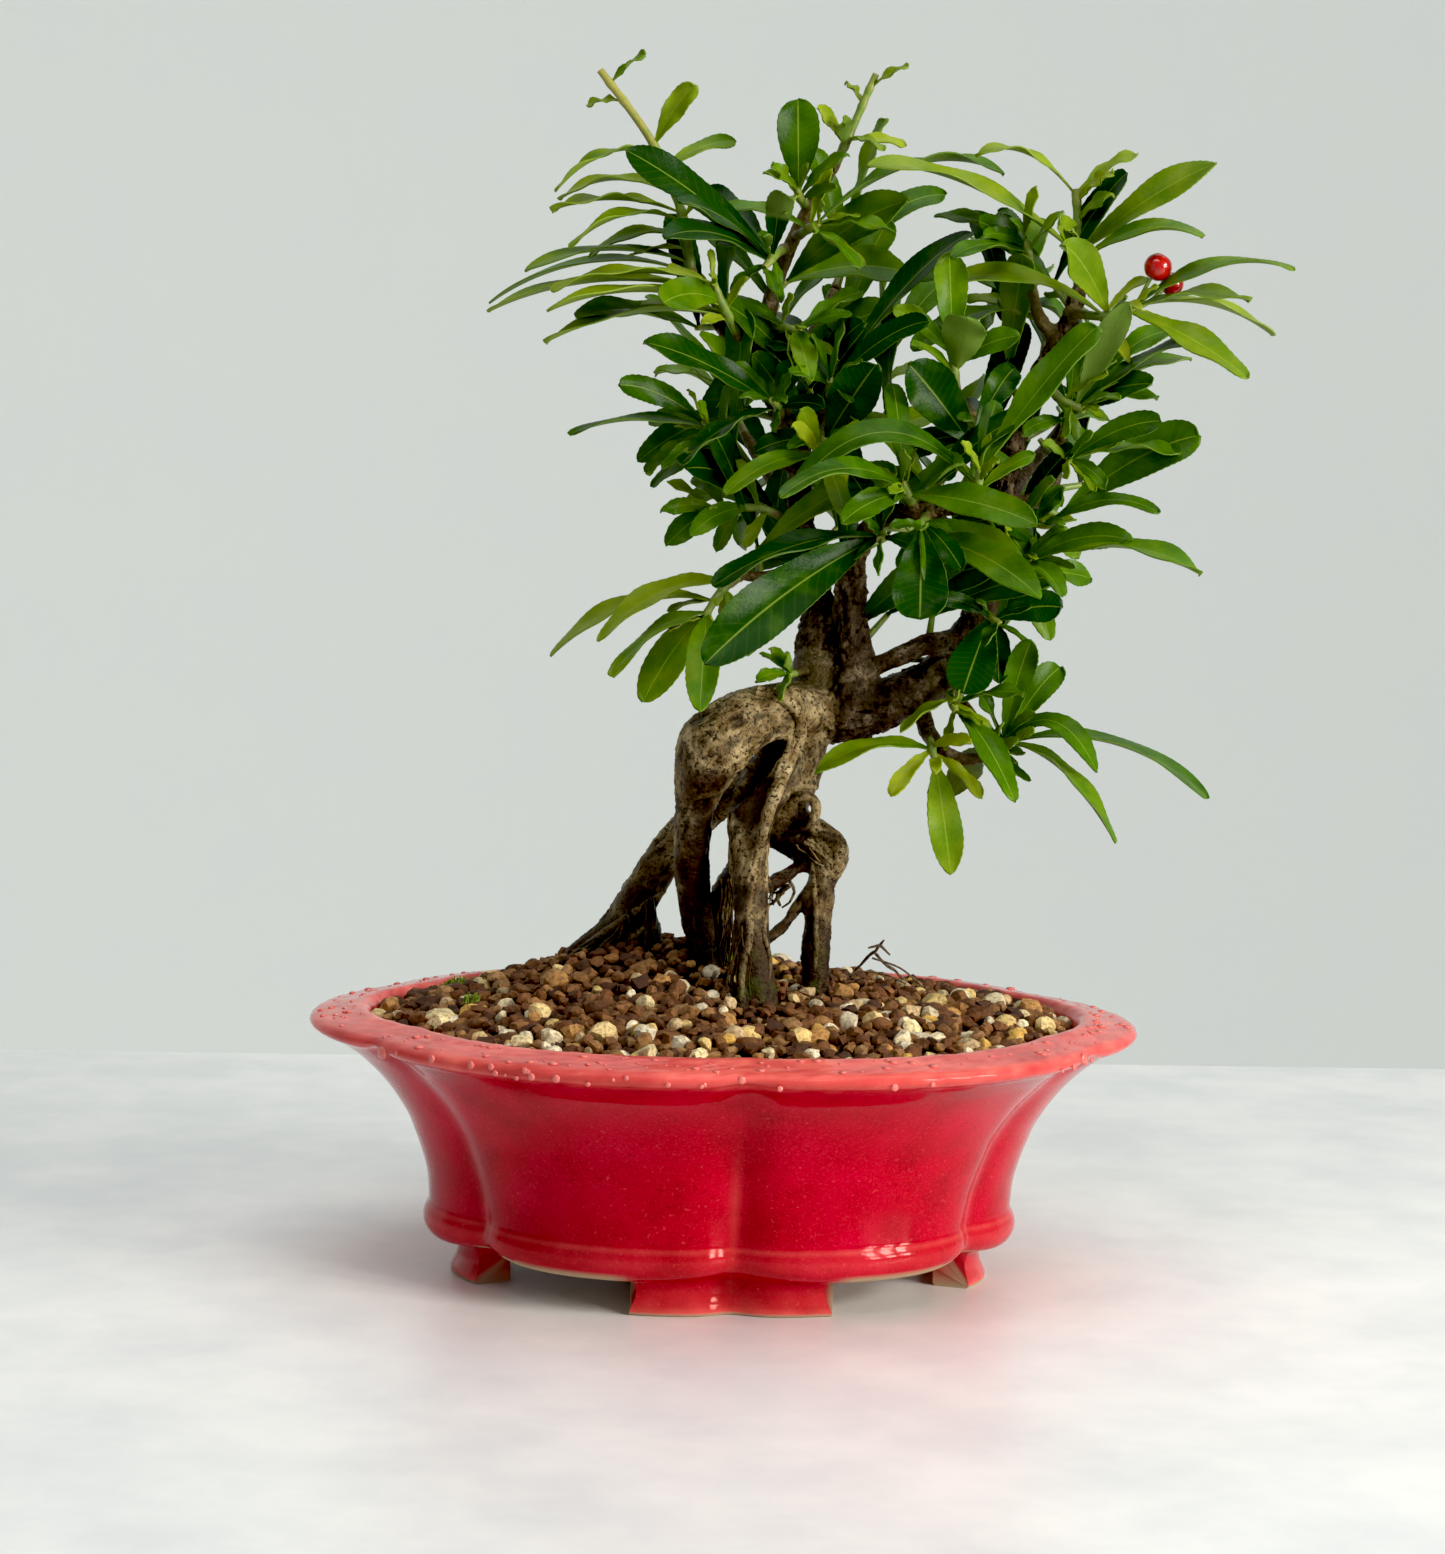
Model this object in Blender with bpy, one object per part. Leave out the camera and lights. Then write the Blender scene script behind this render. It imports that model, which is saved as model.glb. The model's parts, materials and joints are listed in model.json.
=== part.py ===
"""Firethorn bonsai on exposed roots, growing in an oval six-lobed glazed pot.

Metres, +Z up. The origin is the middle of the whole outline on the surface that the pot stands on.
The pot's long side runs along X and the tree's front looks along -Y. Everything is built round the
pot's middle and then moved into that frame.

Places on the tree are read off its front view as (across, down, front): across and down in a view
1445 wide and 1554 high, and front in millimetres towards the viewer from the middle of the pot.
The pot, the stems, the leaf blades and every gap are given as real sizes.
"""

import math
import random
from typing import NamedTuple

import bmesh
import bpy
from mathutils import Matrix, Vector
from mathutils.bvhtree import BVHTree

MM = 0.001

# Where the pot's middle stands from the middle of the whole outline
POT_MIDDLE = Vector((-13.6, -4.6, 0.0)) * MM

# The front view: how far off and how high the eye is, and how the view is framed
VIEW_DISTANCE = 700.0 * MM
VIEW_FOCUS = 3233.0
VIEW_MIDDLE = (722.5, 777.0)
VIEW_AIM = Vector((-1.9, 0.0, 108.7)) * MM
VIEW_RISE = math.radians(5.3)
VIEW_TURN = math.radians(-3.8)
VIEW_ROLL = math.radians(1.45)

# Pot
RIM_HALF_LENGTH = 90.0 * MM
RIM_HALF_WIDTH = 73.8 * MM
FLOOR_HEIGHT = 13.2 * MM
POT_SIDES = 36
LOBES = 6
FOOT_HALF_ANGLE = math.radians(21.0)
FOOT_STATIONS = 6
DRAIN_RADIUS = 5.5 * MM
DRAIN_PLACES = ((-26.0 * MM, 0.0), (26.0 * MM, 0.0))

# Soil and what lies under it
GAP = 0.3 * MM
SOIL_EDGE_HEIGHT = 55.4 * MM
SOIL_DOME = 8.2 * MM
MOUND_HEIGHT = 9.4 * MM
MOUND_MIDDLE = (-17.0 * MM, 8.0 * MM)
MOUND_SPREAD = (20.0 * MM, 17.0 * MM)
SOIL_RINGS = 6
GRAIN_RELIEF = 0.9 * MM
NET_SIDE = 19.0 * MM
NET_THICKNESS = 0.8 * MM
NET_CELLS = 2

# Leaves and shoots
BLADE_THICKNESS = 0.7 * MM
BLADE_CLEARANCE = 0.4 * MM
BLADE_WIDTH_SHARE = 0.235
BLADE_WIDTH_LIMITS = (3.2 * MM, 10.5 * MM)
BLADE_FOLD = 0.2
BLADE_ARCH = 0.09
FOLDED_FROM = 48.0 * MM
SMALL_BELOW = 20.0 * MM
FOLDED_SHARES = (0.0, 0.38, 0.8, 1.0)
FLAT_SHARES = (0.0, 0.42, 0.84, 1.0)
SMALL_SHARES = (0.0, 0.6, 1.0)
PETIOLE_WIDTH = 1.1 * MM
SPUR_SINK = 1.6 * MM
SWING_STEPS = (0.0, 3.0, -3.0, 6.0, -6.0, 9.0, -9.0, 13.0, -13.0, 17.0, -17.0, 22.0, -22.0, 28.0, -28.0)
SIDE_STEPS = (0.0, 3.0, -3.0, 6.0, -6.0)
REACHES = (1.0, 0.82, 0.66)
SEED = 20

# A join that only grazes is made again with its parts shifted by a hair
HAIR = 0.04 * MM
SPECK = 0.0006 * MM
LEVELLINGS = tuple((math.radians(angle), merge * MM) for angle, merge in (
    (1.5, 0.06), (1.5, 0.02), (1.5, 0.0006), (0.6, 0.04), (0.6, 0.0006), (0.2, 0.0006), (0.0, 0.0006)))
FUSE_ATTEMPTS = 30
JOINED_SHARE = 0.72


class Leaf(NamedTuple):
    """One leaf: where its blade starts and ends, and how wide it looks from the front, in view units."""

    base: tuple
    tip: tuple
    front: float
    seen: float
    arch: float = BLADE_ARCH


class Spray(NamedTuple):
    """A leafy shoot: the wood it springs from, the run of its green stem and its leaves."""

    name: str
    wood: tuple
    stem: tuple
    diameter: float
    leaves: tuple


# Runs of wood: (across, down, front, diameter in mm) from where each leaves its parent
ARCH_ROOT = (
    (822, 716, 1, 9.0), (800, 708, 6, 11.5), (772, 713, 10, 12.5), (740, 725, 12, 14.5), (715, 748, 13, 16.0),
    (702, 776, 12, 12.0), (694, 810, 9, 8.2), (692, 860, 6, 7.6), (695, 905, 3, 7.2), (702, 945, 1, 6.6),
    (708, 1005, 0, 5.6),
)
FRONT_ROOT = (
    (792, 742, 3, 9.0), (772, 778, 8, 11.0), (752, 812, 12, 10.6), (749, 850, 13, 8.4), (751, 900, 14, 7.4),
    (752, 950, 15, 8.0), (758, 1000, 16, 8.6), (761, 1065, 17, 6.6),
)
SHOULDER_ROOT = (
    (803, 708, 0, 10.0), (805, 742, 1, 10.0), (797, 780, 1, 9.6), (783, 812, 0, 9.0), (780, 838, -1, 7.0),
)
RIGHT_ROOT = (
    (776, 832, 0, 7.0), (798, 846, 1, 7.0), (816, 854, 2, 6.4), (822, 875, 3, 5.6), (819, 910, 3, 6.0),
    (816, 950, 3, 6.2), (815, 990, 3, 6.0), (815, 1055, 3, 5.0),
)
KNOT_ROOT = (
    (786, 806, 2, 5.0), (812, 826, 3, 4.4), (834, 840, 3, 4.2), (840, 854, 3, 4.0), (828, 878, 3, 4.6),
)
LEFT_ROOT = (
    (778, 762, 5, 8.0), (742, 786, -2, 8.0), (702, 815, -6, 8.0), (668, 852, -8, 8.4), (641, 895, -9, 8.8),
    (622, 930, -10, 9.0), (606, 985, -10, 6.0),
)
LEFT_TOE = ((636, 905, -9, 6.4), (650, 935, -7, 5.4), (657, 995, -6, 4.4))
FAR_LEFT_TOE = ((628, 908, -10, 6.0), (603, 934, -10, 5.2), (574, 955, -10, 4.2), (556, 990, -10, 3.2))
BACK_ROOT = (
    (752, 846, 11, 4.0), (738, 866, 2, 4.4), (726, 884, -4, 4.6), (719, 905, -6, 5.0), (716, 945, -6, 5.2),
    (714, 1000, -6, 4.4),
)
FRONT_ROOTLET = (
    (798, 720, 8, 2.6), (786, 752, 12, 2.6), (771, 795, 17, 2.6), (757, 842, 17, 2.6), (748, 900, 17, 2.6),
    (744, 958, 18, 2.8), (741, 1012, 19, 3.0), (740, 1050, 19, 2.6),
)
RING_ROOT = (
    (786, 806, 4, 2.4), (798, 796, 6, 2.2), (813, 799, 6, 2.2), (816, 813, 6, 2.2), (806, 826, 5, 2.2),
    (786, 836, 3, 2.4),
)
UPPER_RUNNER = ((753, 893, 13, 3.4), (780, 879, 5, 3.4), (800, 866, 3, 3.2), (818, 862, 3, 3.4))
LOWER_RUNNER = ((753, 951, 14, 2.8), (783, 926, 5, 2.6), (800, 902, 3, 2.6), (818, 880, 3, 3.2))
TRUNK_LEFT = (
    (806, 730, 0, 11.0), (816, 700, 0, 13.0), (818, 665, -1, 11.5), (818, 630, -2, 8.6), (818, 595, -4, 6.4),
    (811, 558, -5, 6.0), (803, 528, -6, 5.8), (800, 488, -6, 5.6), (798, 446, -6, 5.4), (784, 420, -5, 5.2),
    (772, 396, -4, 5.0), (757, 370, -4, 4.8), (742, 345, -3, 4.6), (724, 326, -3, 4.2), (708, 312, -2, 3.6),
)
TRUNK_RIGHT = (
    (838, 722, 0, 12.0), (850, 690, 1, 13.0), (852, 655, 2, 10.0), (850, 618, 3, 7.2), (851, 582, 5, 6.4),
    (857, 552, 9, 5.0), (872, 527, 14, 4.4), (892, 514, 18, 4.2), (918, 511, 21, 4.2), (955, 507, 23, 3.8),
    (996, 499, 25, 3.4),
)
RIGHT_LIMB = (
    (828, 716, 0, 12.0), (862, 712, 0, 12.0), (900, 697, 0, 10.6), (936, 677, -1, 9.8), (963, 645, -2, 8.6),
    (982, 603, -3, 7.6), (989, 562, -4, 7.0), (996, 520, -5, 6.6), (1005, 480, -5, 6.2), (1012, 445, -5, 6.0),
    (1023, 410, -5, 5.6), (1040, 375, -5, 5.0), (1058, 342, -4, 4.6), (1073, 312, -4, 4.2),
    (1078, 290, -4, 3.8),
)
BRACE_LIMB = ((862, 672, 4, 4.4), (895, 658, 5, 4.2), (928, 644, 3, 4.6), (958, 640, -1, 5.0))
SIDE_LIMB = (
    (1002, 508, -5, 4.6), (1030, 502, -4, 4.0), (1050, 490, -4, 3.6), (1057, 462, -4, 3.2),
    (1062, 440, -4, 2.8),
)
MIDDLE_STEM = (
    (757, 370, -4, 4.4), (764, 335, -7, 4.0), (772, 296, -8, 3.8), (789, 248, -8, 3.4), (811, 206, -8, 3.2),
    (831, 170, -8, 2.8),
)
CENTRE_STEM = ((799, 450, -6, 4.6), (815, 428, -1, 3.8), (827, 404, 4, 3.2))
CROWN_STEM = ((1023, 410, -5, 4.6), (1000, 424, 2, 3.8), (975, 420, 7, 3.2), (958, 398, 9, 2.8))
TOP_STEM = ((1058, 342, -4, 3.8), (1040, 318, -3, 3.0), (1032, 290, -2, 2.6), (1030, 268, -2, 2.4))
LEFT_TWIG = ((800, 470, -6, 3.6), (774, 462, -1, 2.8), (750, 466, 2, 2.6), (736, 462, 3, 2.4))
LOW_LEFT_TWIG = ((812, 560, -5, 3.8), (786, 572, -1, 3.0), (760, 577, 3, 2.6), (742, 575, 5, 2.4))
HANGING_TWIG = (
    (902, 696, 1, 5.0), (921, 712, 5, 4.2), (929, 734, 8, 3.8), (944, 752, 9, 3.4), (962, 759, 9, 3.0),
    (980, 758, 9, 2.6),
)
LOW_RIGHT_TWIG = ((938, 676, -1, 4.6), (958, 700, -2, 3.4), (974, 718, 1, 2.8), (990, 734, 4, 2.6))
BACK_LEFT_STEM = ((810, 556, -6, 4.6), (797, 520, -18, 3.8), (772, 480, -29, 3.2), (748, 440, -37, 2.8))
BACK_MIDDLE_STEM = ((984, 600, -4, 4.8), (960, 552, -17, 4.0), (928, 500, -29, 3.4), (905, 445, -38, 3.0),
                    (890, 400, -42, 2.6))
BACK_RIGHT_STEM = ((996, 520, -6, 4.4), (1020, 480, -17, 3.6), (1048, 445, -27, 3.0), (1070, 415, -33, 2.6))
BACK_TOP_STEM = ((772, 396, -5, 4.0), (790, 365, -15, 3.4), (815, 330, -24, 3.0), (835, 290, -30, 2.6))

THICK_RUNS = (
    ARCH_ROOT, FRONT_ROOT, SHOULDER_ROOT, RIGHT_ROOT, LEFT_ROOT, TRUNK_LEFT, TRUNK_RIGHT, RIGHT_LIMB,
)
THIN_RUNS = (
    KNOT_ROOT, LEFT_TOE, FAR_LEFT_TOE, BACK_ROOT, FRONT_ROOTLET, RING_ROOT, UPPER_RUNNER, LOWER_RUNNER,
    BRACE_LIMB, SIDE_LIMB, MIDDLE_STEM, CENTRE_STEM, CROWN_STEM, TOP_STEM, LEFT_TWIG, LOW_LEFT_TWIG,
    HANGING_TWIG, LOW_RIGHT_TWIG, BACK_LEFT_STEM, BACK_MIDDLE_STEM, BACK_RIGHT_STEM, BACK_TOP_STEM,
)
ROOTS_IN_SOIL = (
    ARCH_ROOT, FRONT_ROOT, RIGHT_ROOT, LEFT_ROOT, LEFT_TOE, FAR_LEFT_TOE, BACK_ROOT, FRONT_ROOTLET,
)

SPRAYS = (
    Spray("left_leader", (708, 312, -2),
          ((704, 306, -2), (692, 275, -1), (681, 210, 0), (652, 142, 2), (600, 70, 4)), 2.5, (
        Leaf((612, 84), (645, 54), 8, 8), Leaf((618, 106), (587, 105), 0, 7),
        Leaf((656, 146), (696, 85), 8, 25),
        Leaf((646, 160), (555, 191), 12, 9, 0.16), Leaf((668, 168), (736, 142), -8, 18),
        Leaf((678, 194), (559, 199), -10, 12, 0.14), Leaf((681, 212), (551, 210), 8, 9),
        Leaf((684, 222), (570, 247), 18, 13, 0.14), Leaf((686, 238), (589, 257), -8, 14, 0.14),
        Leaf((690, 262), (525, 270), 3, 14, 0.1), Leaf((694, 272), (489, 303), -14, 13, 0.12),
    )),
    Spray("left_upper", (742, 345, -3), ((736, 332, 2), (726, 312, 7), (713, 282, 10)), 2.2, (
        Leaf((714, 276), (552, 291), 16, 12), Leaf((716, 290), (488, 311), 5, 11),
        Leaf((722, 306), (547, 311), 26, 13),
        Leaf((728, 318), (615, 314), -2, 13), Leaf((722, 300), (663, 303), 24, 38),
        Leaf((730, 322), (545, 342), 14, 11),
    )),
    Spray("left_fork", (784, 420, -5), ((780, 414, 1), (778, 408, 6), (772, 400, 11)), 2.2, (
        Leaf((775, 404), (644, 342), 24, 30, 0.05), Leaf((779, 408), (824, 407), 14, 20),
        Leaf((778, 410), (681, 464), 18, 17), Leaf((776, 402), (794, 361), 8, 25),
    )),
    Spray("left_low", (738, 462, 3), ((732, 455, 4), (720, 440, 6), (702, 420, 8)), 2.0, (
        Leaf((706, 424), (619, 385), 18, 27), Leaf((706, 430), (569, 434), 10, 11),
        Leaf((716, 434), (650, 421), -7, 18),
        Leaf((712, 438), (646, 473), 1, 17), Leaf((720, 444), (662, 468), 15, 17),
        Leaf((722, 448), (651, 487), -8, 18),
    )),
    Spray("left_waist", (803, 528, -6), ((784, 520, -1), (760, 508, 3), (712, 510, 5)), 2.0, (
        Leaf((716, 510), (662, 512), 12, 17), Leaf((714, 512), (667, 546), 7, 26),
        Leaf((748, 508), (690, 536), 16, 24),
        Leaf((740, 508), (716, 552), -4, 18), Leaf((724, 508), (692, 478), -6, 16),
    )),
    Spray("front_arc", (799, 452, -4), ((806, 455, 3), (818, 456, 10), (838, 452, 18)), 2.2, (
        Leaf((812, 458), (726, 494), 28, 24), Leaf((832, 452), (846, 520), 26, 24),
        Leaf((828, 450), (800, 410), 17, 22),
    )),
    Spray("front_broad", (872, 527, 14), ((878, 531, 18), (882, 536, 22), (880, 540, 27)), 2.4, (
        Leaf((880, 540), (705, 664), 42, 58, 0.05), Leaf((879, 536), (714, 586), 31, 22),
        Leaf((881, 533), (850, 474), 30, 26),
    )),
    Spray("left_skirt", (744, 575, 5), ((738, 578, 6), (722, 590, 8), (704, 618, 9)), 2.2, (
        Leaf((732, 580), (598, 641), 18, 22, 0.14), Leaf((712, 600), (550, 656), 0, 16, 0.14),
        Leaf((706, 612), (611, 676), 22, 16, 0.12), Leaf((704, 614), (643, 702), 11, 40),
        Leaf((707, 614), (700, 711), 26, 36),
        Leaf((724, 588), (748, 655), 2, 26),
    )),
    Spray("trunk_bud", (818, 668, 0), ((796, 673, 7), (788, 675, 9)), 1.8, (
        Leaf((790, 675), (757, 681), 13, 14), Leaf((790, 674), (770, 650), 14, 15),
    )),
    Spray("middle_leader", (831, 170, -8), ((836, 163, -8), (848, 138, -7), (876, 74, -5)), 2.3, (
        Leaf((870, 90), (908, 66), -2, 8), Leaf((862, 106), (846, 84), -9, 8),
        Leaf((846, 146), (843, 120), 3, 18),
        Leaf((850, 138), (884, 150), -1, 9),
    )),
    Spray("middle_crown", (811, 206, -8), ((804, 203, -3), (800, 198, 1), (797, 188, 3)), 2.2, (
        Leaf((797, 190), (798, 99), 4, 44, 0.03), Leaf((800, 198), (848, 156), 13, 14),
        Leaf((799, 197), (772, 166), 10, 14),
    )),
    Spray("middle_left", (789, 248, -8), ((782, 250, -2), (774, 256, 3), (764, 268, 6)), 2.2, (
        Leaf((768, 262), (626, 151), 14, 40, 0.04), Leaf((770, 258), (782, 192), 17, 28),
        Leaf((768, 264), (678, 202), 24, 22),
        Leaf((766, 266), (665, 237), 32, 30), Leaf((772, 258), (700, 190), -14, 24),
    )),
    Spray("middle_right", (795, 236, -8), ((802, 233, -3), (810, 228, 0), (819, 223, 2)), 2.2, (
        Leaf((818, 223), (1004, 173), -8, 13, 0.16), Leaf((812, 228), (894, 232), 6, 12),
        Leaf((808, 229), (859, 268), 9, 12),
        Leaf((806, 230), (722, 226), -20, 16),
    )),
    Spray("middle_low", (766, 328, -7), ((774, 326, -2), (786, 328, 2), (803, 332, 4)), 2.0, (
        Leaf((802, 331), (862, 292), 0, 15), Leaf((803, 333), (851, 316), 10, 14),
        Leaf((784, 328), (709, 305), -14, 18),
        Leaf((796, 330), (810, 384), 14, 24),
    )),
    Spray("centre", (827, 404, 4), ((830, 396, 6), (831, 388, 8), (830, 380, 10)), 2.4, (
        Leaf((829, 386), (730, 303), 20, 26, 0.16), Leaf((828, 386), (761, 298), -2, 22),
        Leaf((832, 388), (972, 232), 2, 26),
        Leaf((832, 386), (929, 322), 24, 28), Leaf((831, 382), (838, 322), -8, 26),
    )),
    Spray("centre_dark", (815, 428, -1), ((820, 434, 5), (824, 440, 8), (828, 446, 10)), 2.4, (
        Leaf((828, 444), (876, 366), 14, 50, 0.03), Leaf((826, 442), (770, 476), 12, 26),
        Leaf((824, 440), (808, 494), 4, 24),
    )),
    Spray("stub_front", (978, 503, 24), ((978, 497, 27), (978, 488, 29), (980, 470, 30)), 2.2, (
        Leaf((978, 490), (796, 488), 34, 30, 0.3), Leaf((980, 474), (1098, 327), 33, 34, 0.05),
        Leaf((979, 480), (996, 402), 22, 22),
    )),
    Spray("stub_middle", (916, 511, 21), ((912, 503, 24), (908, 494, 26), (902, 482, 27)), 2.2, (
        Leaf((904, 488), (780, 504), 40, 24, 0.12), Leaf((904, 484), (892, 384), 18, 26),
        Leaf((908, 496), (842, 523), 37, 28),
        Leaf((910, 494), (1050, 509), 12, 36, 0.05),
    )),
    Spray("stub_hanging", (930, 510, 22), ((926, 517, 26), (923, 523, 29), (921, 530, 30)), 2.2, (
        Leaf((921, 528), (920, 619), 36, 56, 0.02), Leaf((923, 524), (962, 570), 30, 22),
    )),
    Spray("heart", (975, 420, 7), ((974, 428, 11), (973, 438, 14), (972, 452, 15)), 2.4, (
        Leaf((972, 448), (908, 366), 20, 52, 0.03), Leaf((973, 440), (1012, 372), 4, 30),
        Leaf((973, 436), (900, 455), 10, 28),
    )),
    Spray("crown", (958, 398, 9), ((956, 390, 10), (954, 372, 12), (952, 345, 13)), 2.4, (
        Leaf((952, 350), (949, 252), 12, 36, 0.03), Leaf((955, 374), (967, 318), 26, 46, 0.02),
        Leaf((953, 356), (893, 312), 8, 24),
        Leaf((954, 366), (1020, 336), 18, 24),
    )),
    Spray("top_inner", (1030, 268, -2), ((1029, 260, -2), (1028, 252, -1), (1024, 240, 0)), 2.0, (
        Leaf((1027, 248), (934, 216), -8, 16), Leaf((1027, 244), (982, 236), 8, 16),
        Leaf((1026, 246), (999, 212), -14, 18),
        Leaf((1028, 252), (950, 262), 12, 18),
    )),
    Spray("right_leader", (1078, 290, -4), ((1079, 284, -4), (1079, 245, -3), (1076, 189, -2)), 2.6, (
        Leaf((1077, 196), (976, 156), 3, 9, 0.2), Leaf((1077, 194), (1137, 154), -3, 12),
        Leaf((1077, 202), (1113, 173), 7, 11),
        Leaf((1078, 222), (1112, 196), 8, 13), Leaf((1079, 252), (1216, 163), 5, 32, 0.05),
        Leaf((1079, 262), (1203, 237), 16, 20, 0.14),
        Leaf((1079, 256), (868, 165), 10, 22, 0.1), Leaf((1079, 268), (1059, 226), 14, 30),
    )),
    Spray("right_tip", (1073, 312, -4), ((1082, 314, 0), (1104, 316, 3), (1134, 308, 5)), 2.2, (
        Leaf((1132, 308), (1292, 272), 12, 15, 0.14), Leaf((1134, 310), (1246, 304), 1, 13),
        Leaf((1122, 312), (1273, 335), -9, 12, 0.12),
        Leaf((1128, 312), (1248, 378), 16, 30, 0.05), Leaf((1104, 314), (939, 285), 10, 24, 0.14),
        Leaf((1108, 314), (1064, 246), 19, 40),
    )),
    Spray("right_shoulder", (1040, 375, -5), ((1049, 386, -2), (1062, 400, 2), (1084, 410, 5)), 2.2, (
        Leaf((1083, 409), (1205, 335), 12, 15), Leaf((1084, 411), (1191, 360), -2, 13),
        Leaf((1080, 408), (1130, 302), 17, 30, 0.04),
        Leaf((1084, 410), (1120, 398), 16, 9), Leaf((1084, 411), (1158, 397), 6, 10),
        Leaf((1072, 405), (1078, 340), -10, 22),
    )),
    Spray("side_right", (1058, 458, -4), ((1063, 459, -1), (1070, 460, 2)), 2.0, (
        Leaf((1068, 459), (1161, 421), 9, 27), Leaf((1069, 461), (1180, 454), 0, 11),
        Leaf((1068, 461), (1106, 488), 10, 17),
    )),
    Spray("side_tip", (1062, 440, -4), ((1063, 433, -4), (1066, 422, -5), (1070, 408, -7)), 1.9, (
        Leaf((1068, 412), (1110, 372), -12, 20), Leaf((1068, 414), (1036, 366), -14, 22),
        Leaf((1066, 420), (1022, 434), 2, 16),
    )),
    Spray("right_upper_arm", (1000, 505, -5), ((1012, 514, 0), (1028, 522, 3), (1050, 526, 5)), 2.1, (
        Leaf((1048, 526), (1159, 513), 12, 18, 0.16), Leaf((1036, 523), (1064, 488), 10, 18),
        Leaf((1046, 526), (1078, 558), -6, 22),
    )),
    Spray("right_arm", (989, 562, -4), ((1000, 568, 2), (1014, 568, 6), (1034, 560, 9)), 2.2, (
        Leaf((1030, 562), (1131, 541), 18, 28, 0.12), Leaf((1034, 560), (1201, 574), 28, 20, 0.12),
        Leaf((1018, 567), (996, 574), 27, 24),
        Leaf((1022, 566), (1062, 596), 33, 26), Leaf((1016, 568), (1050, 640), 4, 26),
    )),
    Spray("right_low_arm", (982, 603, -3), ((984, 610, 4), (990, 617, 8), (1000, 624, 10)), 2.1, (
        Leaf((990, 618), (963, 693), 22, 48, 0.02), Leaf((997, 623), (999, 683), 13, 28),
        Leaf((998, 623), (1062, 608), 10, 34),
        Leaf((992, 618), (934, 600), 16, 18),
    )),
    Spray("low_right", (990, 734, 4), ((993, 737, 5), (1000, 741, 7), (1012, 744, 9)), 2.1, (
        Leaf((1004, 742), (1030, 641), 13, 30), Leaf((1008, 743), (1061, 667), 3, 30),
        Leaf((1010, 744), (1097, 772), 20, 22, 0.34),
        Leaf((1012, 744), (1208, 798), 8, 14, 0.14), Leaf((1010, 745), (1116, 843), 26, 15, 0.14),
        Leaf((1002, 741), (970, 690), -4, 12),
    )),
    Spray("limb_under", (945, 672, -1), ((950, 692, 7), (952, 702, 10), (956, 712, 12)), 2.1, (
        Leaf((955, 710), (1015, 802), 24, 28, 0.1), Leaf((954, 706), (1024, 694), 16, 10),
    )),
    Spray("hanging_left", (929, 734, 8), ((930, 741, 11), (932, 749, 13), (936, 762, 14)), 2.0, (
        Leaf((932, 750), (815, 773), 15, 17, 0.14), Leaf((936, 760), (951, 874), 22, 35, 0.03),
    )),
    Spray("hanging_right", (980, 758, 9), ((983, 758, 9), (988, 757, 9), (994, 758, 10)), 1.9, (
        Leaf((990, 758), (958, 796), 4, 32), Leaf((993, 758), (1022, 776), 4, 12),
    )),
)

# Shoots on the far side of the tree, whose leaves stand round them at the angle of growth
BACK_SPRAYS = (
    ("back_left", (748, 440, -37), ((745, 434, -38), (738, 420, -41), (728, 396, -44)), 6),
    ("back_left_low", (797, 520, -18), ((790, 518, -25), (780, 512, -31), (766, 504, -38)), 5),
    ("back_middle", (890, 400, -42), ((888, 394, -43), (884, 378, -45), (880, 350, -48)), 6),
    ("back_middle_low", (928, 500, -29), ((930, 498, -36), (934, 494, -41), (940, 486, -48)), 5),
    ("back_right", (1070, 415, -33), ((1073, 411, -34), (1082, 400, -37), (1096, 384, -40)), 6),
    ("back_right_low", (984, 600, -4), ((992, 596, -13), (1000, 588, -20), (1010, 574, -28)), 5),
    ("back_top", (835, 290, -30), ((837, 284, -31), (842, 268, -33), (848, 240, -36)), 6),
    ("back_crown", (1040, 318, -3), ((1034, 314, -11), (1026, 308, -18), (1012, 296, -26)), 5),
)
GROWTH_ANGLE = math.radians(137.5)
BACK_LEAF_LENGTHS = (25.0 * MM, 38.0 * MM)

BERRIES = (("berry_front", (1158, 267, 6), 3.0), ("berry_back", (1172, 284, 2), 2.5))
BERRY_STALK_SPRAY = "right_tip"

DRY_TWIG = (
    ((846, 984, -24, 1.2), (854, 972, -22, 1.2), (864, 961, -20, 1.2), (874, 952, -18, 1.4), (880, 945, -17, 1.0)),
    ((874, 953, -18, 1.2), (886, 964, -20, 1.2), (900, 976, -22, 1.2), (914, 990, -24, 1.2)),
)

COLOURS = {
    "bark": ((0.10, 0.07, 0.05), 0.8),
    "glaze": ((0.52, 0.02, 0.05), 0.15),
    "soil": ((0.16, 0.08, 0.04), 0.95),
    "leaf": ((0.05, 0.16, 0.02), 0.35),
    "berry": ((0.6, 0.01, 0.01), 0.3),
    "net": ((0.03, 0.03, 0.03), 0.6),
    "dry_wood": ((0.22, 0.17, 0.12), 0.9),
}


def clear_scene():
    """Empty the scene, so that the parts stand alone."""
    for item in list(bpy.data.objects):
        bpy.data.objects.remove(item, do_unlink=True)


def new_collection(name):
    """A collection of its own, linked to the scene."""
    made = bpy.data.collections.new(name)
    bpy.context.scene.collection.children.link(made)
    return made


def new_material(name):
    """A Principled material in the named colour."""
    colour, roughness = COLOURS[name]
    material = bpy.data.materials.new(name)
    material.use_nodes = True
    shader = material.node_tree.nodes["Principled BSDF"]
    shader.inputs["Base Color"].default_value = (*colour, 1.0)
    shader.inputs["Roughness"].default_value = roughness
    return material


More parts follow.
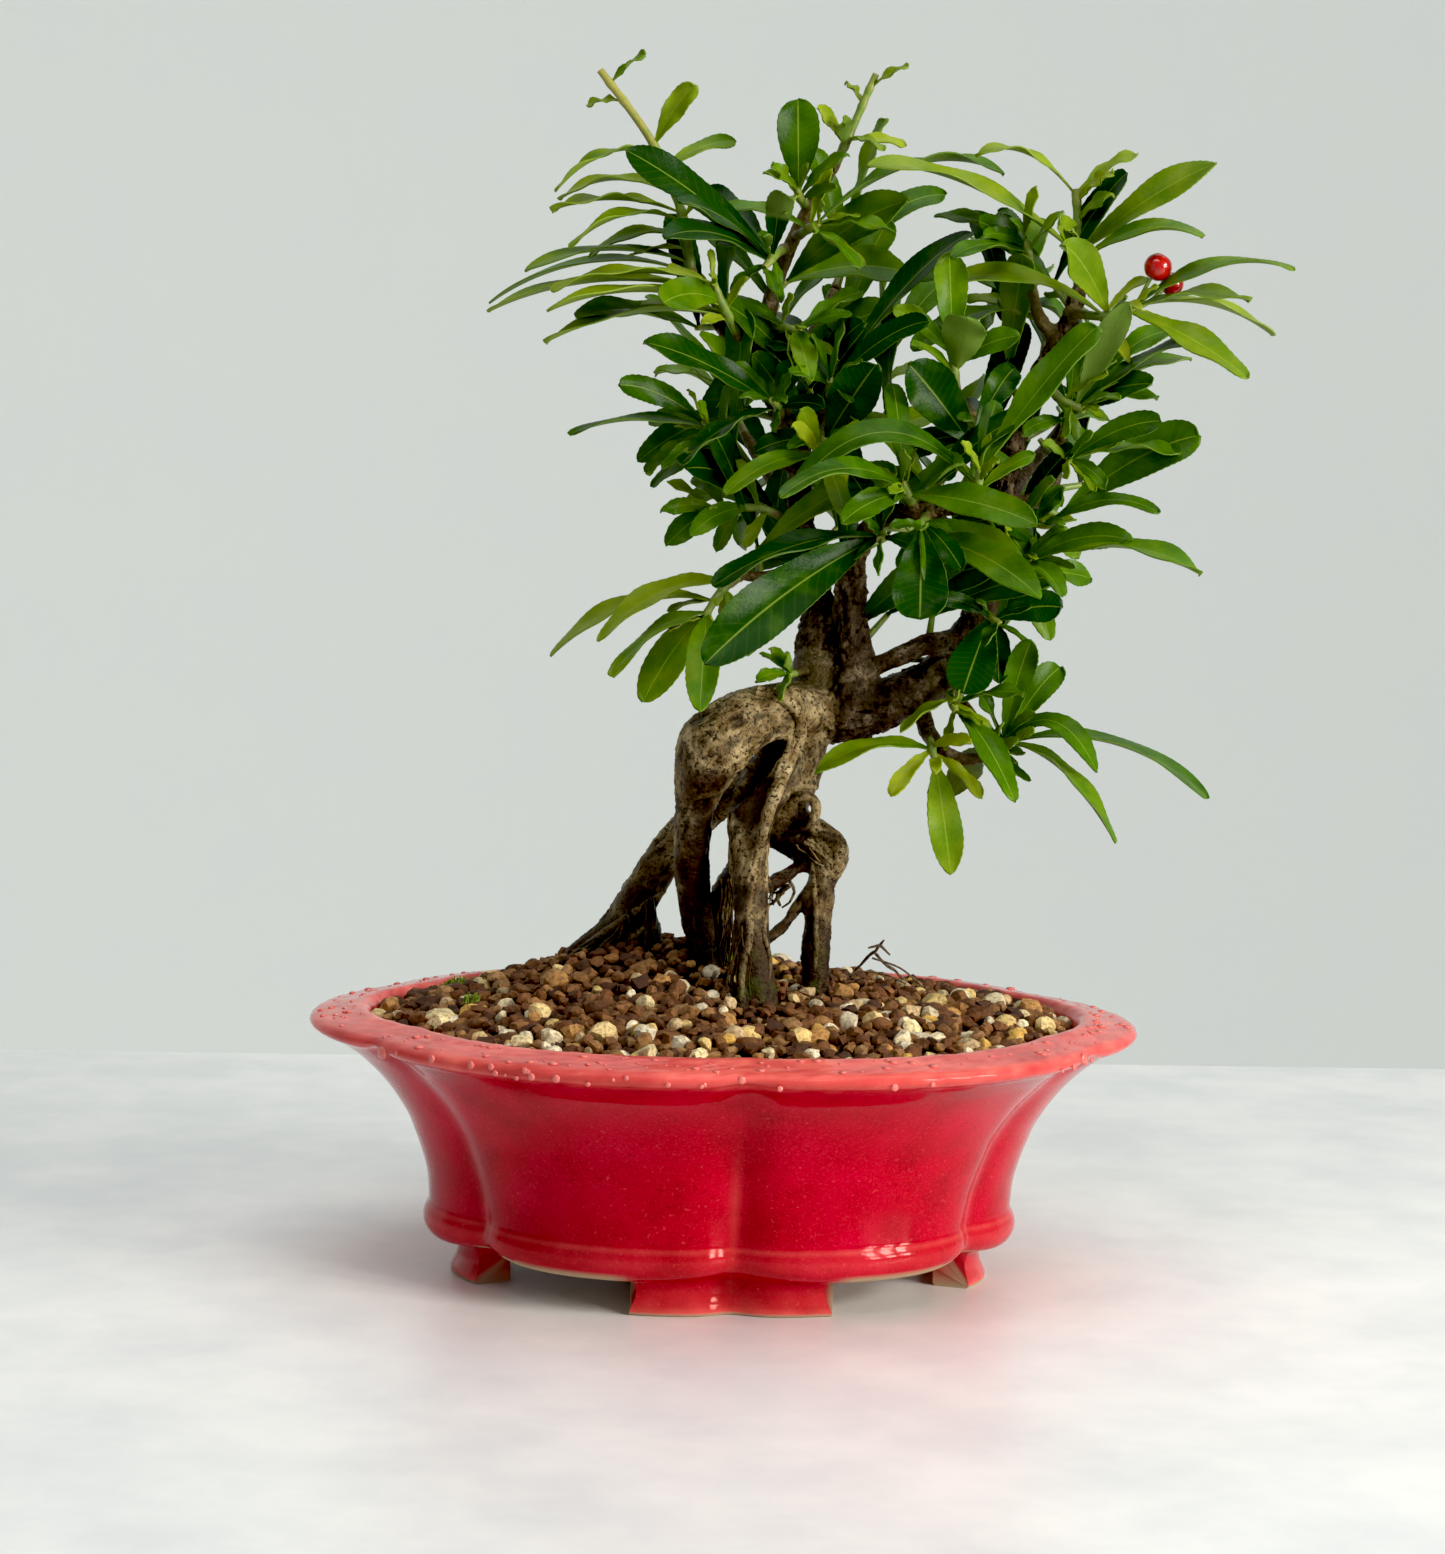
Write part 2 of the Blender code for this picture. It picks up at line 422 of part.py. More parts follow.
def new_object(name, mesh, collection, material=None):
    """An object that shows a mesh, in a collection."""
    item = bpy.data.objects.new(name, mesh)
    if material is not None:
        mesh.materials.clear()
        mesh.materials.append(material)
    collection.objects.link(item)
    return item


def view_axes():
    """The view's directions: towards the viewer, to the right and up."""
    towards = Vector((
        math.sin(VIEW_TURN) * math.cos(VIEW_RISE),
        -math.cos(VIEW_TURN) * math.cos(VIEW_RISE),
        math.sin(VIEW_RISE),
    ))
    level = (-towards).cross(Vector((0.0, 0.0, 1.0))).normalized()
    upright = level.cross(-towards)
    right = math.cos(VIEW_ROLL) * level + math.sin(VIEW_ROLL) * upright
    up = -math.sin(VIEW_ROLL) * level + math.cos(VIEW_ROLL) * upright
    return towards, right, up


TOWARDS, RIGHT, UP = view_axes()


def place(across, down, front):
    """The point of the model seen at (across, down) and lying front millimetres towards the viewer."""
    reach = (VIEW_DISTANCE - front * MM) / VIEW_FOCUS
    return (VIEW_AIM + TOWARDS * (front * MM)
            + RIGHT * ((across - VIEW_MIDDLE[0]) * reach) + UP * ((VIEW_MIDDLE[1] - down) * reach))


def smooth_path(points, spacing):
    """Points along a smooth curve through (place, radius) pairs, about spacing times a diameter apart."""
    padded = [points[0]] + list(points) + [points[-1]]
    path = []
    for before, start, end, after in zip(padded, padded[1:], padded[2:], padded[3:]):
        length = (end[0] - start[0]).length
        steps = max(1, round(length / (spacing * (start[1] + end[1]))))
        for step in range(steps):
            t = step / steps
            spot = 0.5 * (2 * start[0] + (end[0] - before[0]) * t
                          + (2 * before[0] - 5 * start[0] + 4 * end[0] - after[0]) * t ** 2
                          + (3 * start[0] - before[0] - 3 * end[0] + after[0]) * t ** 3)
            path.append((spot, start[1] + (end[1] - start[1]) * t))
    path.append(points[-1])
    return path


def seen_path(run, spacing=1.3, swell=0.0):
    """The smooth path of a run of (across, down, front, diameter) places."""
    points = [(place(*spot[:3]), spot[3] * MM / 2 + swell) for spot in run]
    return smooth_path(points, spacing)


def tube(name, path, collection, resolution):
    """A round stem along a path of (place, radius) pairs, with closed ends: a beveled curve made a mesh."""
    curve = bpy.data.curves.new(name, "CURVE")
    curve.dimensions = "3D"
    curve.bevel_depth = 1.0
    curve.bevel_resolution = resolution
    curve.use_fill_caps = True
    spline = curve.splines.new("POLY")
    spline.points.add(len(path) - 1)
    for point, (spot, radius) in zip(spline.points, path):
        point.co = (*spot, 1.0)
        point.radius = radius
    guide = bpy.data.objects.new(name, curve)
    bpy.context.scene.collection.objects.link(guide)
    evaluated = guide.evaluated_get(bpy.context.evaluated_depsgraph_get())
    mesh = bpy.data.meshes.new_from_object(evaluated)
    bpy.data.objects.remove(guide, do_unlink=True)
    bpy.data.curves.remove(curve)
    shape = bmesh.new()
    shape.from_mesh(mesh)
    bmesh.ops.remove_doubles(shape, verts=shape.verts, dist=0.01 * MM)
    bmesh.ops.recalc_face_normals(shape, faces=shape.faces)
    bmesh.ops.triangulate(shape, faces=shape.faces)
    shape.to_mesh(mesh)
    shape.free()
    return new_object(name, mesh, collection)


def loft(name, sections, collection, material=None):
    """A closed solid through closed sections of equally many points, its first and last sections filled."""
    shape = bmesh.new()
    loops = [[shape.verts.new(spot) for spot in section] for section in sections]
    for loop, following in zip(loops, loops[1:]):
        for i, corner in enumerate(loop):
            j = (i + 1) % len(loop)
            shape.faces.new((corner, loop[j], following[j], following[i]))
    shape.faces.new(reversed(loops[0]))
    shape.faces.new(loops[-1])
    bmesh.ops.recalc_face_normals(shape, faces=shape.faces)
    mesh = bpy.data.meshes.new(name)
    shape.to_mesh(mesh)
    shape.free()
    return new_object(name, mesh, collection, material)


def fuse(target, others):
    """Join the other objects into the target as one solid, and remove them.

    Where two surfaces would only graze each other, the others are shifted by a hair and joined again.
    """
    group = bpy.data.collections.new("joining")
    for item in others:
        group.objects.link(item)
    plain = target.data.copy()
    draw = random.Random(len(others))
    least = JOINED_SHARE * sum(volume(item.data) for item in [target] + others)
    for attempt in range(FUSE_ATTEMPTS):
        joint = target.modifiers.new("join", "BOOLEAN")
        joint.operation = "UNION"
        joint.operand_type = "COLLECTION"
        joint.collection = group
        joint.solver = "EXACT" if attempt % 2 else "MANIFOLD"
        apply_modifiers(target)
        if tidy(target) and volume(target.data) > least:
            break
        target.data = plain.copy()
        for item in others:
            item.location += Vector([draw.uniform(-HAIR, HAIR) for _axis in range(3)])
    for item in list(others):
        bpy.data.objects.remove(item, do_unlink=True)
    bpy.data.collections.remove(group)
    return target


def cut(target, cutters, solver="MANIFOLD"):
    """Take the cutters out of the target one by one, and remove them."""
    for cutter in cutters:
        bite = target.modifiers.new("cut", "BOOLEAN")
        bite.operation = "DIFFERENCE"
        bite.object = cutter
        bite.solver = solver
        apply_modifiers(target)
        bpy.data.objects.remove(cutter, do_unlink=True)
    return target


def apply_modifiers(item):
    """Make the object's evaluated mesh its own."""
    evaluated = item.evaluated_get(bpy.context.evaluated_depsgraph_get())
    mesh = bpy.data.meshes.new_from_object(evaluated)
    materials = [slot.material for slot in item.material_slots if slot.material]
    item.modifiers.clear()
    item.data = mesh
    mesh.materials.clear()
    for material in materials[:1]:
        mesh.materials.append(material)


def volume(mesh):
    """The volume that a closed mesh holds."""
    shape = bmesh.new()
    shape.from_mesh(mesh)
    held = shape.calc_volume()
    shape.free()
    return held


def tidy(item):
    """Weld a joined mesh and keep its largest body in few triangles; say whether it closed cleanly."""
    for level_out, merge in LEVELLINGS:
        shape = bmesh.new()
        shape.from_mesh(item.data)
        bmesh.ops.remove_doubles(shape, verts=shape.verts, dist=SPECK)
        bmesh.ops.dissolve_degenerate(shape, dist=merge, edges=shape.edges)
        if level_out:
            bmesh.ops.dissolve_limit(shape, angle_limit=level_out, verts=shape.verts, edges=shape.edges)
        bmesh.ops.triangulate(shape, faces=shape.faces)
        for body in split_bodies(shape)[1:]:
            bmesh.ops.delete(shape, geom=list(body), context="FACES")
        sound = all(len(edge.link_faces) == 2 for edge in shape.edges)
        if sound or not level_out:
            shape.to_mesh(item.data)
            shape.free()
            return sound
        shape.free()
    return False


def split_bodies(shape):
    """The groups of faces that share edges in a mesh, the largest first."""
    unseen = set(shape.faces)
    bodies = []
    while unseen:
        stack = [unseen.pop()]
        body = set(stack)
        while stack:
            for edge in stack.pop().edges:
                for face in edge.link_faces:
                    if face in unseen:
                        unseen.discard(face)
                        body.add(face)
                        stack.append(face)
        bodies.append(body)
    return sorted(bodies, key=len, reverse=True)


def lobe_share(angle, depth):
    """How far a six-lobed outline stands out at an angle, as a share of its oval."""
    across = math.pi / LOBES
    phase = abs((angle + across) % (2 * across) - across)
    size = 1.0 - depth
    return depth * math.cos(phase) + math.sqrt(size ** 2 - (depth * math.sin(phase)) ** 2)


def pot_ring(half_length, height, depth, sides=POT_SIDES):
    """One level outline of the pot, whose wall flares alike on every side."""
    half_width = RIM_HALF_WIDTH - (RIM_HALF_LENGTH - half_length)
    ring = []
    for side in range(sides):
        angle = 2 * math.pi * side / sides
        share = lobe_share(angle, depth)
        across, along = half_length * math.cos(angle), half_width * math.sin(angle)
        ring.append(Vector((across * share, along * share, height)))
    return ring


# The pot's profile at a lobe's middle, in mm: (half length, height, depth of the creases as a share)
POT_OUTSIDE = (
    (46.0, 8.6, 0.30), (60.8, 8.1, 0.33), (63.9, 10.2, 0.35), (64.5, 14.0, 0.35),
    (63.7, 19.0, 0.32), (65.4, 26.5, 0.27), (69.0, 35.5, 0.245), (73.6, 42.0, 0.24),
    (79.0, 46.6, 0.24), (88.0, 50.9, 0.235), (90.0, 53.6, 0.235), (90.0, 55.9, 0.235),
    (88.8, 57.4, 0.235),
)
POT_INSIDE = (
    (77.4, 55.8, 0.235), (75.6, 53.2, 0.23), (66.5, 41.0, 0.22), (60.2, 28.0, 0.18), (58.0, 13.2, 0.16),
)
FOOT_DEPTH = 0.30
FOOT_SECTION = ((56.6, 9.6), (57.2, 4.0), (58.4, 0.0), (50.5, 0.0), (49.5, 9.6))


def foot(name, middle, collection):
    """One foot under the pot, following its outline for a few degrees each side of the middle angle."""
    sections = []
    for station in range(FOOT_STATIONS + 1):
        angle = middle + FOOT_HALF_ANGLE * (2 * station / FOOT_STATIONS - 1)
        section = []
        for half_length, height in FOOT_SECTION:
            half_width = RIM_HALF_WIDTH - RIM_HALF_LENGTH + half_length * MM
            share = lobe_share(angle, FOOT_DEPTH)
            section.append(Vector((
                half_length * MM * share * math.cos(angle), half_width * share * math.sin(angle), height * MM,
            )))
        sections.append(section)
    return loft(name, sections, collection)


def cylinder(name, middle, radius, low, high, collection, sides=16):
    """An upright cylinder between two heights."""
    shape = bmesh.new()
    bmesh.ops.create_cone(shape, cap_ends=True, segments=sides, radius1=radius, radius2=radius,
                          depth=high - low)
    bmesh.ops.translate(shape, verts=shape.verts, vec=(middle[0], middle[1], (low + high) / 2))
    mesh = bpy.data.meshes.new(name)
    shape.to_mesh(mesh)
    shape.free()
    return new_object(name, mesh, collection)


def slab(name, middle, side, low, high, collection):
    """A square block between two heights."""
    shape = bmesh.new()
    bmesh.ops.create_cube(shape, size=1.0)
    bmesh.ops.scale(shape, verts=shape.verts, vec=(side, side, high - low))
    bmesh.ops.translate(shape, verts=shape.verts, vec=(middle[0], middle[1], (low + high) / 2))
    mesh = bpy.data.meshes.new(name)
    shape.to_mesh(mesh)
    shape.free()
    return new_object(name, mesh, collection)


def build_pot(collection, material):
    """The pot: a lobed shell with a broad rim, four feet and two drain holes."""
    rings = [pot_ring(a * MM, z * MM, depth) for a, z, depth in POT_OUTSIDE + POT_INSIDE]
    pot = loft("pot", rings, collection, material)
    feet = [foot(f"foot_{side}", side * math.pi / 2, collection) for side in range(4)]
    fuse(pot, feet)
    cut(pot, [cylinder("drain", middle, DRAIN_RADIUS, 0.0, FLOOR_HEIGHT + 2 * MM, collection)
              for middle in DRAIN_PLACES])
    tidy(pot)
    return pot


def build_net(name, middle, collection, material):
    """A square of plastic net over a drain hole."""
    low = FLOOR_HEIGHT + GAP
    net = slab(name, middle, NET_SIDE, low, low + NET_THICKNESS, collection)
    net.data.materials.append(material)
    pitch = NET_SIDE / (NET_CELLS + 0.5)
    holes = []
    for row in range(NET_CELLS):
        for column in range(NET_CELLS):
            spot = (middle[0] + (column - (NET_CELLS - 1) / 2) * pitch,
                    middle[1] + (row - (NET_CELLS - 1) / 2) * pitch)
            holes.append(slab("mesh_hole", spot, pitch * 0.6, low - MM, low + NET_THICKNESS + MM, collection))
    return cut(net, holes)


def soil_height(x, y, share):
    """Height of the soil's top: a low dome with a mound round the roots, from the edge (share 1) inwards."""
    off_x = (x - MOUND_MIDDLE[0]) / MOUND_SPREAD[0]
    off_y = (y - MOUND_MIDDLE[1]) / MOUND_SPREAD[1]
    mound = MOUND_HEIGHT * math.exp(-(off_x ** 2 + off_y ** 2) / 2)
    return SOIL_EDGE_HEIGHT + SOIL_DOME * (1.0 - share ** 3) + mound * (1.0 - share ** 4)


def build_soil(collection, material, draw):
    """The soil: it fills the pot's inside with a thin gap, and its top is rough with grains."""
    clear = 1.5 * GAP / MM
    sections = []
    for a, z, depth in reversed(POT_INSIDE[1:]):
        lift = GAP if z == POT_INSIDE[-1][1] else 0.0
        sections.append(pot_ring((a - clear) * MM, z * MM + lift, depth))
    edge_half_length = POT_INSIDE[0][0] - clear - 0.5
    for step in range(SOIL_RINGS):
        share = 1.0 - step / (SOIL_RINGS - 0.8)
        ring = pot_ring(edge_half_length * MM, SOIL_EDGE_HEIGHT, POT_INSIDE[0][2])
        rough = GRAIN_RELIEF if 0 < step < SOIL_RINGS - 1 else 0.0
        for spot in ring:
            spot.x *= share
            spot.y *= share
            spot.z = soil_height(spot.x, spot.y, share) + rough * draw.uniform(-1.0, 1.0)
        if step == SOIL_RINGS - 1:
            level = sum(spot.z for spot in ring) / len(ring)
            ring = [Vector((spot.x, spot.y, level)) for spot in ring]
        sections.append(ring)
    soil = loft("soil", sections, collection, material)
    bed_top = FLOOR_HEIGHT + NET_THICKNESS + 2 * GAP
    holes = [slab("net_bed", middle, NET_SIDE + 2 * GAP, FLOOR_HEIGHT - MM, bed_top, collection)
             for middle in DRAIN_PLACES]
    for number, run in enumerate(ROOTS_IN_SOIL):
        path = seen_path(run[-3:], swell=1.3 * GAP)
        end, before = path[-1][0], path[-2][0]
        path.append((end + (end - before).normalized() * 1.5 * GAP, path[-1][1]))
        holes.append(tube(f"root_hole_{number}", path, collection, 2))
    for limb in DRY_TWIG:
        path = seen_path(limb, spacing=3.0, swell=1.3 * GAP)
        holes.append(tube("twig_hole", path, collection, 1))
    cut(soil, holes)
    tidy(soil)
    return soil


def build_wood(collection, material, spurs):
    """The wood: exposed roots, trunk, limbs and twigs grown together, with a spur for every leafy shoot."""
    parts = []
    for number, run in enumerate(THICK_RUNS):
        parts.append(tube(f"thick_{number}", seen_path(run, 1.7), collection, 2))
    for number, run in enumerate(THIN_RUNS):
        parts.append(tube(f"thin_{number}", seen_path(run, 4.0), collection, 1))
    parts.extend(spurs)
    wood = parts[0]
    wood.name = "wood"
    wood.data.materials.append(material)
    return fuse(wood, parts[1:])


def stem_points(spray):
    """The places of a shoot's stem."""
    return [place(*spot) for spot in spray.stem]


def spur(spray, collection):
    """The woody spur under a shoot, which ends square to it just short of its foot."""
    seat, following = stem_points(spray)[:2]
    along = (following - seat).normalized()
    radius = spray.diameter * MM / 2
    start = place(*spray.wood)
    bend = seat - along * SPUR_SINK
    path = [(start, radius * 1.15), (bend, radius * 1.05), (seat, radius)]
    return tube(f"spur_{spray.name}", path, collection, 0)


def shoot(spray, collection):
    """The green stem of a shoot, from its seat on the spur to its tip."""
    spots = stem_points(spray)
    along = (spots[1] - spots[0]).normalized()
    radius = spray.diameter * MM / 2
    last = len(spots) - 1
    points = [(spot, radius * (1.0 - 0.35 * i / last)) for i, spot in enumerate(spots)]
    points[0] = (spots[0] + along * GAP, radius)
    points.insert(1, (spots[0] + along * 3 * GAP, radius))
    return tube(spray.name, smooth_path(points, 3.2), collection, 0)


def nearest_on_stem(spots, target):
    """The point of a stem nearest to a place, kept clear of the stem's foot."""
    best = None
    for number, (start, end) in enumerate(zip(spots, spots[1:])):
        line = end - start
        share = max(0.0, min(1.0, (target - start).dot(line) / line.length_squared))
        if number == 0:
            share = max(share, 0.45)
        spot = start + line * min(share, 0.96)
        if best is None or (spot - target).length < (best - target).length:
            best = spot
    return best


def blade_share(along):
    """Half width of a blade, as a share of its widest, at a share of the way to its blunt tip."""
    return along ** 0.9 * (1.0 - along) ** 0.45 / 0.4235


def leaf_line(root, tip, arch, sway, count):
    """Places and directions along a leaf's midrib, which rises from its root and bows over to its tip."""
    length = (tip - root).length
    lift = Vector((0.0, 0.0, 1.0)) * (arch * length * 1.35)
    first = root.lerp(tip, 0.33) + lift + sway
    second = root.lerp(tip, 0.70) + lift + sway
    line = []
    for share in count:
        rest = 1.0 - share
        spot = (root * rest ** 3 + first * (3 * rest ** 2 * share)
                + second * (3 * rest * share ** 2) + tip * share ** 3)
        slope = ((first - root) * rest ** 2 + (second - first) * (2 * rest * share)
                 + (tip - second) * share ** 2)
        line.append((spot, slope.normalized()))
    return line


class Blade(NamedTuple):
    """A leaf ready to be made: its root and tip, how it bows, its width and how it faces."""

    root: Vector
    tip: Vector
    arch: float
    width: float
    facing: float
    wave: float


def make_blade(name, blade, collection, swell=0.0):
    """A leaf blade as a thin folded sheet given its thickness."""
    length = (blade.tip - blade.root).length
    folded = length >= FOLDED_FROM
    shares = FOLDED_SHARES if folded else SMALL_SHARES if length < SMALL_BELOW else FLAT_SHARES
    columns = 2 if folded else 1
    line = leaf_line(blade.root, blade.tip, blade.arch, Vector(), shares)
    shape = bmesh.new()
    bmesh.ops.create_grid(shape, x_segments=columns, y_segments=len(shares) - 1, size=1.0)
    shape.verts.ensure_lookup_table()
    ordered = sorted(shape.verts, key=lambda corner: (round(corner.co.y, 4), round(corner.co.x, 4)))
    for row, (spot, along) in enumerate(line):
        side, normal = facing_axes(along, blade.facing)
        half = max(blade_share(shares[row]) * blade.width, PETIOLE_WIDTH) / 2 + swell
        if shares[row] == 1.0:
            half = 0.0
        for column in range(columns + 1):
            across = 2.0 * column / columns - 1.0
            ripple = blade.wave * (-1) ** row * across if 0 < row < len(line) - 1 else 0.0
            corner = ordered[row * (columns + 1) + column]
            raised = abs(across) * half * BLADE_FOLD * (columns - 1) + ripple
            corner.co = spot + side * (half * across) + normal * raised
    bmesh.ops.remove_doubles(shape, verts=shape.verts, dist=0.001 * MM)
    bmesh.ops.triangulate(shape, faces=shape.faces)
    bmesh.ops.recalc_face_normals(shape, faces=shape.faces)
    bmesh.ops.solidify(shape, geom=shape.faces[:], thickness=BLADE_THICKNESS + 2 * swell)
    bmesh.ops.recalc_face_normals(shape, faces=shape.faces)
    bmesh.ops.triangulate(shape, faces=shape.faces)
    mesh = bpy.data.meshes.new(name)
    shape.to_mesh(mesh)
    shape.free()
    return new_object(name, mesh, collection)


def facing_axes(along, facing):
    """A blade's sideways direction and its upper face's, for how far it turns its face to the viewer."""
    edge_on = (TOWARDS - along * TOWARDS.dot(along)).normalized()
    face_on = edge_on.cross(along).normalized()
    if face_on.z > 0:
        face_on = -face_on
    side = edge_on * math.cos(facing) + face_on * math.sin(facing)
    normal = side.cross(along).normalized()
    if normal.dot(TOWARDS + Vector((0.0, 0.0, 1.0))) < 0:
        normal = -normal
    return side.normalized(), normal


def surface_tree(item):
    """A search tree over an object's faces."""
    return BVHTree.FromPolygons([corner.co for corner in item.data.vertices],
                                [tuple(face.vertices) for face in item.data.polygons])


def is_clear(item, trees):
    """Whether an object crosses none of the surfaces in the trees."""
    own = surface_tree(item)
    return not any(own.overlap(tree) for tree in trees)


def seen_blade(spray, leaf, draw):
    """The blade of a leaf that the front view shows."""
    spots = stem_points(spray)
    tip = place(*leaf.tip, leaf.front)
    depth = spots[len(spots) // 2]
    base_front = (depth - VIEW_AIM).dot(TOWARDS) / MM
    root = nearest_on_stem(spots, place(*leaf.base, base_front))
    length = (tip - root).length
    seen = leaf.seen * (VIEW_DISTANCE - leaf.front * MM) / VIEW_FOCUS
    width = max(length * BLADE_WIDTH_SHARE, seen, BLADE_WIDTH_LIMITS[0])
    width = min(width, max(seen, BLADE_WIDTH_LIMITS[1]))
    facing = math.asin(min(1.0, seen / width)) * 0.92
    return Blade(root, tip, leaf.arch, width, facing, draw.uniform(0.15, 0.35) * MM)


def back_blades(spots, count, draw):
    """Blades round a shoot on the far side, each turned by the angle of growth from the last."""
    axis = (spots[-1] - spots[0]).normalized()
    outward = (-TOWARDS - axis * (-TOWARDS).dot(axis)).normalized()
    sideways = axis.cross(outward)
    turn = draw.uniform(-0.5, 0.5)
    blades = []
    for number in range(count):
        share = 0.45 + 0.55 * number / (count - 1)
        root = spots[0].lerp(spots[-1], share)
        away = outward * math.cos(turn) + sideways * math.sin(turn)
        rise = 0.25 + 0.75 * share
        length = draw.uniform(*BACK_LEAF_LENGTHS) * (1.1 - 0.3 * share)
        tip = root + (away * (1.25 - rise * 0.6) + axis * rise + Vector((0, 0, 0.15))).normalized() * length
        width = min(length * 0.27, BLADE_WIDTH_LIMITS[1])
        blades.append(Blade(root, tip, draw.uniform(0.06, 0.14), width, draw.uniform(0.2, 1.1), 0.25 * MM))
        turn += GROWTH_ANGLE
    return blades


def settle_blade(name, blade, trees, collection):
    """The blade bent clear of what the trees hold, first by its tip, then by being shorter, or nothing."""
    sideways = (blade.tip - blade.root).cross(TOWARDS).normalized()
    for reach in REACHES:
        for aside in SIDE_STEPS:
            for swing in SWING_STEPS:
                tip = blade.root.lerp(blade.tip, reach) + TOWARDS * (swing * MM) + sideways * (aside * MM)
                trial = blade._replace(tip=tip)
                probe = make_blade("probe", trial, collection, swell=BLADE_CLEARANCE)
                clear = is_clear(probe, trees)
                bpy.data.objects.remove(probe, do_unlink=True)
                if clear:
                    return make_blade(name, trial, collection)
    return None


def berry_stalks(collection):
    """Thin stalks from the right tip's shoot to just inside each berry's foot."""
    start = place(1128, 311, 5)
    stalks = []
    for name, spot, radius in BERRIES:
        middle = place(*spot)
        away = (start - middle).normalized()
        end = middle + away * (radius * MM + GAP)
        bow = start.lerp(end, 0.5) + Vector((0.0, 0.0, -1.0 * MM))
        path = [(start, 0.6 * MM), (bow, 0.55 * MM), (end, 0.55 * MM)]
        stalks.append(tube(f"stalk_{name}", path, collection, 1))
    return stalks


def build_berry(name, spot, radius, collection, material):
    """A berry, flattened a little where the dry calyx sits in it, on the side away from its stalk."""
    middle = place(*spot)
    away = (middle - place(1128, 311, 5)).normalized()
    shape = bmesh.new()
    bmesh.ops.create_uvsphere(shape, u_segments=9, v_segments=6, radius=radius * MM)
    for corner in shape.verts:
        if corner.co.z > 0.8 * radius * MM:
            corner.co.z = 0.78 * radius * MM
    bmesh.ops.rotate(shape, verts=shape.verts, cent=(0, 0, 0),
                     matrix=Vector((0, 0, 1)).rotation_difference(away).to_matrix())
    bmesh.ops.translate(shape, verts=shape.verts, vec=middle)
    mesh = bpy.data.meshes.new(name)
    shape.to_mesh(mesh)
    shape.free()
    return new_object(name, mesh, collection, material)


def all_sprays():
    """Every shoot, those of the far side included with no listed leaves."""
    far = [Spray(name, wood, stem, 2.2, ()) for name, wood, stem, _count in BACK_SPRAYS]
    return list(SPRAYS) + far


def build():
    """The whole tree in its pot."""
    clear_scene()
    parts = new_collection("firethorn_bonsai")
    draw = random.Random(SEED)
    looks = {name: new_material(name) for name in COLOURS}

    pot = build_pot(parts, looks["glaze"])
    for number, middle in enumerate(DRAIN_PLACES):
        build_net(f"drain_net_{number + 1}", middle, parts, looks["net"])
    soil = build_soil(parts, looks["soil"], draw)

    sprays = all_sprays()
    wood = build_wood(parts, looks["bark"], [spur(spray, parts) for spray in sprays])
    shoots = {spray.name: shoot(spray, parts) for spray in sprays}
    twig_limbs = [tube("dry_twig", seen_path(limb, spacing=3.0), parts, 1) for limb in DRY_TWIG]
    dry_twig = twig_limbs[0]
    dry_twig.data.materials.append(looks["dry_wood"])
    fuse(dry_twig, twig_limbs[1:])
    berries = [build_berry(name, spot, radius, parts, looks["berry"]) for name, spot, radius in BERRIES]
    stalks = berry_stalks(parts)

    fixed = [surface_tree(item) for item in [pot, soil, wood, dry_twig] + berries]
    stem_trees = {name: surface_tree(item) for name, item in shoots.items()}
    stem_trees["stalks"] = surface_tree(stalks[0])
    leaf_trees = {spray.name: [] for spray in sprays}
    back_counts = {name: count for name, _wood, _stem, count in BACK_SPRAYS}
    dropped = []
    grown = {}
    for spray in sprays:
        own = {spray.name, "stalks" if spray.name == BERRY_STALK_SPRAY else spray.name}
        others = fixed + [tree for name, tree in stem_trees.items() if name not in own]
        for name, trees in leaf_trees.items():
            if name != spray.name:
                others = others + trees
        if spray.name in back_counts:
            blades = back_blades(stem_points(spray), back_counts[spray.name], draw)
        else:
            blades = [seen_blade(spray, leaf, draw) for leaf in spray.leaves]
        grown[spray.name] = []
        for number, blade in enumerate(blades):
            leaf = settle_blade(f"{spray.name}_leaf_{number}", blade, others, parts)
            if leaf is None:
                dropped.append(f"{spray.name} {number}")
                continue
            leaf_trees[spray.name].append(surface_tree(leaf))
            grown[spray.name].append(leaf)
    for spray in sprays:
        body = shoots[spray.name]
        body.name = f"spray_{spray.name}"
        body.data.materials.append(looks["leaf"])
        extra = stalks if spray.name == BERRY_STALK_SPRAY else []
        fuse(body, grown[spray.name] + extra)
    for item in parts.objects:
        item.data.transform(Matrix.Translation(POT_MIDDLE))
    print("leaves with no clear place:", ", ".join(dropped) or "none")


build()
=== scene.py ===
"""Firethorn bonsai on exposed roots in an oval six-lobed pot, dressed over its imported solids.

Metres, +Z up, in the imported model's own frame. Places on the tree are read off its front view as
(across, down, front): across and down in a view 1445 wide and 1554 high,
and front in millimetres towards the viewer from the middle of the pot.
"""

import json
import logging
import math
import random
from dataclasses import dataclass
from enum import Enum
from typing import Iterable, NamedTuple, Optional

import bmesh
import bpy
from mathutils import Matrix, Vector, noise
from mathutils.bvhtree import BVHTree
from mathutils.kdtree import KDTree

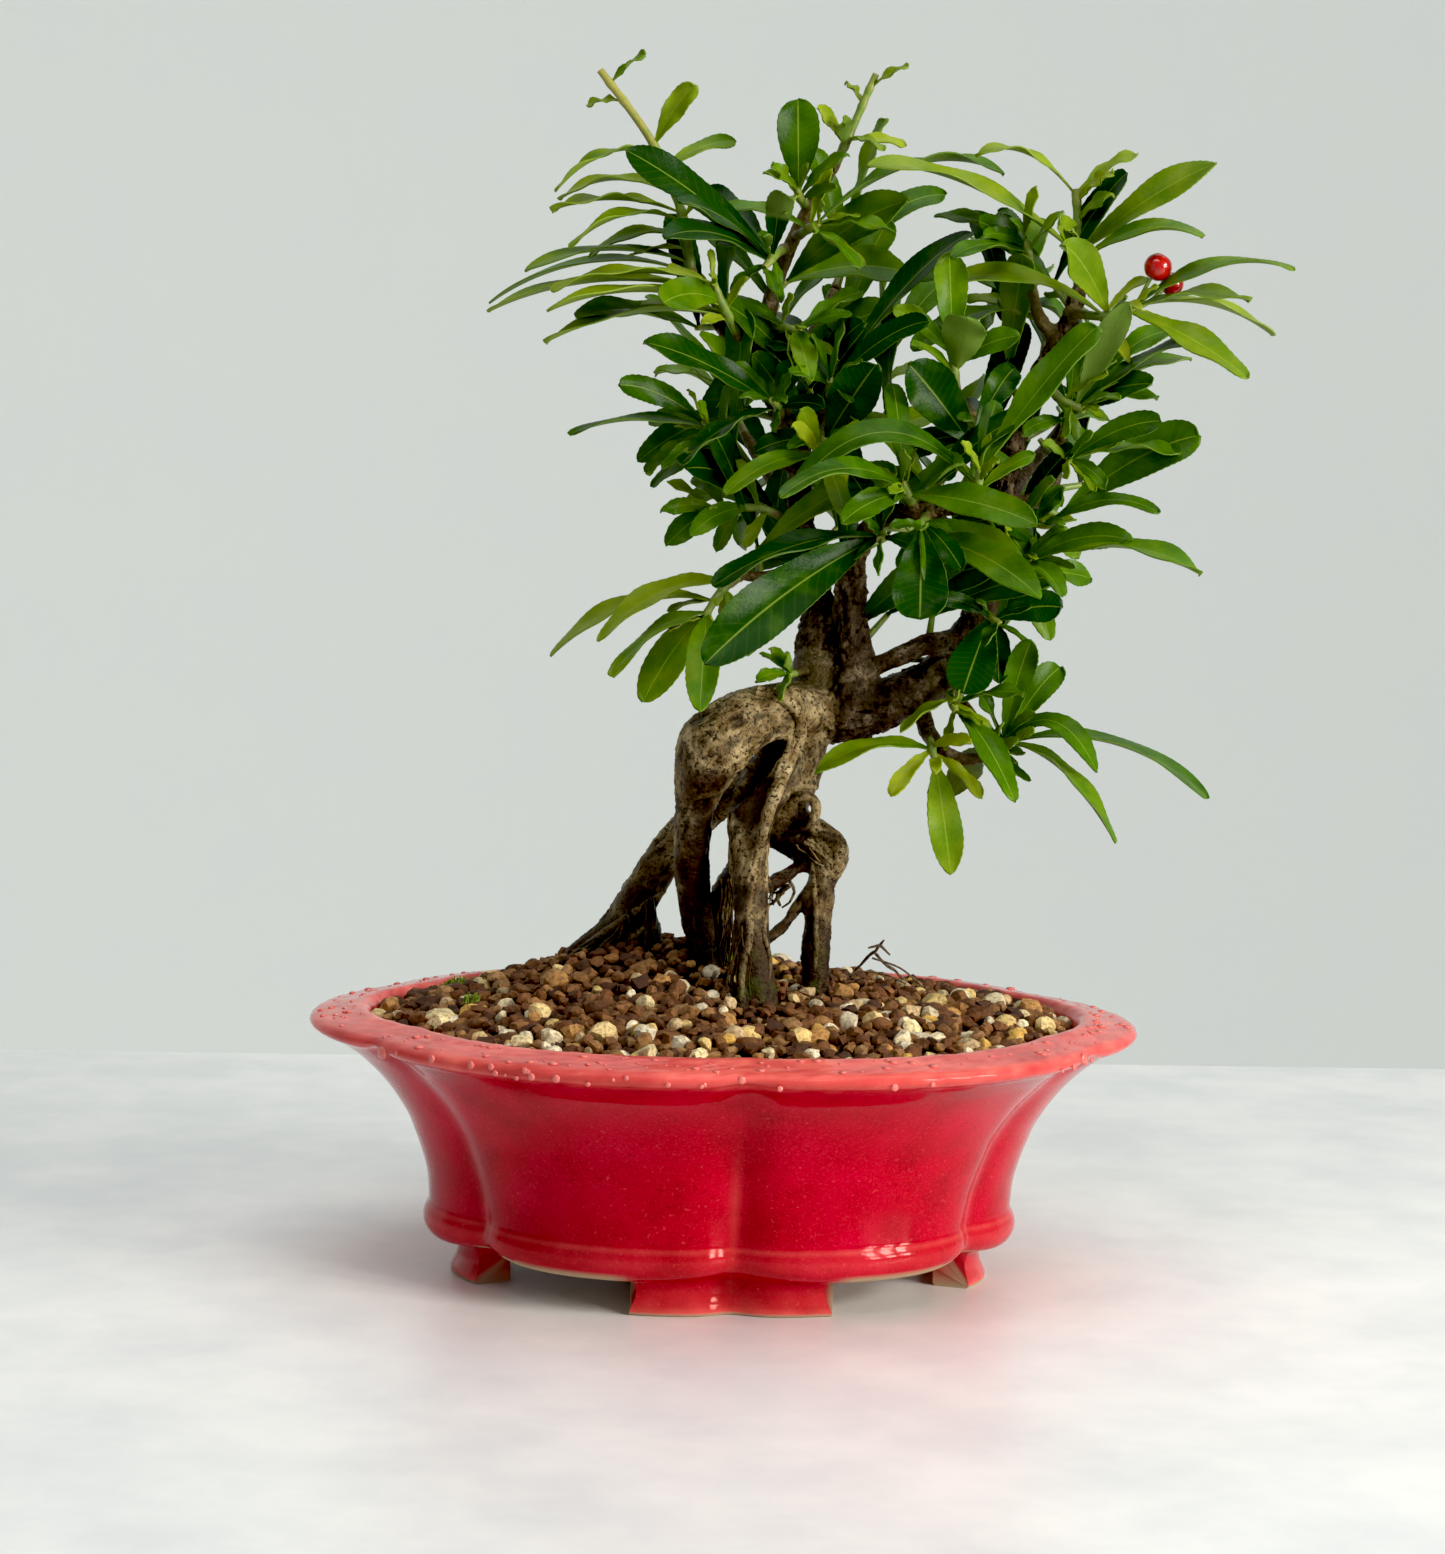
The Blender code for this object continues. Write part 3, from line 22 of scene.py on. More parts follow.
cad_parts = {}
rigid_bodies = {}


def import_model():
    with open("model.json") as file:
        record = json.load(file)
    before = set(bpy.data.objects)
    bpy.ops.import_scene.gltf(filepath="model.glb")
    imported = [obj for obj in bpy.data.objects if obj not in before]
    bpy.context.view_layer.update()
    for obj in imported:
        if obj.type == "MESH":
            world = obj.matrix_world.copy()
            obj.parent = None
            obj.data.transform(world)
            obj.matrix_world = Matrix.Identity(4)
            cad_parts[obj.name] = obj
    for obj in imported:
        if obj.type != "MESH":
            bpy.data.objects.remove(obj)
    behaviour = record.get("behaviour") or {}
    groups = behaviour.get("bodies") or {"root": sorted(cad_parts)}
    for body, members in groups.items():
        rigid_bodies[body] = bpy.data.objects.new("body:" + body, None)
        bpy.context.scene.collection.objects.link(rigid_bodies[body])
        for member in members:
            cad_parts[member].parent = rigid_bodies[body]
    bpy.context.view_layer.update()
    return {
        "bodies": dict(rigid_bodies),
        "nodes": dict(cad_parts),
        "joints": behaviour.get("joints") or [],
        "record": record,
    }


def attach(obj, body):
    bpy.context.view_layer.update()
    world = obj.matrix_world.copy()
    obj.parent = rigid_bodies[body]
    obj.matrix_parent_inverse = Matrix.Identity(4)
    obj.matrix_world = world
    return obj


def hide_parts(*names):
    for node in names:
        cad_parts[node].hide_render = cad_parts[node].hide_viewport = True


LOG = logging.getLogger("firethorn_bonsai")

MM = 0.001
BODY = "root"

# Where the pot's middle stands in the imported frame
POT_MIDDLE = Vector((-13.6, -4.6, 0.0)) * MM

# The rules by which the solids' leaves were set, repeated so that each finer leaf lies in its own solid
SEED = 20
# How many numbers are drawn for the solid soil before the first leaf's
SOIL_DRAWS = 6 * 36
BLADE_ARCH = 0.09
BLADE_WIDTH_SHARE = 0.235
BLADE_WIDTH_LIMITS = (3.2 * MM, 10.5 * MM)
SWING_STEPS = (0.0, 3.0, -3.0, 6.0, -6.0, 9.0, -9.0, 13.0, -13.0, 17.0, -17.0, 22.0, -22.0, 28.0, -28.0)
SIDE_STEPS = (0.0, 3.0, -3.0, 6.0, -6.0)
REACHES = (1.0, 0.82, 0.66)
TIP_MATCH = 0.03 * MM


@dataclass(frozen=True)
class FrontView:
    """The eye in front of the tree, through which every place on the tree is read."""

    distance: float = 700.0 * MM
    focus: float = 3233.0
    middle: tuple[float, float] = (722.5, 777.0)
    aim: tuple[float, float, float] = (-15.5 * MM, -4.6 * MM, 108.7 * MM)
    rise: float = math.radians(5.3)
    turn: float = math.radians(-3.8)
    roll: float = math.radians(1.45)
    frame_height: float = 1554.0
    sensor: float = 36.0

    def axes(self) -> tuple[Vector, Vector, Vector]:
        """Work out the view's directions.

        Returns:
            The unit directions towards the viewer, to the right and up.
        """
        towards = Vector((
            math.sin(self.turn) * math.cos(self.rise),
            -math.cos(self.turn) * math.cos(self.rise),
            math.sin(self.rise),
        ))
        level = (-towards).cross(Vector((0.0, 0.0, 1.0))).normalized()
        upright = level.cross(-towards)
        right = math.cos(self.roll) * level + math.sin(self.roll) * upright
        up = -math.sin(self.roll) * level + math.cos(self.roll) * upright
        return towards, right, up

    def place(self, across: float, down: float, front: float) -> Vector:
        """Find the point seen at a place of the view.

        Args:
            across: How far right the place lies in the view.
            down: How far down it lies.
            front: How far towards the viewer it lies, in millimetres.

        Returns:
            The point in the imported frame.
        """
        reach = (self.distance - front * MM) / self.focus
        return (Vector(self.aim) + TOWARDS * (front * MM)
                + RIGHT * ((across - self.middle[0]) * reach) + UP * ((self.middle[1] - down) * reach))

    def add_camera(self) -> bpy.types.Object:
        """Set up the scene's camera at the view.

        Returns:
            The camera object.
        """
        data = bpy.data.cameras.new("front_view")
        data.sensor_width = self.sensor
        data.lens = self.focus * self.sensor / self.frame_height
        data.clip_start = 0.01
        camera = bpy.data.objects.new("front_view", data)
        bpy.context.scene.collection.objects.link(camera)
        pose = Matrix((RIGHT, UP, TOWARDS)).transposed().to_4x4()
        pose.translation = Vector(self.aim) + TOWARDS * self.distance
        camera.matrix_world = pose
        bpy.context.scene.camera = camera
        return camera


VIEW = FrontView()
TOWARDS, RIGHT, UP = VIEW.axes()


class Leaf(NamedTuple):
    """One leaf: where its blade starts and ends, and how wide it looks from the front, in view units."""

    base: tuple
    tip: tuple
    front: float
    seen: float
    arch: float = BLADE_ARCH


class Spray(NamedTuple):
    """A leafy shoot: the wood it springs from, the run of its green stem and its leaves."""

    name: str
    wood: tuple
    stem: tuple
    diameter: float
    leaves: tuple


class Blade(NamedTuple):
    """A leaf ready to be made: its root and tip, how it bows, its width and how it faces."""

    root: Vector
    tip: Vector
    arch: float
    width: float
    facing: float
    wave: float


class Station(NamedTuple):
    """A stop on a stem's middle line."""

    spot: Vector
    radius: float


class Press(NamedTuple):
    """A hollow pressed into the wood where the view shows it, or a swelling if its depth is below zero."""

    place: tuple
    radius: float
    depth: float
    # how far it darkens the wood round it: partly a wet stain, partly painted shade
    stain_and_shade: float


class HairBundle(NamedTuple):
    """A bundle of thin roots: its two ends, their spread, how far it stands in front, and its count."""

    start: tuple
    end: tuple
    spread: tuple
    front: float
    count: int


class BarkKind(Enum):
    """What covers a run of wood."""

    ROOT = "smooth pale root bark"
    TRUNK = "dark fissured bark"
    TWIG = "thin brown bark"


class Guide(NamedTuple):
    """A stop on the wood's middle lines, by which its bark is laid: its place, run, radius and cover."""

    spot: Vector
    axis: Vector
    radius: float
    length: float
    kind: BarkKind


class Lamp(NamedTuple):
    """A soft rectangular lamp: where it hangs, its width and depth, its watts and its tone."""

    name: str
    spot: tuple
    size: tuple
    watts: float
    tone: str


class Age(Enum):
    """How old a shoot's leaves are, by how fresh their green is, from 0 to 1."""

    # the darkest green, which also stands for painted shade on the shoots that take it
    OLD = 0.02
    GROWN = 0.34
    FRESH = 0.61


# Runs of wood: (across, down, front, diameter in mm) from where each leaves its parent
ARCH_ROOT = (
    (822, 716, 1, 9.0), (800, 708, 6, 11.5), (772, 713, 10, 12.5), (740, 725, 12, 14.5), (715, 748, 13, 16.0),
    (702, 776, 12, 12.0), (694, 810, 9, 8.2), (692, 860, 6, 7.6), (695, 905, 3, 7.2), (702, 945, 1, 6.6),
    (708, 1005, 0, 5.6),
)
FRONT_ROOT = (
    (792, 742, 3, 9.0), (772, 778, 8, 11.0), (752, 812, 12, 10.6), (749, 850, 13, 8.4), (751, 900, 14, 7.4),
    (752, 950, 15, 8.0), (758, 1000, 16, 8.6), (761, 1065, 17, 6.6),
)
SHOULDER_ROOT = (
    (803, 708, 0, 10.0), (805, 742, 1, 10.0), (797, 780, 1, 9.6), (783, 812, 0, 9.0), (780, 838, -1, 7.0),
)
RIGHT_ROOT = (
    (776, 832, 0, 7.0), (798, 846, 1, 7.0), (816, 854, 2, 6.4), (822, 875, 3, 5.6), (819, 910, 3, 6.0),
    (816, 950, 3, 6.2), (815, 990, 3, 6.0), (815, 1055, 3, 5.0),
)
KNOT_ROOT = (
    (786, 806, 2, 5.0), (812, 826, 3, 4.4), (834, 840, 3, 4.2), (840, 854, 3, 4.0), (828, 878, 3, 4.6),
)
LEFT_ROOT = (
    (778, 762, 5, 8.0), (742, 786, -2, 8.0), (702, 815, -6, 8.0), (668, 852, -8, 8.4), (641, 895, -9, 8.8),
    (622, 930, -10, 9.0), (606, 985, -10, 6.0),
)
LEFT_TOE = ((636, 905, -9, 6.4), (650, 935, -7, 5.4), (657, 995, -6, 4.4))
FAR_LEFT_TOE = ((628, 908, -10, 6.0), (603, 934, -10, 5.2), (574, 955, -10, 4.2), (556, 990, -10, 3.2))
BACK_ROOT = (
    (752, 846, 11, 4.0), (738, 866, 2, 4.4), (726, 884, -4, 4.6), (719, 905, -6, 5.0), (716, 945, -6, 5.2),
    (714, 1000, -6, 4.4),
)
FRONT_ROOTLET = (
    (798, 720, 8, 2.6), (786, 752, 12, 2.6), (771, 795, 17, 2.6), (757, 842, 17, 2.6), (748, 900, 17, 2.6),
    (744, 958, 18, 2.8), (741, 1012, 19, 3.0), (740, 1050, 19, 2.6),
)
RING_ROOT = (
    (786, 806, 4, 2.4), (798, 796, 6, 2.2), (813, 799, 6, 2.2), (816, 813, 6, 2.2), (806, 826, 5, 2.2),
    (786, 836, 3, 2.4),
)
UPPER_RUNNER = ((753, 893, 13, 3.4), (780, 879, 5, 3.4), (800, 866, 3, 3.2), (818, 862, 3, 3.4))
LOWER_RUNNER = ((753, 951, 14, 2.8), (783, 926, 5, 2.6), (800, 902, 3, 2.6), (818, 880, 3, 3.2))
TRUNK_LEFT = (
    (806, 730, 0, 11.0), (816, 700, 0, 13.0), (818, 665, -1, 11.5), (818, 630, -2, 8.6), (818, 595, -4, 6.4),
    (811, 558, -5, 6.0), (803, 528, -6, 5.8), (800, 488, -6, 5.6), (798, 446, -6, 5.4), (784, 420, -5, 5.2),
    (772, 396, -4, 5.0), (757, 370, -4, 4.8), (742, 345, -3, 4.6), (724, 326, -3, 4.2), (708, 312, -2, 3.6),
)
TRUNK_RIGHT = (
    (838, 722, 0, 12.0), (850, 690, 1, 13.0), (852, 655, 2, 10.0), (850, 618, 3, 7.2), (851, 582, 5, 6.4),
    (857, 552, 9, 5.0), (872, 527, 14, 4.4), (892, 514, 18, 4.2), (918, 511, 21, 4.2), (955, 507, 23, 3.8),
    (996, 499, 25, 3.4),
)
RIGHT_LIMB = (
    (828, 716, 0, 12.0), (862, 712, 0, 12.0), (900, 697, 0, 10.6), (936, 677, -1, 9.8), (963, 645, -2, 8.6),
    (982, 603, -3, 7.6), (989, 562, -4, 7.0), (996, 520, -5, 6.6), (1005, 480, -5, 6.2), (1012, 445, -5, 6.0),
    (1023, 410, -5, 5.6), (1040, 375, -5, 5.0), (1058, 342, -4, 4.6), (1073, 312, -4, 4.2),
    (1078, 290, -4, 3.8),
)
BRACE_LIMB = ((862, 672, 4, 4.4), (895, 658, 5, 4.2), (928, 644, 3, 4.6), (958, 640, -1, 5.0))
SIDE_LIMB = (
    (1002, 508, -5, 4.6), (1030, 502, -4, 4.0), (1050, 490, -4, 3.6), (1057, 462, -4, 3.2),
    (1062, 440, -4, 2.8),
)
MIDDLE_STEM = (
    (757, 370, -4, 4.4), (764, 335, -7, 4.0), (772, 296, -8, 3.8), (789, 248, -8, 3.4), (811, 206, -8, 3.2),
    (831, 170, -8, 2.8),
)
CENTRE_STEM = ((799, 450, -6, 4.6), (815, 428, -1, 3.8), (827, 404, 4, 3.2))
CROWN_STEM = ((1023, 410, -5, 4.6), (1000, 424, 2, 3.8), (975, 420, 7, 3.2), (958, 398, 9, 2.8))
TOP_STEM = ((1058, 342, -4, 3.8), (1040, 318, -3, 3.0), (1032, 290, -2, 2.6), (1030, 268, -2, 2.4))
LEFT_TWIG = ((800, 470, -6, 3.6), (774, 462, -1, 2.8), (750, 466, 2, 2.6), (736, 462, 3, 2.4))
LOW_LEFT_TWIG = ((812, 560, -5, 3.8), (786, 572, -1, 3.0), (760, 577, 3, 2.6), (742, 575, 5, 2.4))
HANGING_TWIG = (
    (902, 696, 1, 5.0), (921, 712, 5, 4.2), (929, 734, 8, 3.8), (944, 752, 9, 3.4), (962, 759, 9, 3.0),
    (980, 758, 9, 2.6),
)
LOW_RIGHT_TWIG = ((938, 676, -1, 4.6), (958, 700, -2, 3.4), (974, 718, 1, 2.8), (990, 734, 4, 2.6))
BACK_LEFT_STEM = ((810, 556, -6, 4.6), (797, 520, -18, 3.8), (772, 480, -29, 3.2), (748, 440, -37, 2.8))
BACK_MIDDLE_STEM = ((984, 600, -4, 4.8), (960, 552, -17, 4.0), (928, 500, -29, 3.4), (905, 445, -38, 3.0),
                    (890, 400, -42, 2.6))
BACK_RIGHT_STEM = ((996, 520, -6, 4.4), (1020, 480, -17, 3.6), (1048, 445, -27, 3.0), (1070, 415, -33, 2.6))
BACK_TOP_STEM = ((772, 396, -5, 4.0), (790, 365, -15, 3.4), (815, 330, -24, 3.0), (835, 290, -30, 2.6))


SPRAYS = (
    Spray("left_leader", (708, 312, -2),
          ((704, 306, -2), (692, 275, -1), (681, 210, 0), (652, 142, 2), (600, 70, 4)), 2.5, (
        Leaf((612, 84), (645, 54), 8, 8), Leaf((618, 106), (587, 105), 0, 7),
        Leaf((656, 146), (696, 85), 8, 25),
        Leaf((646, 160), (555, 191), 12, 9, 0.16), Leaf((668, 168), (736, 142), -8, 18),
        Leaf((678, 194), (559, 199), -10, 12, 0.14), Leaf((681, 212), (551, 210), 8, 9),
        Leaf((684, 222), (570, 247), 18, 13, 0.14), Leaf((686, 238), (589, 257), -8, 14, 0.14),
        Leaf((690, 262), (525, 270), 3, 14, 0.1), Leaf((694, 272), (489, 303), -14, 13, 0.12),
    )),
    Spray("left_upper", (742, 345, -3), ((736, 332, 2), (726, 312, 7), (713, 282, 10)), 2.2, (
        Leaf((714, 276), (552, 291), 16, 12), Leaf((716, 290), (488, 311), 5, 11),
        Leaf((722, 306), (547, 311), 26, 13),
        Leaf((728, 318), (615, 314), -2, 13), Leaf((722, 300), (663, 303), 24, 38),
        Leaf((730, 322), (545, 342), 14, 11),
    )),
    Spray("left_fork", (784, 420, -5), ((780, 414, 1), (778, 408, 6), (772, 400, 11)), 2.2, (
        Leaf((775, 404), (644, 342), 24, 30, 0.05), Leaf((779, 408), (824, 407), 14, 20),
        Leaf((778, 410), (681, 464), 18, 17), Leaf((776, 402), (794, 361), 8, 25),
    )),
    Spray("left_low", (738, 462, 3), ((732, 455, 4), (720, 440, 6), (702, 420, 8)), 2.0, (
        Leaf((706, 424), (619, 385), 18, 27), Leaf((706, 430), (569, 434), 10, 11),
        Leaf((716, 434), (650, 421), -7, 18),
        Leaf((712, 438), (646, 473), 1, 17), Leaf((720, 444), (662, 468), 15, 17),
        Leaf((722, 448), (651, 487), -8, 18),
    )),
    Spray("left_waist", (803, 528, -6), ((784, 520, -1), (760, 508, 3), (712, 510, 5)), 2.0, (
        Leaf((716, 510), (662, 512), 12, 17), Leaf((714, 512), (667, 546), 7, 26),
        Leaf((748, 508), (690, 536), 16, 24),
        Leaf((740, 508), (716, 552), -4, 18), Leaf((724, 508), (692, 478), -6, 16),
    )),
    Spray("front_arc", (799, 452, -4), ((806, 455, 3), (818, 456, 10), (838, 452, 18)), 2.2, (
        Leaf((812, 458), (726, 494), 28, 24), Leaf((832, 452), (846, 520), 26, 24),
        Leaf((828, 450), (800, 410), 17, 22),
    )),
    Spray("front_broad", (872, 527, 14), ((878, 531, 18), (882, 536, 22), (880, 540, 27)), 2.4, (
        Leaf((880, 540), (705, 664), 42, 58, 0.05), Leaf((879, 536), (714, 586), 31, 22),
        Leaf((881, 533), (850, 474), 30, 26),
    )),
    Spray("left_skirt", (744, 575, 5), ((738, 578, 6), (722, 590, 8), (704, 618, 9)), 2.2, (
        Leaf((732, 580), (598, 641), 18, 22, 0.14), Leaf((712, 600), (550, 656), 0, 16, 0.14),
        Leaf((706, 612), (611, 676), 22, 16, 0.12), Leaf((704, 614), (643, 702), 11, 40),
        Leaf((707, 614), (700, 711), 26, 36),
        Leaf((724, 588), (748, 655), 2, 26),
    )),
    Spray("trunk_bud", (818, 668, 0), ((796, 673, 7), (788, 675, 9)), 1.8, (
        Leaf((790, 675), (757, 681), 13, 14), Leaf((790, 674), (770, 650), 14, 15),
    )),
    Spray("middle_leader", (831, 170, -8), ((836, 163, -8), (848, 138, -7), (876, 74, -5)), 2.3, (
        Leaf((870, 90), (908, 66), -2, 8), Leaf((862, 106), (846, 84), -9, 8),
        Leaf((846, 146), (843, 120), 3, 18),
        Leaf((850, 138), (884, 150), -1, 9),
    )),
    Spray("middle_crown", (811, 206, -8), ((804, 203, -3), (800, 198, 1), (797, 188, 3)), 2.2, (
        Leaf((797, 190), (798, 99), 4, 44, 0.03), Leaf((800, 198), (848, 156), 13, 14),
        Leaf((799, 197), (772, 166), 10, 14),
    )),
    Spray("middle_left", (789, 248, -8), ((782, 250, -2), (774, 256, 3), (764, 268, 6)), 2.2, (
        Leaf((768, 262), (626, 151), 14, 40, 0.04), Leaf((770, 258), (782, 192), 17, 28),
        Leaf((768, 264), (678, 202), 24, 22),
        Leaf((766, 266), (665, 237), 32, 30), Leaf((772, 258), (700, 190), -14, 24),
    )),
    Spray("middle_right", (795, 236, -8), ((802, 233, -3), (810, 228, 0), (819, 223, 2)), 2.2, (
        Leaf((818, 223), (1004, 173), -8, 13, 0.16), Leaf((812, 228), (894, 232), 6, 12),
        Leaf((808, 229), (859, 268), 9, 12),
        Leaf((806, 230), (722, 226), -20, 16),
    )),
    Spray("middle_low", (766, 328, -7), ((774, 326, -2), (786, 328, 2), (803, 332, 4)), 2.0, (
        Leaf((802, 331), (862, 292), 0, 15), Leaf((803, 333), (851, 316), 10, 14),
        Leaf((784, 328), (709, 305), -14, 18),
        Leaf((796, 330), (810, 384), 14, 24),
    )),
    Spray("centre", (827, 404, 4), ((830, 396, 6), (831, 388, 8), (830, 380, 10)), 2.4, (
        Leaf((829, 386), (730, 303), 20, 26, 0.16), Leaf((828, 386), (761, 298), -2, 22),
        Leaf((832, 388), (972, 232), 2, 26),
        Leaf((832, 386), (929, 322), 24, 28), Leaf((831, 382), (838, 322), -8, 26),
    )),
    Spray("centre_dark", (815, 428, -1), ((820, 434, 5), (824, 440, 8), (828, 446, 10)), 2.4, (
        Leaf((828, 444), (876, 366), 14, 50, 0.03), Leaf((826, 442), (770, 476), 12, 26),
        Leaf((824, 440), (808, 494), 4, 24),
    )),
    Spray("stub_front", (978, 503, 24), ((978, 497, 27), (978, 488, 29), (980, 470, 30)), 2.2, (
        Leaf((978, 490), (796, 488), 34, 30, 0.3), Leaf((980, 474), (1098, 327), 33, 34, 0.05),
        Leaf((979, 480), (996, 402), 22, 22),
    )),
    Spray("stub_middle", (916, 511, 21), ((912, 503, 24), (908, 494, 26), (902, 482, 27)), 2.2, (
        Leaf((904, 488), (780, 504), 40, 24, 0.12), Leaf((904, 484), (892, 384), 18, 26),
        Leaf((908, 496), (842, 523), 37, 28),
        Leaf((910, 494), (1050, 509), 12, 36, 0.05),
    )),
    Spray("stub_hanging", (930, 510, 22), ((926, 517, 26), (923, 523, 29), (921, 530, 30)), 2.2, (
        Leaf((921, 528), (920, 619), 36, 56, 0.02), Leaf((923, 524), (962, 570), 30, 22),
    )),
    Spray("heart", (975, 420, 7), ((974, 428, 11), (973, 438, 14), (972, 452, 15)), 2.4, (
        Leaf((972, 448), (908, 366), 20, 52, 0.03), Leaf((973, 440), (1012, 372), 4, 30),
        Leaf((973, 436), (900, 455), 10, 28),
    )),
    Spray("crown", (958, 398, 9), ((956, 390, 10), (954, 372, 12), (952, 345, 13)), 2.4, (
        Leaf((952, 350), (949, 252), 12, 36, 0.03), Leaf((955, 374), (967, 318), 26, 46, 0.02),
        Leaf((953, 356), (893, 312), 8, 24),
        Leaf((954, 366), (1020, 336), 18, 24),
    )),
    Spray("top_inner", (1030, 268, -2), ((1029, 260, -2), (1028, 252, -1), (1024, 240, 0)), 2.0, (
        Leaf((1027, 248), (934, 216), -8, 16), Leaf((1027, 244), (982, 236), 8, 16),
        Leaf((1026, 246), (999, 212), -14, 18),
        Leaf((1028, 252), (950, 262), 12, 18),
    )),
    Spray("right_leader", (1078, 290, -4), ((1079, 284, -4), (1079, 245, -3), (1076, 189, -2)), 2.6, (
        Leaf((1077, 196), (976, 156), 3, 9, 0.2), Leaf((1077, 194), (1137, 154), -3, 12),
        Leaf((1077, 202), (1113, 173), 7, 11),
        Leaf((1078, 222), (1112, 196), 8, 13), Leaf((1079, 252), (1216, 163), 5, 32, 0.05),
        Leaf((1079, 262), (1203, 237), 16, 20, 0.14),
        Leaf((1079, 256), (868, 165), 10, 22, 0.1), Leaf((1079, 268), (1059, 226), 14, 30),
    )),
    Spray("right_tip", (1073, 312, -4), ((1082, 314, 0), (1104, 316, 3), (1134, 308, 5)), 2.2, (
        Leaf((1132, 308), (1292, 272), 12, 15, 0.14), Leaf((1134, 310), (1246, 304), 1, 13),
        Leaf((1122, 312), (1273, 335), -9, 12, 0.12),
        Leaf((1128, 312), (1248, 378), 16, 30, 0.05), Leaf((1104, 314), (939, 285), 10, 24, 0.14),
        Leaf((1108, 314), (1064, 246), 19, 40),
    )),
    Spray("right_shoulder", (1040, 375, -5), ((1049, 386, -2), (1062, 400, 2), (1084, 410, 5)), 2.2, (
        Leaf((1083, 409), (1205, 335), 12, 15), Leaf((1084, 411), (1191, 360), -2, 13),
        Leaf((1080, 408), (1130, 302), 17, 30, 0.04),
        Leaf((1084, 410), (1120, 398), 16, 9), Leaf((1084, 411), (1158, 397), 6, 10),
        Leaf((1072, 405), (1078, 340), -10, 22),
    )),
    Spray("side_right", (1058, 458, -4), ((1063, 459, -1), (1070, 460, 2)), 2.0, (
        Leaf((1068, 459), (1161, 421), 9, 27), Leaf((1069, 461), (1180, 454), 0, 11),
        Leaf((1068, 461), (1106, 488), 10, 17),
    )),
    Spray("side_tip", (1062, 440, -4), ((1063, 433, -4), (1066, 422, -5), (1070, 408, -7)), 1.9, (
        Leaf((1068, 412), (1110, 372), -12, 20), Leaf((1068, 414), (1036, 366), -14, 22),
        Leaf((1066, 420), (1022, 434), 2, 16),
    )),
    Spray("right_upper_arm", (1000, 505, -5), ((1012, 514, 0), (1028, 522, 3), (1050, 526, 5)), 2.1, (
        Leaf((1048, 526), (1159, 513), 12, 18, 0.16), Leaf((1036, 523), (1064, 488), 10, 18),
        Leaf((1046, 526), (1078, 558), -6, 22),
    )),
    Spray("right_arm", (989, 562, -4), ((1000, 568, 2), (1014, 568, 6), (1034, 560, 9)), 2.2, (
        Leaf((1030, 562), (1131, 541), 18, 28, 0.12), Leaf((1034, 560), (1201, 574), 28, 20, 0.12),
        Leaf((1018, 567), (996, 574), 27, 24),
        Leaf((1022, 566), (1062, 596), 33, 26), Leaf((1016, 568), (1050, 640), 4, 26),
    )),
    Spray("right_low_arm", (982, 603, -3), ((984, 610, 4), (990, 617, 8), (1000, 624, 10)), 2.1, (
        Leaf((990, 618), (963, 693), 22, 48, 0.02), Leaf((997, 623), (999, 683), 13, 28),
        Leaf((998, 623), (1062, 608), 10, 34),
        Leaf((992, 618), (934, 600), 16, 18),
    )),
    Spray("low_right", (990, 734, 4), ((993, 737, 5), (1000, 741, 7), (1012, 744, 9)), 2.1, (
        Leaf((1004, 742), (1030, 641), 13, 30), Leaf((1008, 743), (1061, 667), 3, 30),
        Leaf((1010, 744), (1097, 772), 20, 22, 0.34),
        Leaf((1012, 744), (1208, 798), 8, 14, 0.14), Leaf((1010, 745), (1116, 843), 26, 15, 0.14),
        Leaf((1002, 741), (970, 690), -4, 12),
    )),
    Spray("limb_under", (945, 672, -1), ((950, 692, 7), (952, 702, 10), (956, 712, 12)), 2.1, (
        Leaf((955, 710), (1015, 802), 24, 28, 0.1), Leaf((954, 706), (1024, 694), 16, 10),
    )),
    Spray("hanging_left", (929, 734, 8), ((930, 741, 11), (932, 749, 13), (936, 762, 14)), 2.0, (
        Leaf((932, 750), (815, 773), 15, 17, 0.14), Leaf((936, 760), (951, 874), 22, 35, 0.03),
    )),
    Spray("hanging_right", (980, 758, 9), ((983, 758, 9), (988, 757, 9), (994, 758, 10)), 1.9, (
        Leaf((990, 758), (958, 796), 4, 32), Leaf((993, 758), (1022, 776), 4, 12),
    )),
)

# Shoots on the far side of the tree, whose leaves stand round them at the angle of growth
BACK_SPRAYS = (
    ("back_left", (748, 440, -37), ((745, 434, -38), (738, 420, -41), (728, 396, -44)), 6),
    ("back_left_low", (797, 520, -18), ((790, 518, -25), (780, 512, -31), (766, 504, -38)), 5),
    ("back_middle", (890, 400, -42), ((888, 394, -43), (884, 378, -45), (880, 350, -48)), 6),
    ("back_middle_low", (928, 500, -29), ((930, 498, -36), (934, 494, -41), (940, 486, -48)), 5),
    ("back_right", (1070, 415, -33), ((1073, 411, -34), (1082, 400, -37), (1096, 384, -40)), 6),
    ("back_right_low", (984, 600, -4), ((992, 596, -13), (1000, 588, -20), (1010, 574, -28)), 5),
    ("back_top", (835, 290, -30), ((837, 284, -31), (842, 268, -33), (848, 240, -36)), 6),
    ("back_crown", (1040, 318, -3), ((1034, 314, -11), (1026, 308, -18), (1012, 296, -26)), 5),
)
BACK_LEAF_LENGTHS = (25.0 * MM, 38.0 * MM)

BERRIES = (("berry_front", (1158, 267, 6), 3.0), ("berry_back", (1172, 284, 2), 2.5))
BERRY_STALK_SPRAY = "right_tip"
# Where the berries' stalks leave their shoot
BERRY_NODE = (1128, 311, 5)

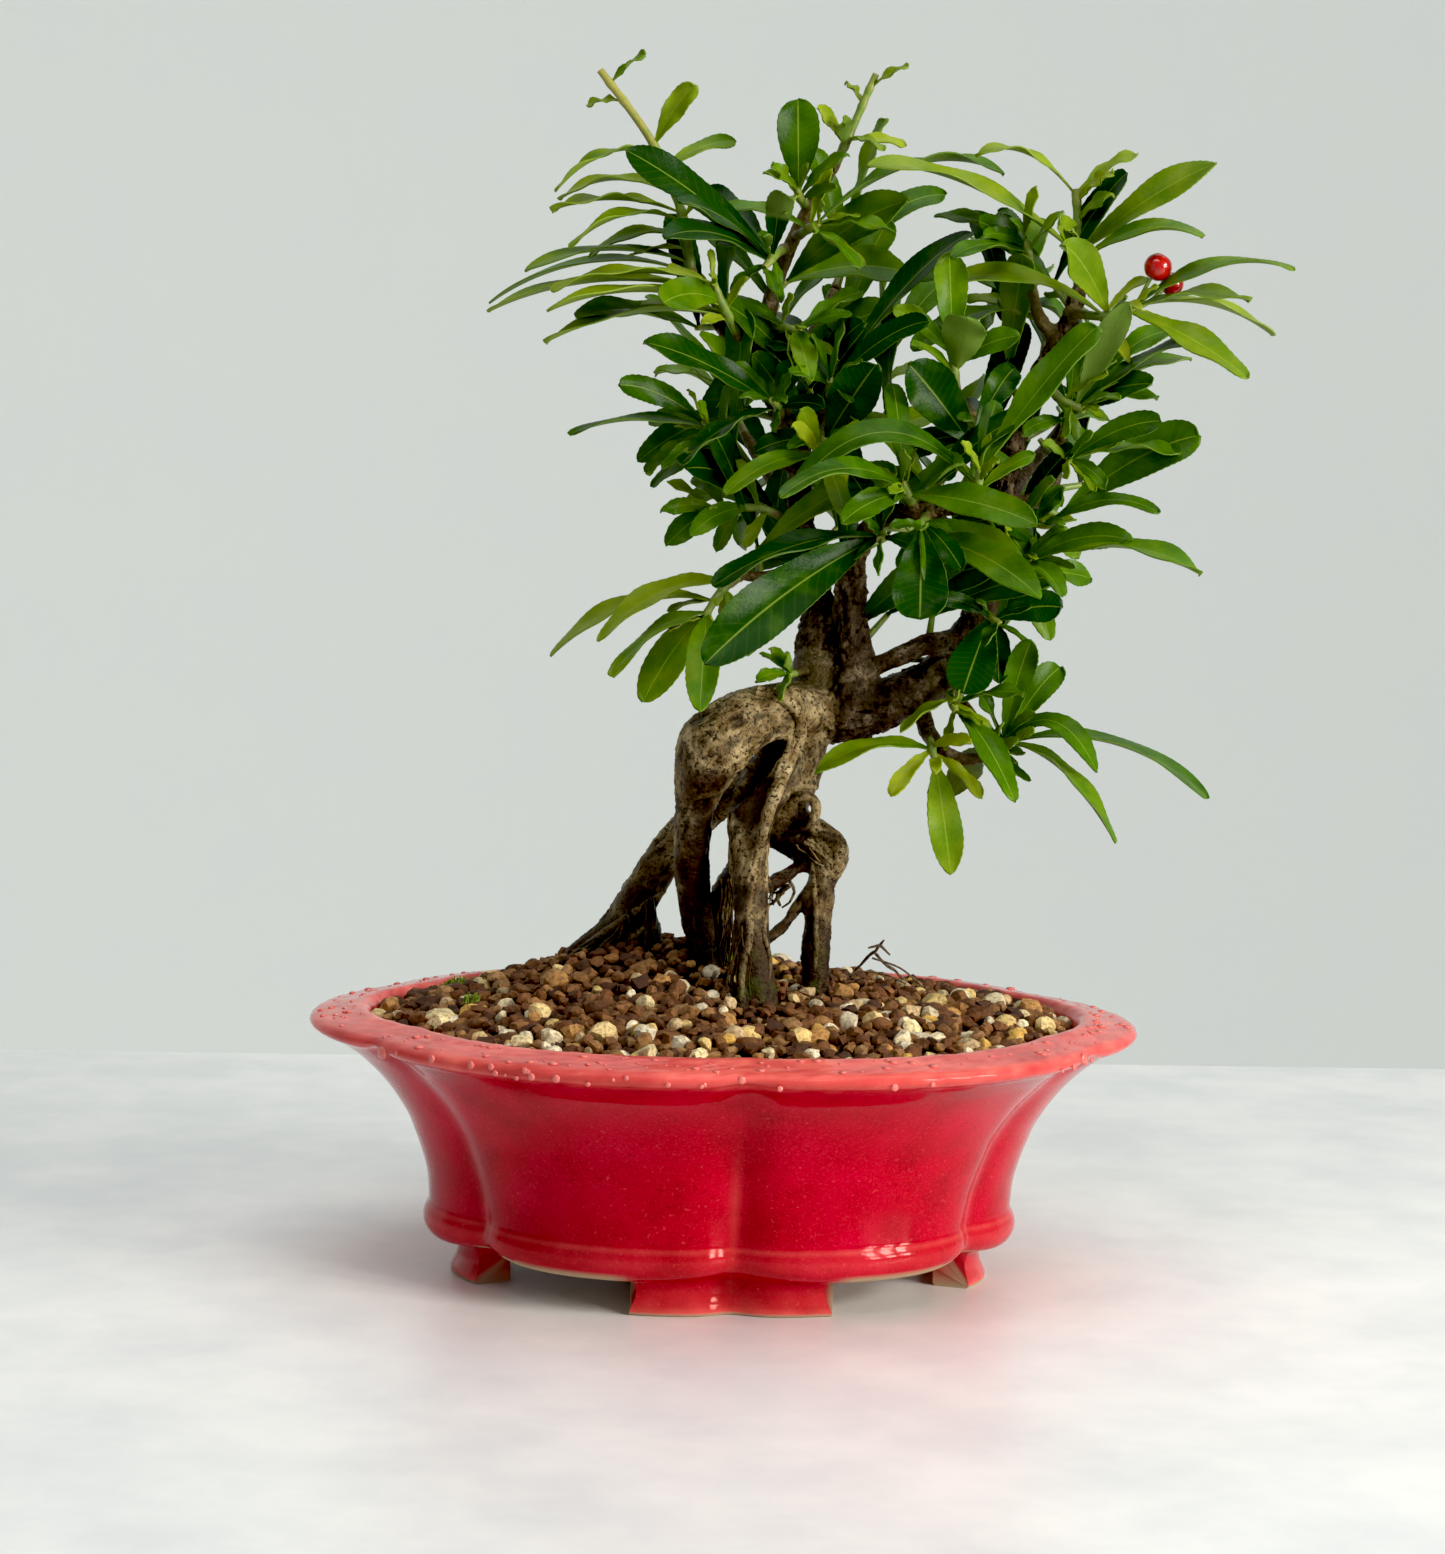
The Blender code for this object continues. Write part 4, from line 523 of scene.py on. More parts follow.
DRY_TWIG = (
    ((846, 984, -24, 1.2), (854, 972, -22, 1.2), (864, 961, -20, 1.2), (874, 952, -18, 1.4),
     (880, 945, -17, 1.0)),
    ((874, 953, -18, 1.2), (886, 964, -20, 1.2), (900, 976, -22, 1.2), (914, 990, -24, 1.2)),
)
# The dead twig's three short points, and the two thin dead stalks that lie by it, all at one front
DEAD_POINTS = ((868, 948, -17), (884, 940, -16), (890, 955, -18))
DEAD_STALKS = (
    ((838, 981), (858, 972), (884, 974), (906, 984)), ((872, 958), (900, 968), (920, 985), (931, 999)),
)
DEAD_STALK_FRONT = -14.0
# Tufts of moss: a place of the view (across, down), a spread in mm and a number of leaflets
MOSS_TUFTS = ((455, 984, 3.4, 150), (1077, 1024, 3.0, 120), (470, 1000, 2.0, 50))

ROOT_RUNS = (
    ARCH_ROOT, FRONT_ROOT, SHOULDER_ROOT, RIGHT_ROOT, KNOT_ROOT, LEFT_ROOT, LEFT_TOE, FAR_LEFT_TOE, BACK_ROOT,
    FRONT_ROOTLET, RING_ROOT, UPPER_RUNNER, LOWER_RUNNER,
)
# Rootlets grown fast to the thick roots: places of the view, and a diameter in mm
SURFACE_ROOTS = (
    (((734, 689), (757, 691), (779, 697), (795, 709), (801, 725), (796, 747), (787, 768), (778, 790),
      (770, 808), (764, 828), (759, 850)), 2.6),
    (((756, 872), (749, 902), (750, 934), (743, 968), (741, 1002)), 1.7),
    (((768, 905), (764, 932), (770, 962), (764, 1000)), 1.0),
    (((573, 953), (596, 939), (622, 921), (646, 905), (664, 890)), 2.0),
    (((592, 958), (616, 946), (640, 932), (652, 912)), 1.5),
    (((812, 862), (815, 900), (816, 940), (815, 972)), 1.3),
)
# The overhang under the knob, the knob's own swelling, and dark patches on the front roots:
# partly wet stains, partly painted shade in the hollow under the knob and between the legs
PRESSES = (
    Press((733, 799), 3.6, 1.8, 0.95), Press((744, 786), 4.0, 2.4, 1.0), Press((756, 770), 4.2, 2.6, 1.0),
    Press((769, 755), 4.0, 2.4, 1.0), Press((780, 745), 3.2, 1.8, 0.9), Press((704, 752), 13.0, -1.3, 0.0),
    Press((700, 783), 6.0, -1.0, 0.55), Press((684, 806), 3.6, 0.9, 0.5), Press((703, 808), 4.4, 1.0, 1.0),
    Press((714, 780), 5.0, 0.0, 0.8), Press((698, 835), 7.0, 0.0, 0.9), Press((698, 870), 7.5, 0.0, 1.0),
    Press((702, 905), 8.0, 0.0, 1.0), Press((706, 940), 8.0, 0.0, 1.0), Press((757, 835), 5.0, 0.0, 0.6),
    Press((752, 960), 8.0, 0.0, 0.85), Press((738, 905), 3.6, 0.0, 0.8), Press((762, 900), 3.4, 0.0, 0.75),
    Press((812, 930), 6.0, 0.0, 0.8), Press((815, 970), 7.0, 0.0, 1.0), Press((800, 860), 5.0, 0.5, 0.8),
    Press((778, 812), 5.0, 0.0, 0.9), Press((786, 838), 4.4, 0.0, 0.9), Press((789, 782), 3.6, 0.0, 0.5),
    Press((640, 905), 8.0, 0.0, 0.9), Press((612, 940), 8.0, 0.0, 0.95), Press((655, 860), 5.0, 0.0, 0.6),
    Press((590, 955), 7.0, 0.0, 0.9), Press((757, 800), 4.6, 0.4, 1.0), Press((749, 816), 4.6, 0.0, 0.9),
    Press((765, 784), 3.4, 0.5, 0.9), Press((742, 808), 4.0, 0.0, 1.0), Press((795, 838), 5.0, 0.4, 1.0),
    Press((783, 852), 5.0, 0.4, 1.0), Press((801, 822), 3.4, 0.3, 0.9), Press((770, 832), 3.6, 0.3, 0.9),
    Press((780, 880), 4.6, 0.0, 1.0), Press((784, 924), 6.0, 0.0, 1.0), Press((815, 1000), 8.0, 0.0, 1.0),
    Press((768, 935), 3.4, 0.0, 0.9), Press((762, 985), 6.0, 0.0, 1.0), Press((792, 872), 4.0, 0.0, 0.9),
)
# Bundles of hair roots: where they leave and where they end (across, down), how far each end is spread
# in view units, how far they stand in front in mm, and how many there are
HAIR_BUNDLES = (
    HairBundle((716, 892), (718, 972), (9, 14), -1.0, 24),
    HairBundle((728, 880), (722, 968), (6, 10), 1.0, 12),
    HairBundle((646, 900), (648, 972), (12, 14), -4.0, 12),
    HairBundle((636, 912), (596, 968), (12, 26), -5.0, 16),
    HairBundle((600, 940), (548, 976), (10, 14), -6.0, 8),
    HairBundle((782, 884), (774, 905), (10, 12), 4.0, 9),
    HairBundle((806, 842), (826, 868), (16, 8), 6.5, 9),
    HairBundle((744, 930), (738, 1010), (8, 10), 18.0, 8),
    HairBundle((690, 900), (704, 962), (8, 10), 5.0, 6),
)
TRUNK_RUNS = (TRUNK_LEFT, TRUNK_RIGHT, RIGHT_LIMB)
TWIG_RUNS = (
    BRACE_LIMB, SIDE_LIMB, MIDDLE_STEM, CENTRE_STEM, CROWN_STEM, TOP_STEM, LEFT_TWIG, LOW_LEFT_TWIG,
    HANGING_TWIG, LOW_RIGHT_TWIG, BACK_LEFT_STEM, BACK_MIDDLE_STEM, BACK_RIGHT_STEM, BACK_TOP_STEM,
)
FRESH_SPRAYS = (
    "front_arc", "left_leader", "middle_leader", "right_leader", "right_tip", "left_upper",
    "hanging_left", "left_skirt",
)
CUT_SHOOTS = ("left_leader", "middle_leader", "right_leader")
# Shoots painted the darkest green: partly old leaves, partly painted shade on those in the crown's dark
# middle and on the broad front leaf
OLD_AND_SHADED_SPRAYS = (
    "centre_dark", "front_broad", "heart", "left_fork", "middle_left", "centre", "right_low_arm",
    "stub_hanging",
)


# The kinds of shader node that the finishes share
COORDINATES = "ShaderNodeTexCoord"
MARK = "ShaderNodeAttribute"
NOISE = "ShaderNodeTexNoise"
RAMP = "ShaderNodeValToRGB"
RANGE = "ShaderNodeMapRange"
MIX = "ShaderNodeMix"
MATH = "ShaderNodeMath"
BUMP = "ShaderNodeBump"


def linear(colour: str) -> tuple[float, float, float, float]:
    """Turn an sRGB hex colour into the linear value that a shader holds.

    Args:
        colour: Six hex digits after a hash.

    Returns:
        Red, green, blue and an alpha of one.
    """
    parts = [int(colour[i:i + 2], 16) / 255.0 for i in (1, 3, 5)]
    flat = [part / 12.92 if part <= 0.04045 else ((part + 0.055) / 1.055) ** 2.4 for part in parts]
    return (*flat, 1.0)


def add_node(tree: bpy.types.NodeTree, kind: str, feeds: Optional[dict] = None,
             stops: Iterable = (), **settings: object) -> bpy.types.Node:
    """Add a node with its settings and links.

    Args:
        tree: The node tree to add to.
        kind: The node's type.
        feeds: What each input takes, by its name or number: a plain value, or the socket that feeds it.
        stops: The places and colours of a colour ramp.
        settings: Properties of the node itself.

    Returns:
        The node.
    """
    node = tree.nodes.new(kind)
    for name, value in settings.items():
        setattr(node, name, value)
    for name, value in (feeds or {}).items():
        if isinstance(value, bpy.types.NodeSocket):
            tree.links.new(value, node.inputs[name])
        else:
            node.inputs[name].default_value = value
    for number, (spot, colour) in enumerate(stops):
        ramp = node.color_ramp.elements
        element = ramp[number] if number < 2 else ramp.new(spot)
        element.position = spot
        element.color = linear(colour)
    return node


class Finish:
    """A surface finish. Each kind says what the real surface gives the eye, and wires its own nodes."""

    name = "finish"

    def wire(self, tree: bpy.types.NodeTree, shader: bpy.types.Node) -> None:
        """Wire the finish's nodes into the shader."""
        raise NotImplementedError

    def make(self) -> bpy.types.Material:
        """Make the material.

        Returns:
            The finished material.
        """
        material = bpy.data.materials.new(self.name)
        material.use_nodes = True
        self.wire(material.node_tree, material.node_tree.nodes["Principled BSDF"])
        return material


@dataclass(frozen=True)
class CrimsonGlaze(Finish):
    """Crimson stoneware glaze, dipped and fired: glassy, cloudy; coral edges are thin glaze and painted
    highlight.
    """

    name: str = "crimson_stoneware_glaze"
    deep: str = "#8c0014"
    body: str = "#b20022"
    bright: str = "#c60432"
    # coral of thin glaze, which also paints the highlights on the edges
    thin: str = "#f2766a"
    clay: str = "#b8a284"
    sheen: str = "#f0b0aa"
    cloud_size: float = 17.0 * MM
    speck_size: float = 1.1 * MM
    sugar_size: float = 0.55 * MM
    ripple_size: float = 2.6 * MM
    ripple_height: float = 0.08 * MM
    index: float = 1.52
    gloss: float = 0.24

    def wire(self, tree: bpy.types.NodeTree, shader: bpy.types.Node) -> None:
        """Wire cloudy crimson, paled on edges by thin glaze and painted highlight, that stops short of bare
        clay.
        """
        place = add_node(tree, COORDINATES).outputs["Object"]
        thin = add_node(tree, MARK, attribute_name="thin_glaze_and_highlight").outputs["Fac"]
        bare = add_node(tree, MARK, attribute_name="bare_clay").outputs["Fac"]
        cloud = add_node(tree, NOISE, {
            "Vector": place, "Scale": 1 / self.cloud_size, "Detail": 5.0, "Roughness": 0.6}).outputs["Fac"]
        colour = add_node(tree, RAMP, {"Fac": cloud}, stops=(
            (0.22, self.deep), (0.78, self.bright), (0.48, self.body))).outputs["Color"]
        # fine pale and dark specks, where bubbles broke in the firing
        speck = add_node(tree, NOISE, {
            "Vector": place, "Scale": 1 / self.speck_size, "Detail": 2.0, "Roughness": 0.5}).outputs["Fac"]
        dark = add_node(tree, RANGE, {
            "Value": speck, "From Min": 0.28, "From Max": 0.42,
            "To Min": 0.5, "To Max": 0.0}).outputs["Result"]
        pale = add_node(tree, RANGE, {
            "Value": speck, "From Min": 0.66, "From Max": 0.78,
            "To Min": 0.0, "To Max": 0.18}).outputs["Result"]
        sugar = add_node(tree, NOISE, {
            "Vector": place, "Scale": 1 / self.sugar_size, "Detail": 3.0, "Roughness": 0.75}).outputs["Fac"]
        sugar = add_node(tree, RANGE, {
            "Value": sugar, "From Min": 0.5, "From Max": 0.72,
            "To Min": 0.0, "To Max": 0.1}).outputs["Result"]
        # the edges' pale coral: partly thin glaze, partly painted highlight on the rim, belt, feet and crease
        # valleys
        uneven = add_node(tree, MATH, {0: cloud, 1: 0.9}, operation="MULTIPLY").outputs[0]
        edge = add_node(tree, MATH, {0: thin, 1: uneven}, operation="MULTIPLY").outputs[0]
        edge = add_node(tree, MATH, {0: edge, 1: 1.75}, operation="MULTIPLY",
                        use_clamp=True).outputs[0]
        coats = ((dark, self.deep), (pale, self.thin), (sugar, self.thin), (edge, self.thin),
                 (bare, self.clay))
        for share, tone in coats:
            colour = add_node(tree, MIX, {0: share, 6: colour, 7: linear(tone)},
                              data_type="RGBA").outputs[2]
        tree.links.new(colour, shader.inputs["Base Color"])
        rough = add_node(tree, RANGE, {
            "Value": bare, "To Min": 0.08, "To Max": 0.85}).outputs["Result"]
        tree.links.new(rough, shader.inputs["Roughness"])
        shader.inputs["IOR"].default_value = self.index
        shader.inputs["Specular IOR Level"].default_value = self.gloss
        shader.inputs["Specular Tint"].default_value = linear(self.sheen)
        # the slight ripple that a glaze keeps when it sets
        ripple = add_node(tree, NOISE, {
            "Vector": place, "Scale": 1 / self.ripple_size, "Detail": 2.0}).outputs["Fac"]
        bump = add_node(tree, BUMP, {
            "Height": ripple, "Strength": 0.3, "Distance": self.ripple_height})
        tree.links.new(bump.outputs["Normal"], shader.inputs["Normal"])


@dataclass(frozen=True)
class FirethornBark(Finish):
    """Old firethorn bark: near black and cracked on the trunk with painted shade in its grooves; smooth, tan
    and flecked on the roots.
    """

    name: str = "firethorn_bark"
    crack: str = "#120c07"
    trunk: str = "#4a3a26"
    trunk_high: str = "#a09074"
    root: str = "#705c38"
    root_high: str = "#bfac80"
    # dark wet brown, which also paints the shade low on the legs and under the knob
    wet_and_shade: str = "#2a1408"
    fleck: str = "#160c05"
    green: str = "#8c8242"
    moss: str = "#3a4a18"
    cut: str = "#cdb98a"
    gleam: str = "#f4dcc0"
    patch_size: float = 5.0 * MM
    fleck_size: float = 0.8 * MM
    gloss: float = 0.32
    relief: float = 0.5 * MM

    def wire(self, tree: bpy.types.NodeTree, shader: bpy.types.Node) -> None:
        """Wire painted shade in the bark's grooves, a painted pale on its raised ridges, and tan roots."""
        place = add_node(tree, COORDINATES).outputs["Object"]
        marks = {name: add_node(tree, MARK, attribute_name=name).outputs["Fac"]
                 for name in ("root_bark", "green_bark", "moss", "ridge", "cut_face", "damp_and_shade")}
        patch = add_node(tree, NOISE, {
            "Vector": place, "Scale": 1 / self.patch_size, "Detail": 6.0, "Roughness": 0.65}).outputs["Fac"]
        fine = add_node(tree, NOISE, {
            "Vector": place, "Scale": 1 / self.fleck_size, "Detail": 3.0, "Roughness": 0.6}).outputs["Fac"]
        trunk = add_node(tree, RAMP, {"Fac": patch}, stops=(
            (0.3, self.crack), (0.75, self.trunk_high), (0.52, self.trunk))).outputs["Color"]
        root = add_node(tree, RAMP, {"Fac": patch}, stops=(
            (0.22, self.trunk), (0.68, self.root_high), (0.42, self.root))).outputs["Color"]
        # darker where damp, and where shade is painted under the knob and between the legs
        root = add_node(tree, MIX, {0: marks["damp_and_shade"], 6: root, 7: linear(self.wet_and_shade)},
                        data_type="RGBA").outputs[2]
        colour = add_node(tree, MIX, {0: marks["root_bark"], 6: trunk, 7: root},
                          data_type="RGBA").outputs[2]
        # corky pores: small dark flecks all over
        flecks = add_node(tree, RANGE, {
            "Value": fine, "From Min": 0.4, "From Max": 0.46,
            "To Min": 0.92, "To Max": 0.0}).outputs["Result"]
        # painted shade: dark where the bark lies low in grooves, cracks and beside rootlets, pale on raised
        # ridges
        shade = add_node(tree, RANGE, {
            "Value": marks["ridge"], "From Min": 0.15, "From Max": 0.6,
            "To Min": 0.8, "To Max": 0.0}).outputs["Result"]
        mossy = add_node(tree, MATH, {0: marks["moss"], 1: fine}, operation="MULTIPLY").outputs[0]
        mossy = add_node(tree, MATH, {0: mossy, 1: 1.7}, operation="MULTIPLY",
                         use_clamp=True).outputs[0]
        layers = ((flecks, self.fleck), (shade, self.crack), (marks["green_bark"], self.green),
                  (mossy, self.moss), (marks["cut_face"], self.cut))
        for share, tone in layers:
            colour = add_node(tree, MIX, {0: share, 6: colour, 7: linear(tone)},
                              data_type="RGBA").outputs[2]
        tree.links.new(colour, shader.inputs["Base Color"])
        # the wet bark shines a little where it is smooth
        rough = add_node(tree, RANGE, {
            "Value": fine, "From Min": 0.3, "From Max": 0.7,
            "To Min": 0.26, "To Max": 0.62}).outputs["Result"]
        tree.links.new(rough, shader.inputs["Roughness"])
        shader.inputs["Specular IOR Level"].default_value = self.gloss
        shader.inputs["Specular Tint"].default_value = linear(self.gleam)
        bump = add_node(tree, BUMP, {"Height": fine, "Strength": 1.0, "Distance": self.relief})
        tree.links.new(bump.outputs["Normal"], shader.inputs["Normal"])


@dataclass(frozen=True)
class LeatheryLeaf(Finish):
    """A firethorn leaf: leathery and waxed above with a pale midrib, matt and grey-green below."""

    name: str = "leathery_leaf"
    old: str = "#153a04"
    fresh: str = "#93a228"
    grown: str = "#4a7010"
    rib: str = "#a0b648"
    below: str = "#7f9848"
    vein_pairs: float = 15.0
    vein_slant: float = -0.24
    mottle_size: float = 6.0 * MM
    pebble_size: float = 0.7 * MM
    index: float = 1.45
    gloss: float = 0.13
    relief: float = 0.25 * MM

    def wire(self, tree: bpy.types.NodeTree, shader: bpy.types.Node) -> None:
        """Wire green by the leaf's age, ribs by its own map, and a paler underside."""
        place = add_node(tree, COORDINATES).outputs["Object"]
        look = add_node(tree, MARK, attribute_name="leaf_look").outputs["Color"]
        look = add_node(tree, "ShaderNodeSeparateColor", {"Color": look}).outputs
        age, below = look["Red"], look["Green"]
        sheet = add_node(tree, "ShaderNodeUVMap", uv_map="blade").outputs["UV"]
        sheet = add_node(tree, "ShaderNodeSeparateXYZ", {"Vector": sheet}).outputs
        mottle = add_node(tree, NOISE, {
            "Vector": place, "Scale": 1 / self.mottle_size, "Detail": 4.0}).outputs["Fac"]
        shift = add_node(tree, RANGE, {
            "Value": mottle, "From Min": 0.3, "From Max": 0.7,
            "To Min": -0.12, "To Max": 0.12}).outputs["Result"]
        tone = add_node(tree, MATH, {0: age, 1: shift}, operation="ADD", use_clamp=True).outputs[0]
        green = add_node(tree, RAMP, {"Fac": tone}, stops=(
            (0.05, self.old), (0.95, self.fresh), (0.4, self.grown))).outputs["Color"]
        off = add_node(tree, MATH, {0: sheet["X"], 1: 0.5}, operation="SUBTRACT").outputs[0]
        off = add_node(tree, MATH, {0: off}, operation="ABSOLUTE").outputs[0]
        midrib = add_node(tree, RANGE, {
            "Value": off, "From Min": 0.004, "From Max": 0.028,
            "To Min": 0.42, "To Max": 0.0}).outputs["Result"]
        # side veins leave the midrib at a slant, faint on the waxed face
        slant = add_node(tree, MATH, {0: off, 1: self.vein_slant}, operation="MULTIPLY").outputs[0]
        slant = add_node(tree, MATH, {0: sheet["Y"], 1: slant}, operation="ADD").outputs[0]
        slant = add_node(tree, MATH, {0: slant, 1: self.vein_pairs * 2 * math.pi},
                         operation="MULTIPLY").outputs[0]
        wave = add_node(tree, MATH, {0: slant}, operation="SINE").outputs[0]
        vein = add_node(tree, RANGE, {
            "Value": wave, "From Min": 0.72, "From Max": 1.0,
            "To Min": 0.0, "To Max": 0.028}).outputs["Result"]
        lines = add_node(tree, MATH, {0: midrib, 1: vein}, operation="MAXIMUM").outputs[0]
        above = add_node(tree, MIX, {0: lines, 6: green, 7: linear(self.rib)},
                         data_type="RGBA").outputs[2]
        pale = add_node(tree, MIX, {0: 0.42, 6: linear(self.below), 7: green},
                        data_type="RGBA").outputs[2]
        colour = add_node(tree, MIX, {0: below, 6: above, 7: pale}, data_type="RGBA").outputs[2]
        tree.links.new(colour, shader.inputs["Base Color"])
        rough = add_node(tree, RANGE, {
            "Value": below, "To Min": 0.33, "To Max": 0.55}).outputs["Result"]
        tree.links.new(rough, shader.inputs["Roughness"])
        shader.inputs["IOR"].default_value = self.index
        shader.inputs["Specular IOR Level"].default_value = self.gloss
        height = add_node(tree, MATH, {0: lines, 1: -0.45}, operation="MULTIPLY").outputs[0]
        height = add_node(tree, MATH, {0: height, 1: mottle}, operation="ADD").outputs[0]
        # the fine pebbling of a thick leaf between its smallest veins
        pebble = add_node(tree, NOISE, {
            "Vector": place, "Scale": 1 / self.pebble_size, "Detail": 2.0}).outputs["Fac"]
        pebble = add_node(tree, MATH, {0: pebble, 1: 0.55}, operation="MULTIPLY").outputs[0]
        height = add_node(tree, MATH, {0: height, 1: pebble}, operation="ADD").outputs[0]
        bump = add_node(tree, BUMP, {"Height": height, "Strength": 0.45, "Distance": self.relief})
        tree.links.new(bump.outputs["Normal"], shader.inputs["Normal"])


@dataclass(frozen=True)
class GreenShoot(Finish):
    """Skin of a young shoot: brown and corky at its foot, yellow-green and smooth towards its tip."""

    name: str = "green_shoot"
    foot: str = "#6a5432"
    tip: str = "#a09a46"
    leafstalk: str = "#6f8c34"
    spot_size: float = 1.6 * MM
    roughness: float = 0.45
    relief: float = 0.15 * MM

    def wire(self, tree: bpy.types.NodeTree, shader: bpy.types.Node) -> None:
        """Wire brown to yellow-green along the shoot."""
        place = add_node(tree, COORDINATES).outputs["Object"]
        young = add_node(tree, MARK, attribute_name="young").outputs["Fac"]
        spots = add_node(tree, NOISE, {
            "Vector": place, "Scale": 1 / self.spot_size, "Detail": 3.0}).outputs["Fac"]
        shift = add_node(tree, RANGE, {
            "Value": spots, "From Min": 0.3, "From Max": 0.7,
            "To Min": -0.2, "To Max": 0.2}).outputs["Result"]
        tone = add_node(tree, MATH, {0: young, 1: shift}, operation="ADD", use_clamp=True).outputs[0]
        colour = add_node(tree, RAMP, {"Fac": tone}, stops=(
            (0.15, self.foot), (0.9, self.tip), (0.5, self.leafstalk))).outputs["Color"]
        tree.links.new(colour, shader.inputs["Base Color"])
        shader.inputs["Roughness"].default_value = self.roughness
        bump = add_node(tree, BUMP, {"Height": spots, "Strength": 0.4, "Distance": self.relief})
        tree.links.new(bump.outputs["Normal"], shader.inputs["Normal"])


@dataclass(frozen=True)
class SoilGrain(Finish):
    """A grain of baked clay or pumice: dull, pitted and darker in its pits, in the tone that each grain
    carries.
    """

    name: str = "soil_grain"
    pit_dark: str = "#2a1a0d"
    pit_size: float = 0.9 * MM
    roughness: float = 0.82
    relief: float = 0.3 * MM

    def wire(self, tree: bpy.types.NodeTree, shader: bpy.types.Node) -> None:
        """Wire each grain's own tone, broken up by pits."""
        place = add_node(tree, COORDINATES).outputs["Object"]
        tone = add_node(tree, MARK, attribute_name="grain_tone").outputs["Color"]
        pits = add_node(tree, NOISE, {
            "Vector": place, "Scale": 1 / self.pit_size, "Detail": 4.0, "Roughness": 0.7}).outputs["Fac"]
        # darker where the pits' relief is low
        dark = add_node(tree, RANGE, {
            "Value": pits, "From Min": 0.34, "From Max": 0.56,
            "To Min": 0.65, "To Max": 0.0}).outputs["Result"]
        colour = add_node(tree, MIX, {0: dark, 6: tone, 7: linear(self.pit_dark)},
                          data_type="RGBA").outputs[2]
        tree.links.new(colour, shader.inputs["Base Color"])
        shader.inputs["Roughness"].default_value = self.roughness
        bump = add_node(tree, BUMP, {"Height": pits, "Strength": 0.8, "Distance": self.relief})
        tree.links.new(bump.outputs["Normal"], shader.inputs["Normal"])


@dataclass(frozen=True)
class Speckled(Finish):
    """A plain natural or moulded surface in two tones that a fine noise mixes."""

    name: str = "speckled"
    low: str = "#000000"
    high: str = "#ffffff"
    grain: float = 1.0 * MM
    roughness: float = 0.8
    relief: float = 0.2 * MM
    coat: float = 0.0
    glow: float = 0.0

    def wire(self, tree: bpy.types.NodeTree, shader: bpy.types.Node) -> None:
        """Wire the two tones and their relief."""
        place = add_node(tree, COORDINATES).outputs["Object"]
        mottle = add_node(tree, NOISE, {
            "Vector": place, "Scale": 1 / self.grain, "Detail": 4.0, "Roughness": 0.6}).outputs["Fac"]
        colour = add_node(tree, RAMP, {"Fac": mottle}, stops=(
            (0.35, self.low), (0.65, self.high))).outputs["Color"]
        tree.links.new(colour, shader.inputs["Base Color"])
        shader.inputs["Roughness"].default_value = self.roughness
        shader.inputs["Coat Weight"].default_value = self.coat
        shader.inputs["Emission Color"].default_value = linear(self.high)
        shader.inputs["Emission Strength"].default_value = self.glow
        bump = add_node(tree, BUMP, {"Height": mottle, "Strength": 0.5, "Distance": self.relief})
        tree.links.new(bump.outputs["Normal"], shader.inputs["Normal"])


# Fines between the grains, dull and nearly black: partly damp soil, partly painted shade in the deep gaps
SHADED_SOIL_FINES = Speckled("soil_fines_in_painted_shade", "#1a0f07", "#3a2413", 1.2 * MM, 0.9, 0.5 * MM)
# Cushion moss: soft, dull yellow-green, finely broken by its own shade
CUSHION_MOSS = Speckled("cushion_moss", "#4d6a14", "#8ea332", 1.0 * MM, 0.8, 0.2 * MM)
# Ripe waxed skin: an even warm red that takes one small sharp glint
BERRY_SKIN = Speckled("berry_skin", "#9c0c0c", "#c81a14", 2.2 * MM, 0.25, 0.02 * MM, 0.5)
# Sepals dried on the fruit: crumpled dark brown without any shine
DRY_CALYX = Speckled("dry_calyx", "#2b1a0e", "#54371f", 0.5 * MM, 0.8, 0.1 * MM)
# Bark of a dead twig: bleached grey-brown with a dark grain, dry and rough
DEAD_BARK = Speckled("dead_twig_bark", "#3a2a1c", "#7d684c", 0.8 * MM, 0.8, 0.15 * MM)
# Moulded plastic net: even black with a low sheen
BLACK_NET = Speckled("black_plastic_net", "#0b0b0c", "#17181a", 1.5 * MM, 0.45, 0.05 * MM)
# Pale lacquered table top: nearly white, with a faint soft likeness of the feet in it
TABLE_TOP = Speckled("pale_table_top", "#e6e9e8", "#f6f7f3", 40 * MM, 0.35, 0.01 * MM)
# Matt wall paint under its own light: an even pale grey without a shadow
WALL_PAINT = Speckled("painted_wall", "#bbbdbe", "#bbbfba", 60 * MM, 0.8, 0.01 * MM, 0.0, 0.94)


@dataclass(frozen=True)
class WaterDrop(Finish):
    """Clear water in beads on the glaze, painted in the coral seen through them, with a bright point where
    light enters.
    """

    name: str = "water_drop"
    glaze_seen: str = "#e67c74"
    edge: str = "#b8483f"
    index: float = 1.333
    roughness: float = 0.03
    coat: float = 0.3

    def wire(self, tree: bpy.types.NodeTree, shader: bpy.types.Node) -> None:
        """Wire beads with painted shade towards their edge, as a lens of water looks over a coloured ground.
        """
        # painted light: the glaze's coral as seen through the water, darker towards the bead's edge as
        # painted shade
        rim = add_node(tree, "ShaderNodeLayerWeight", {"Blend": 0.4}).outputs["Facing"]
        colour = add_node(tree, MIX, {0: rim, 6: linear(self.glaze_seen), 7: linear(self.edge)},
                          data_type="RGBA").outputs[2]
        tree.links.new(colour, shader.inputs["Base Color"])
        shader.inputs["Roughness"].default_value = self.roughness
        shader.inputs["IOR"].default_value = self.index
        shader.inputs["Coat Weight"].default_value = self.coat
        shader.inputs["Coat Roughness"].default_value = 0.02


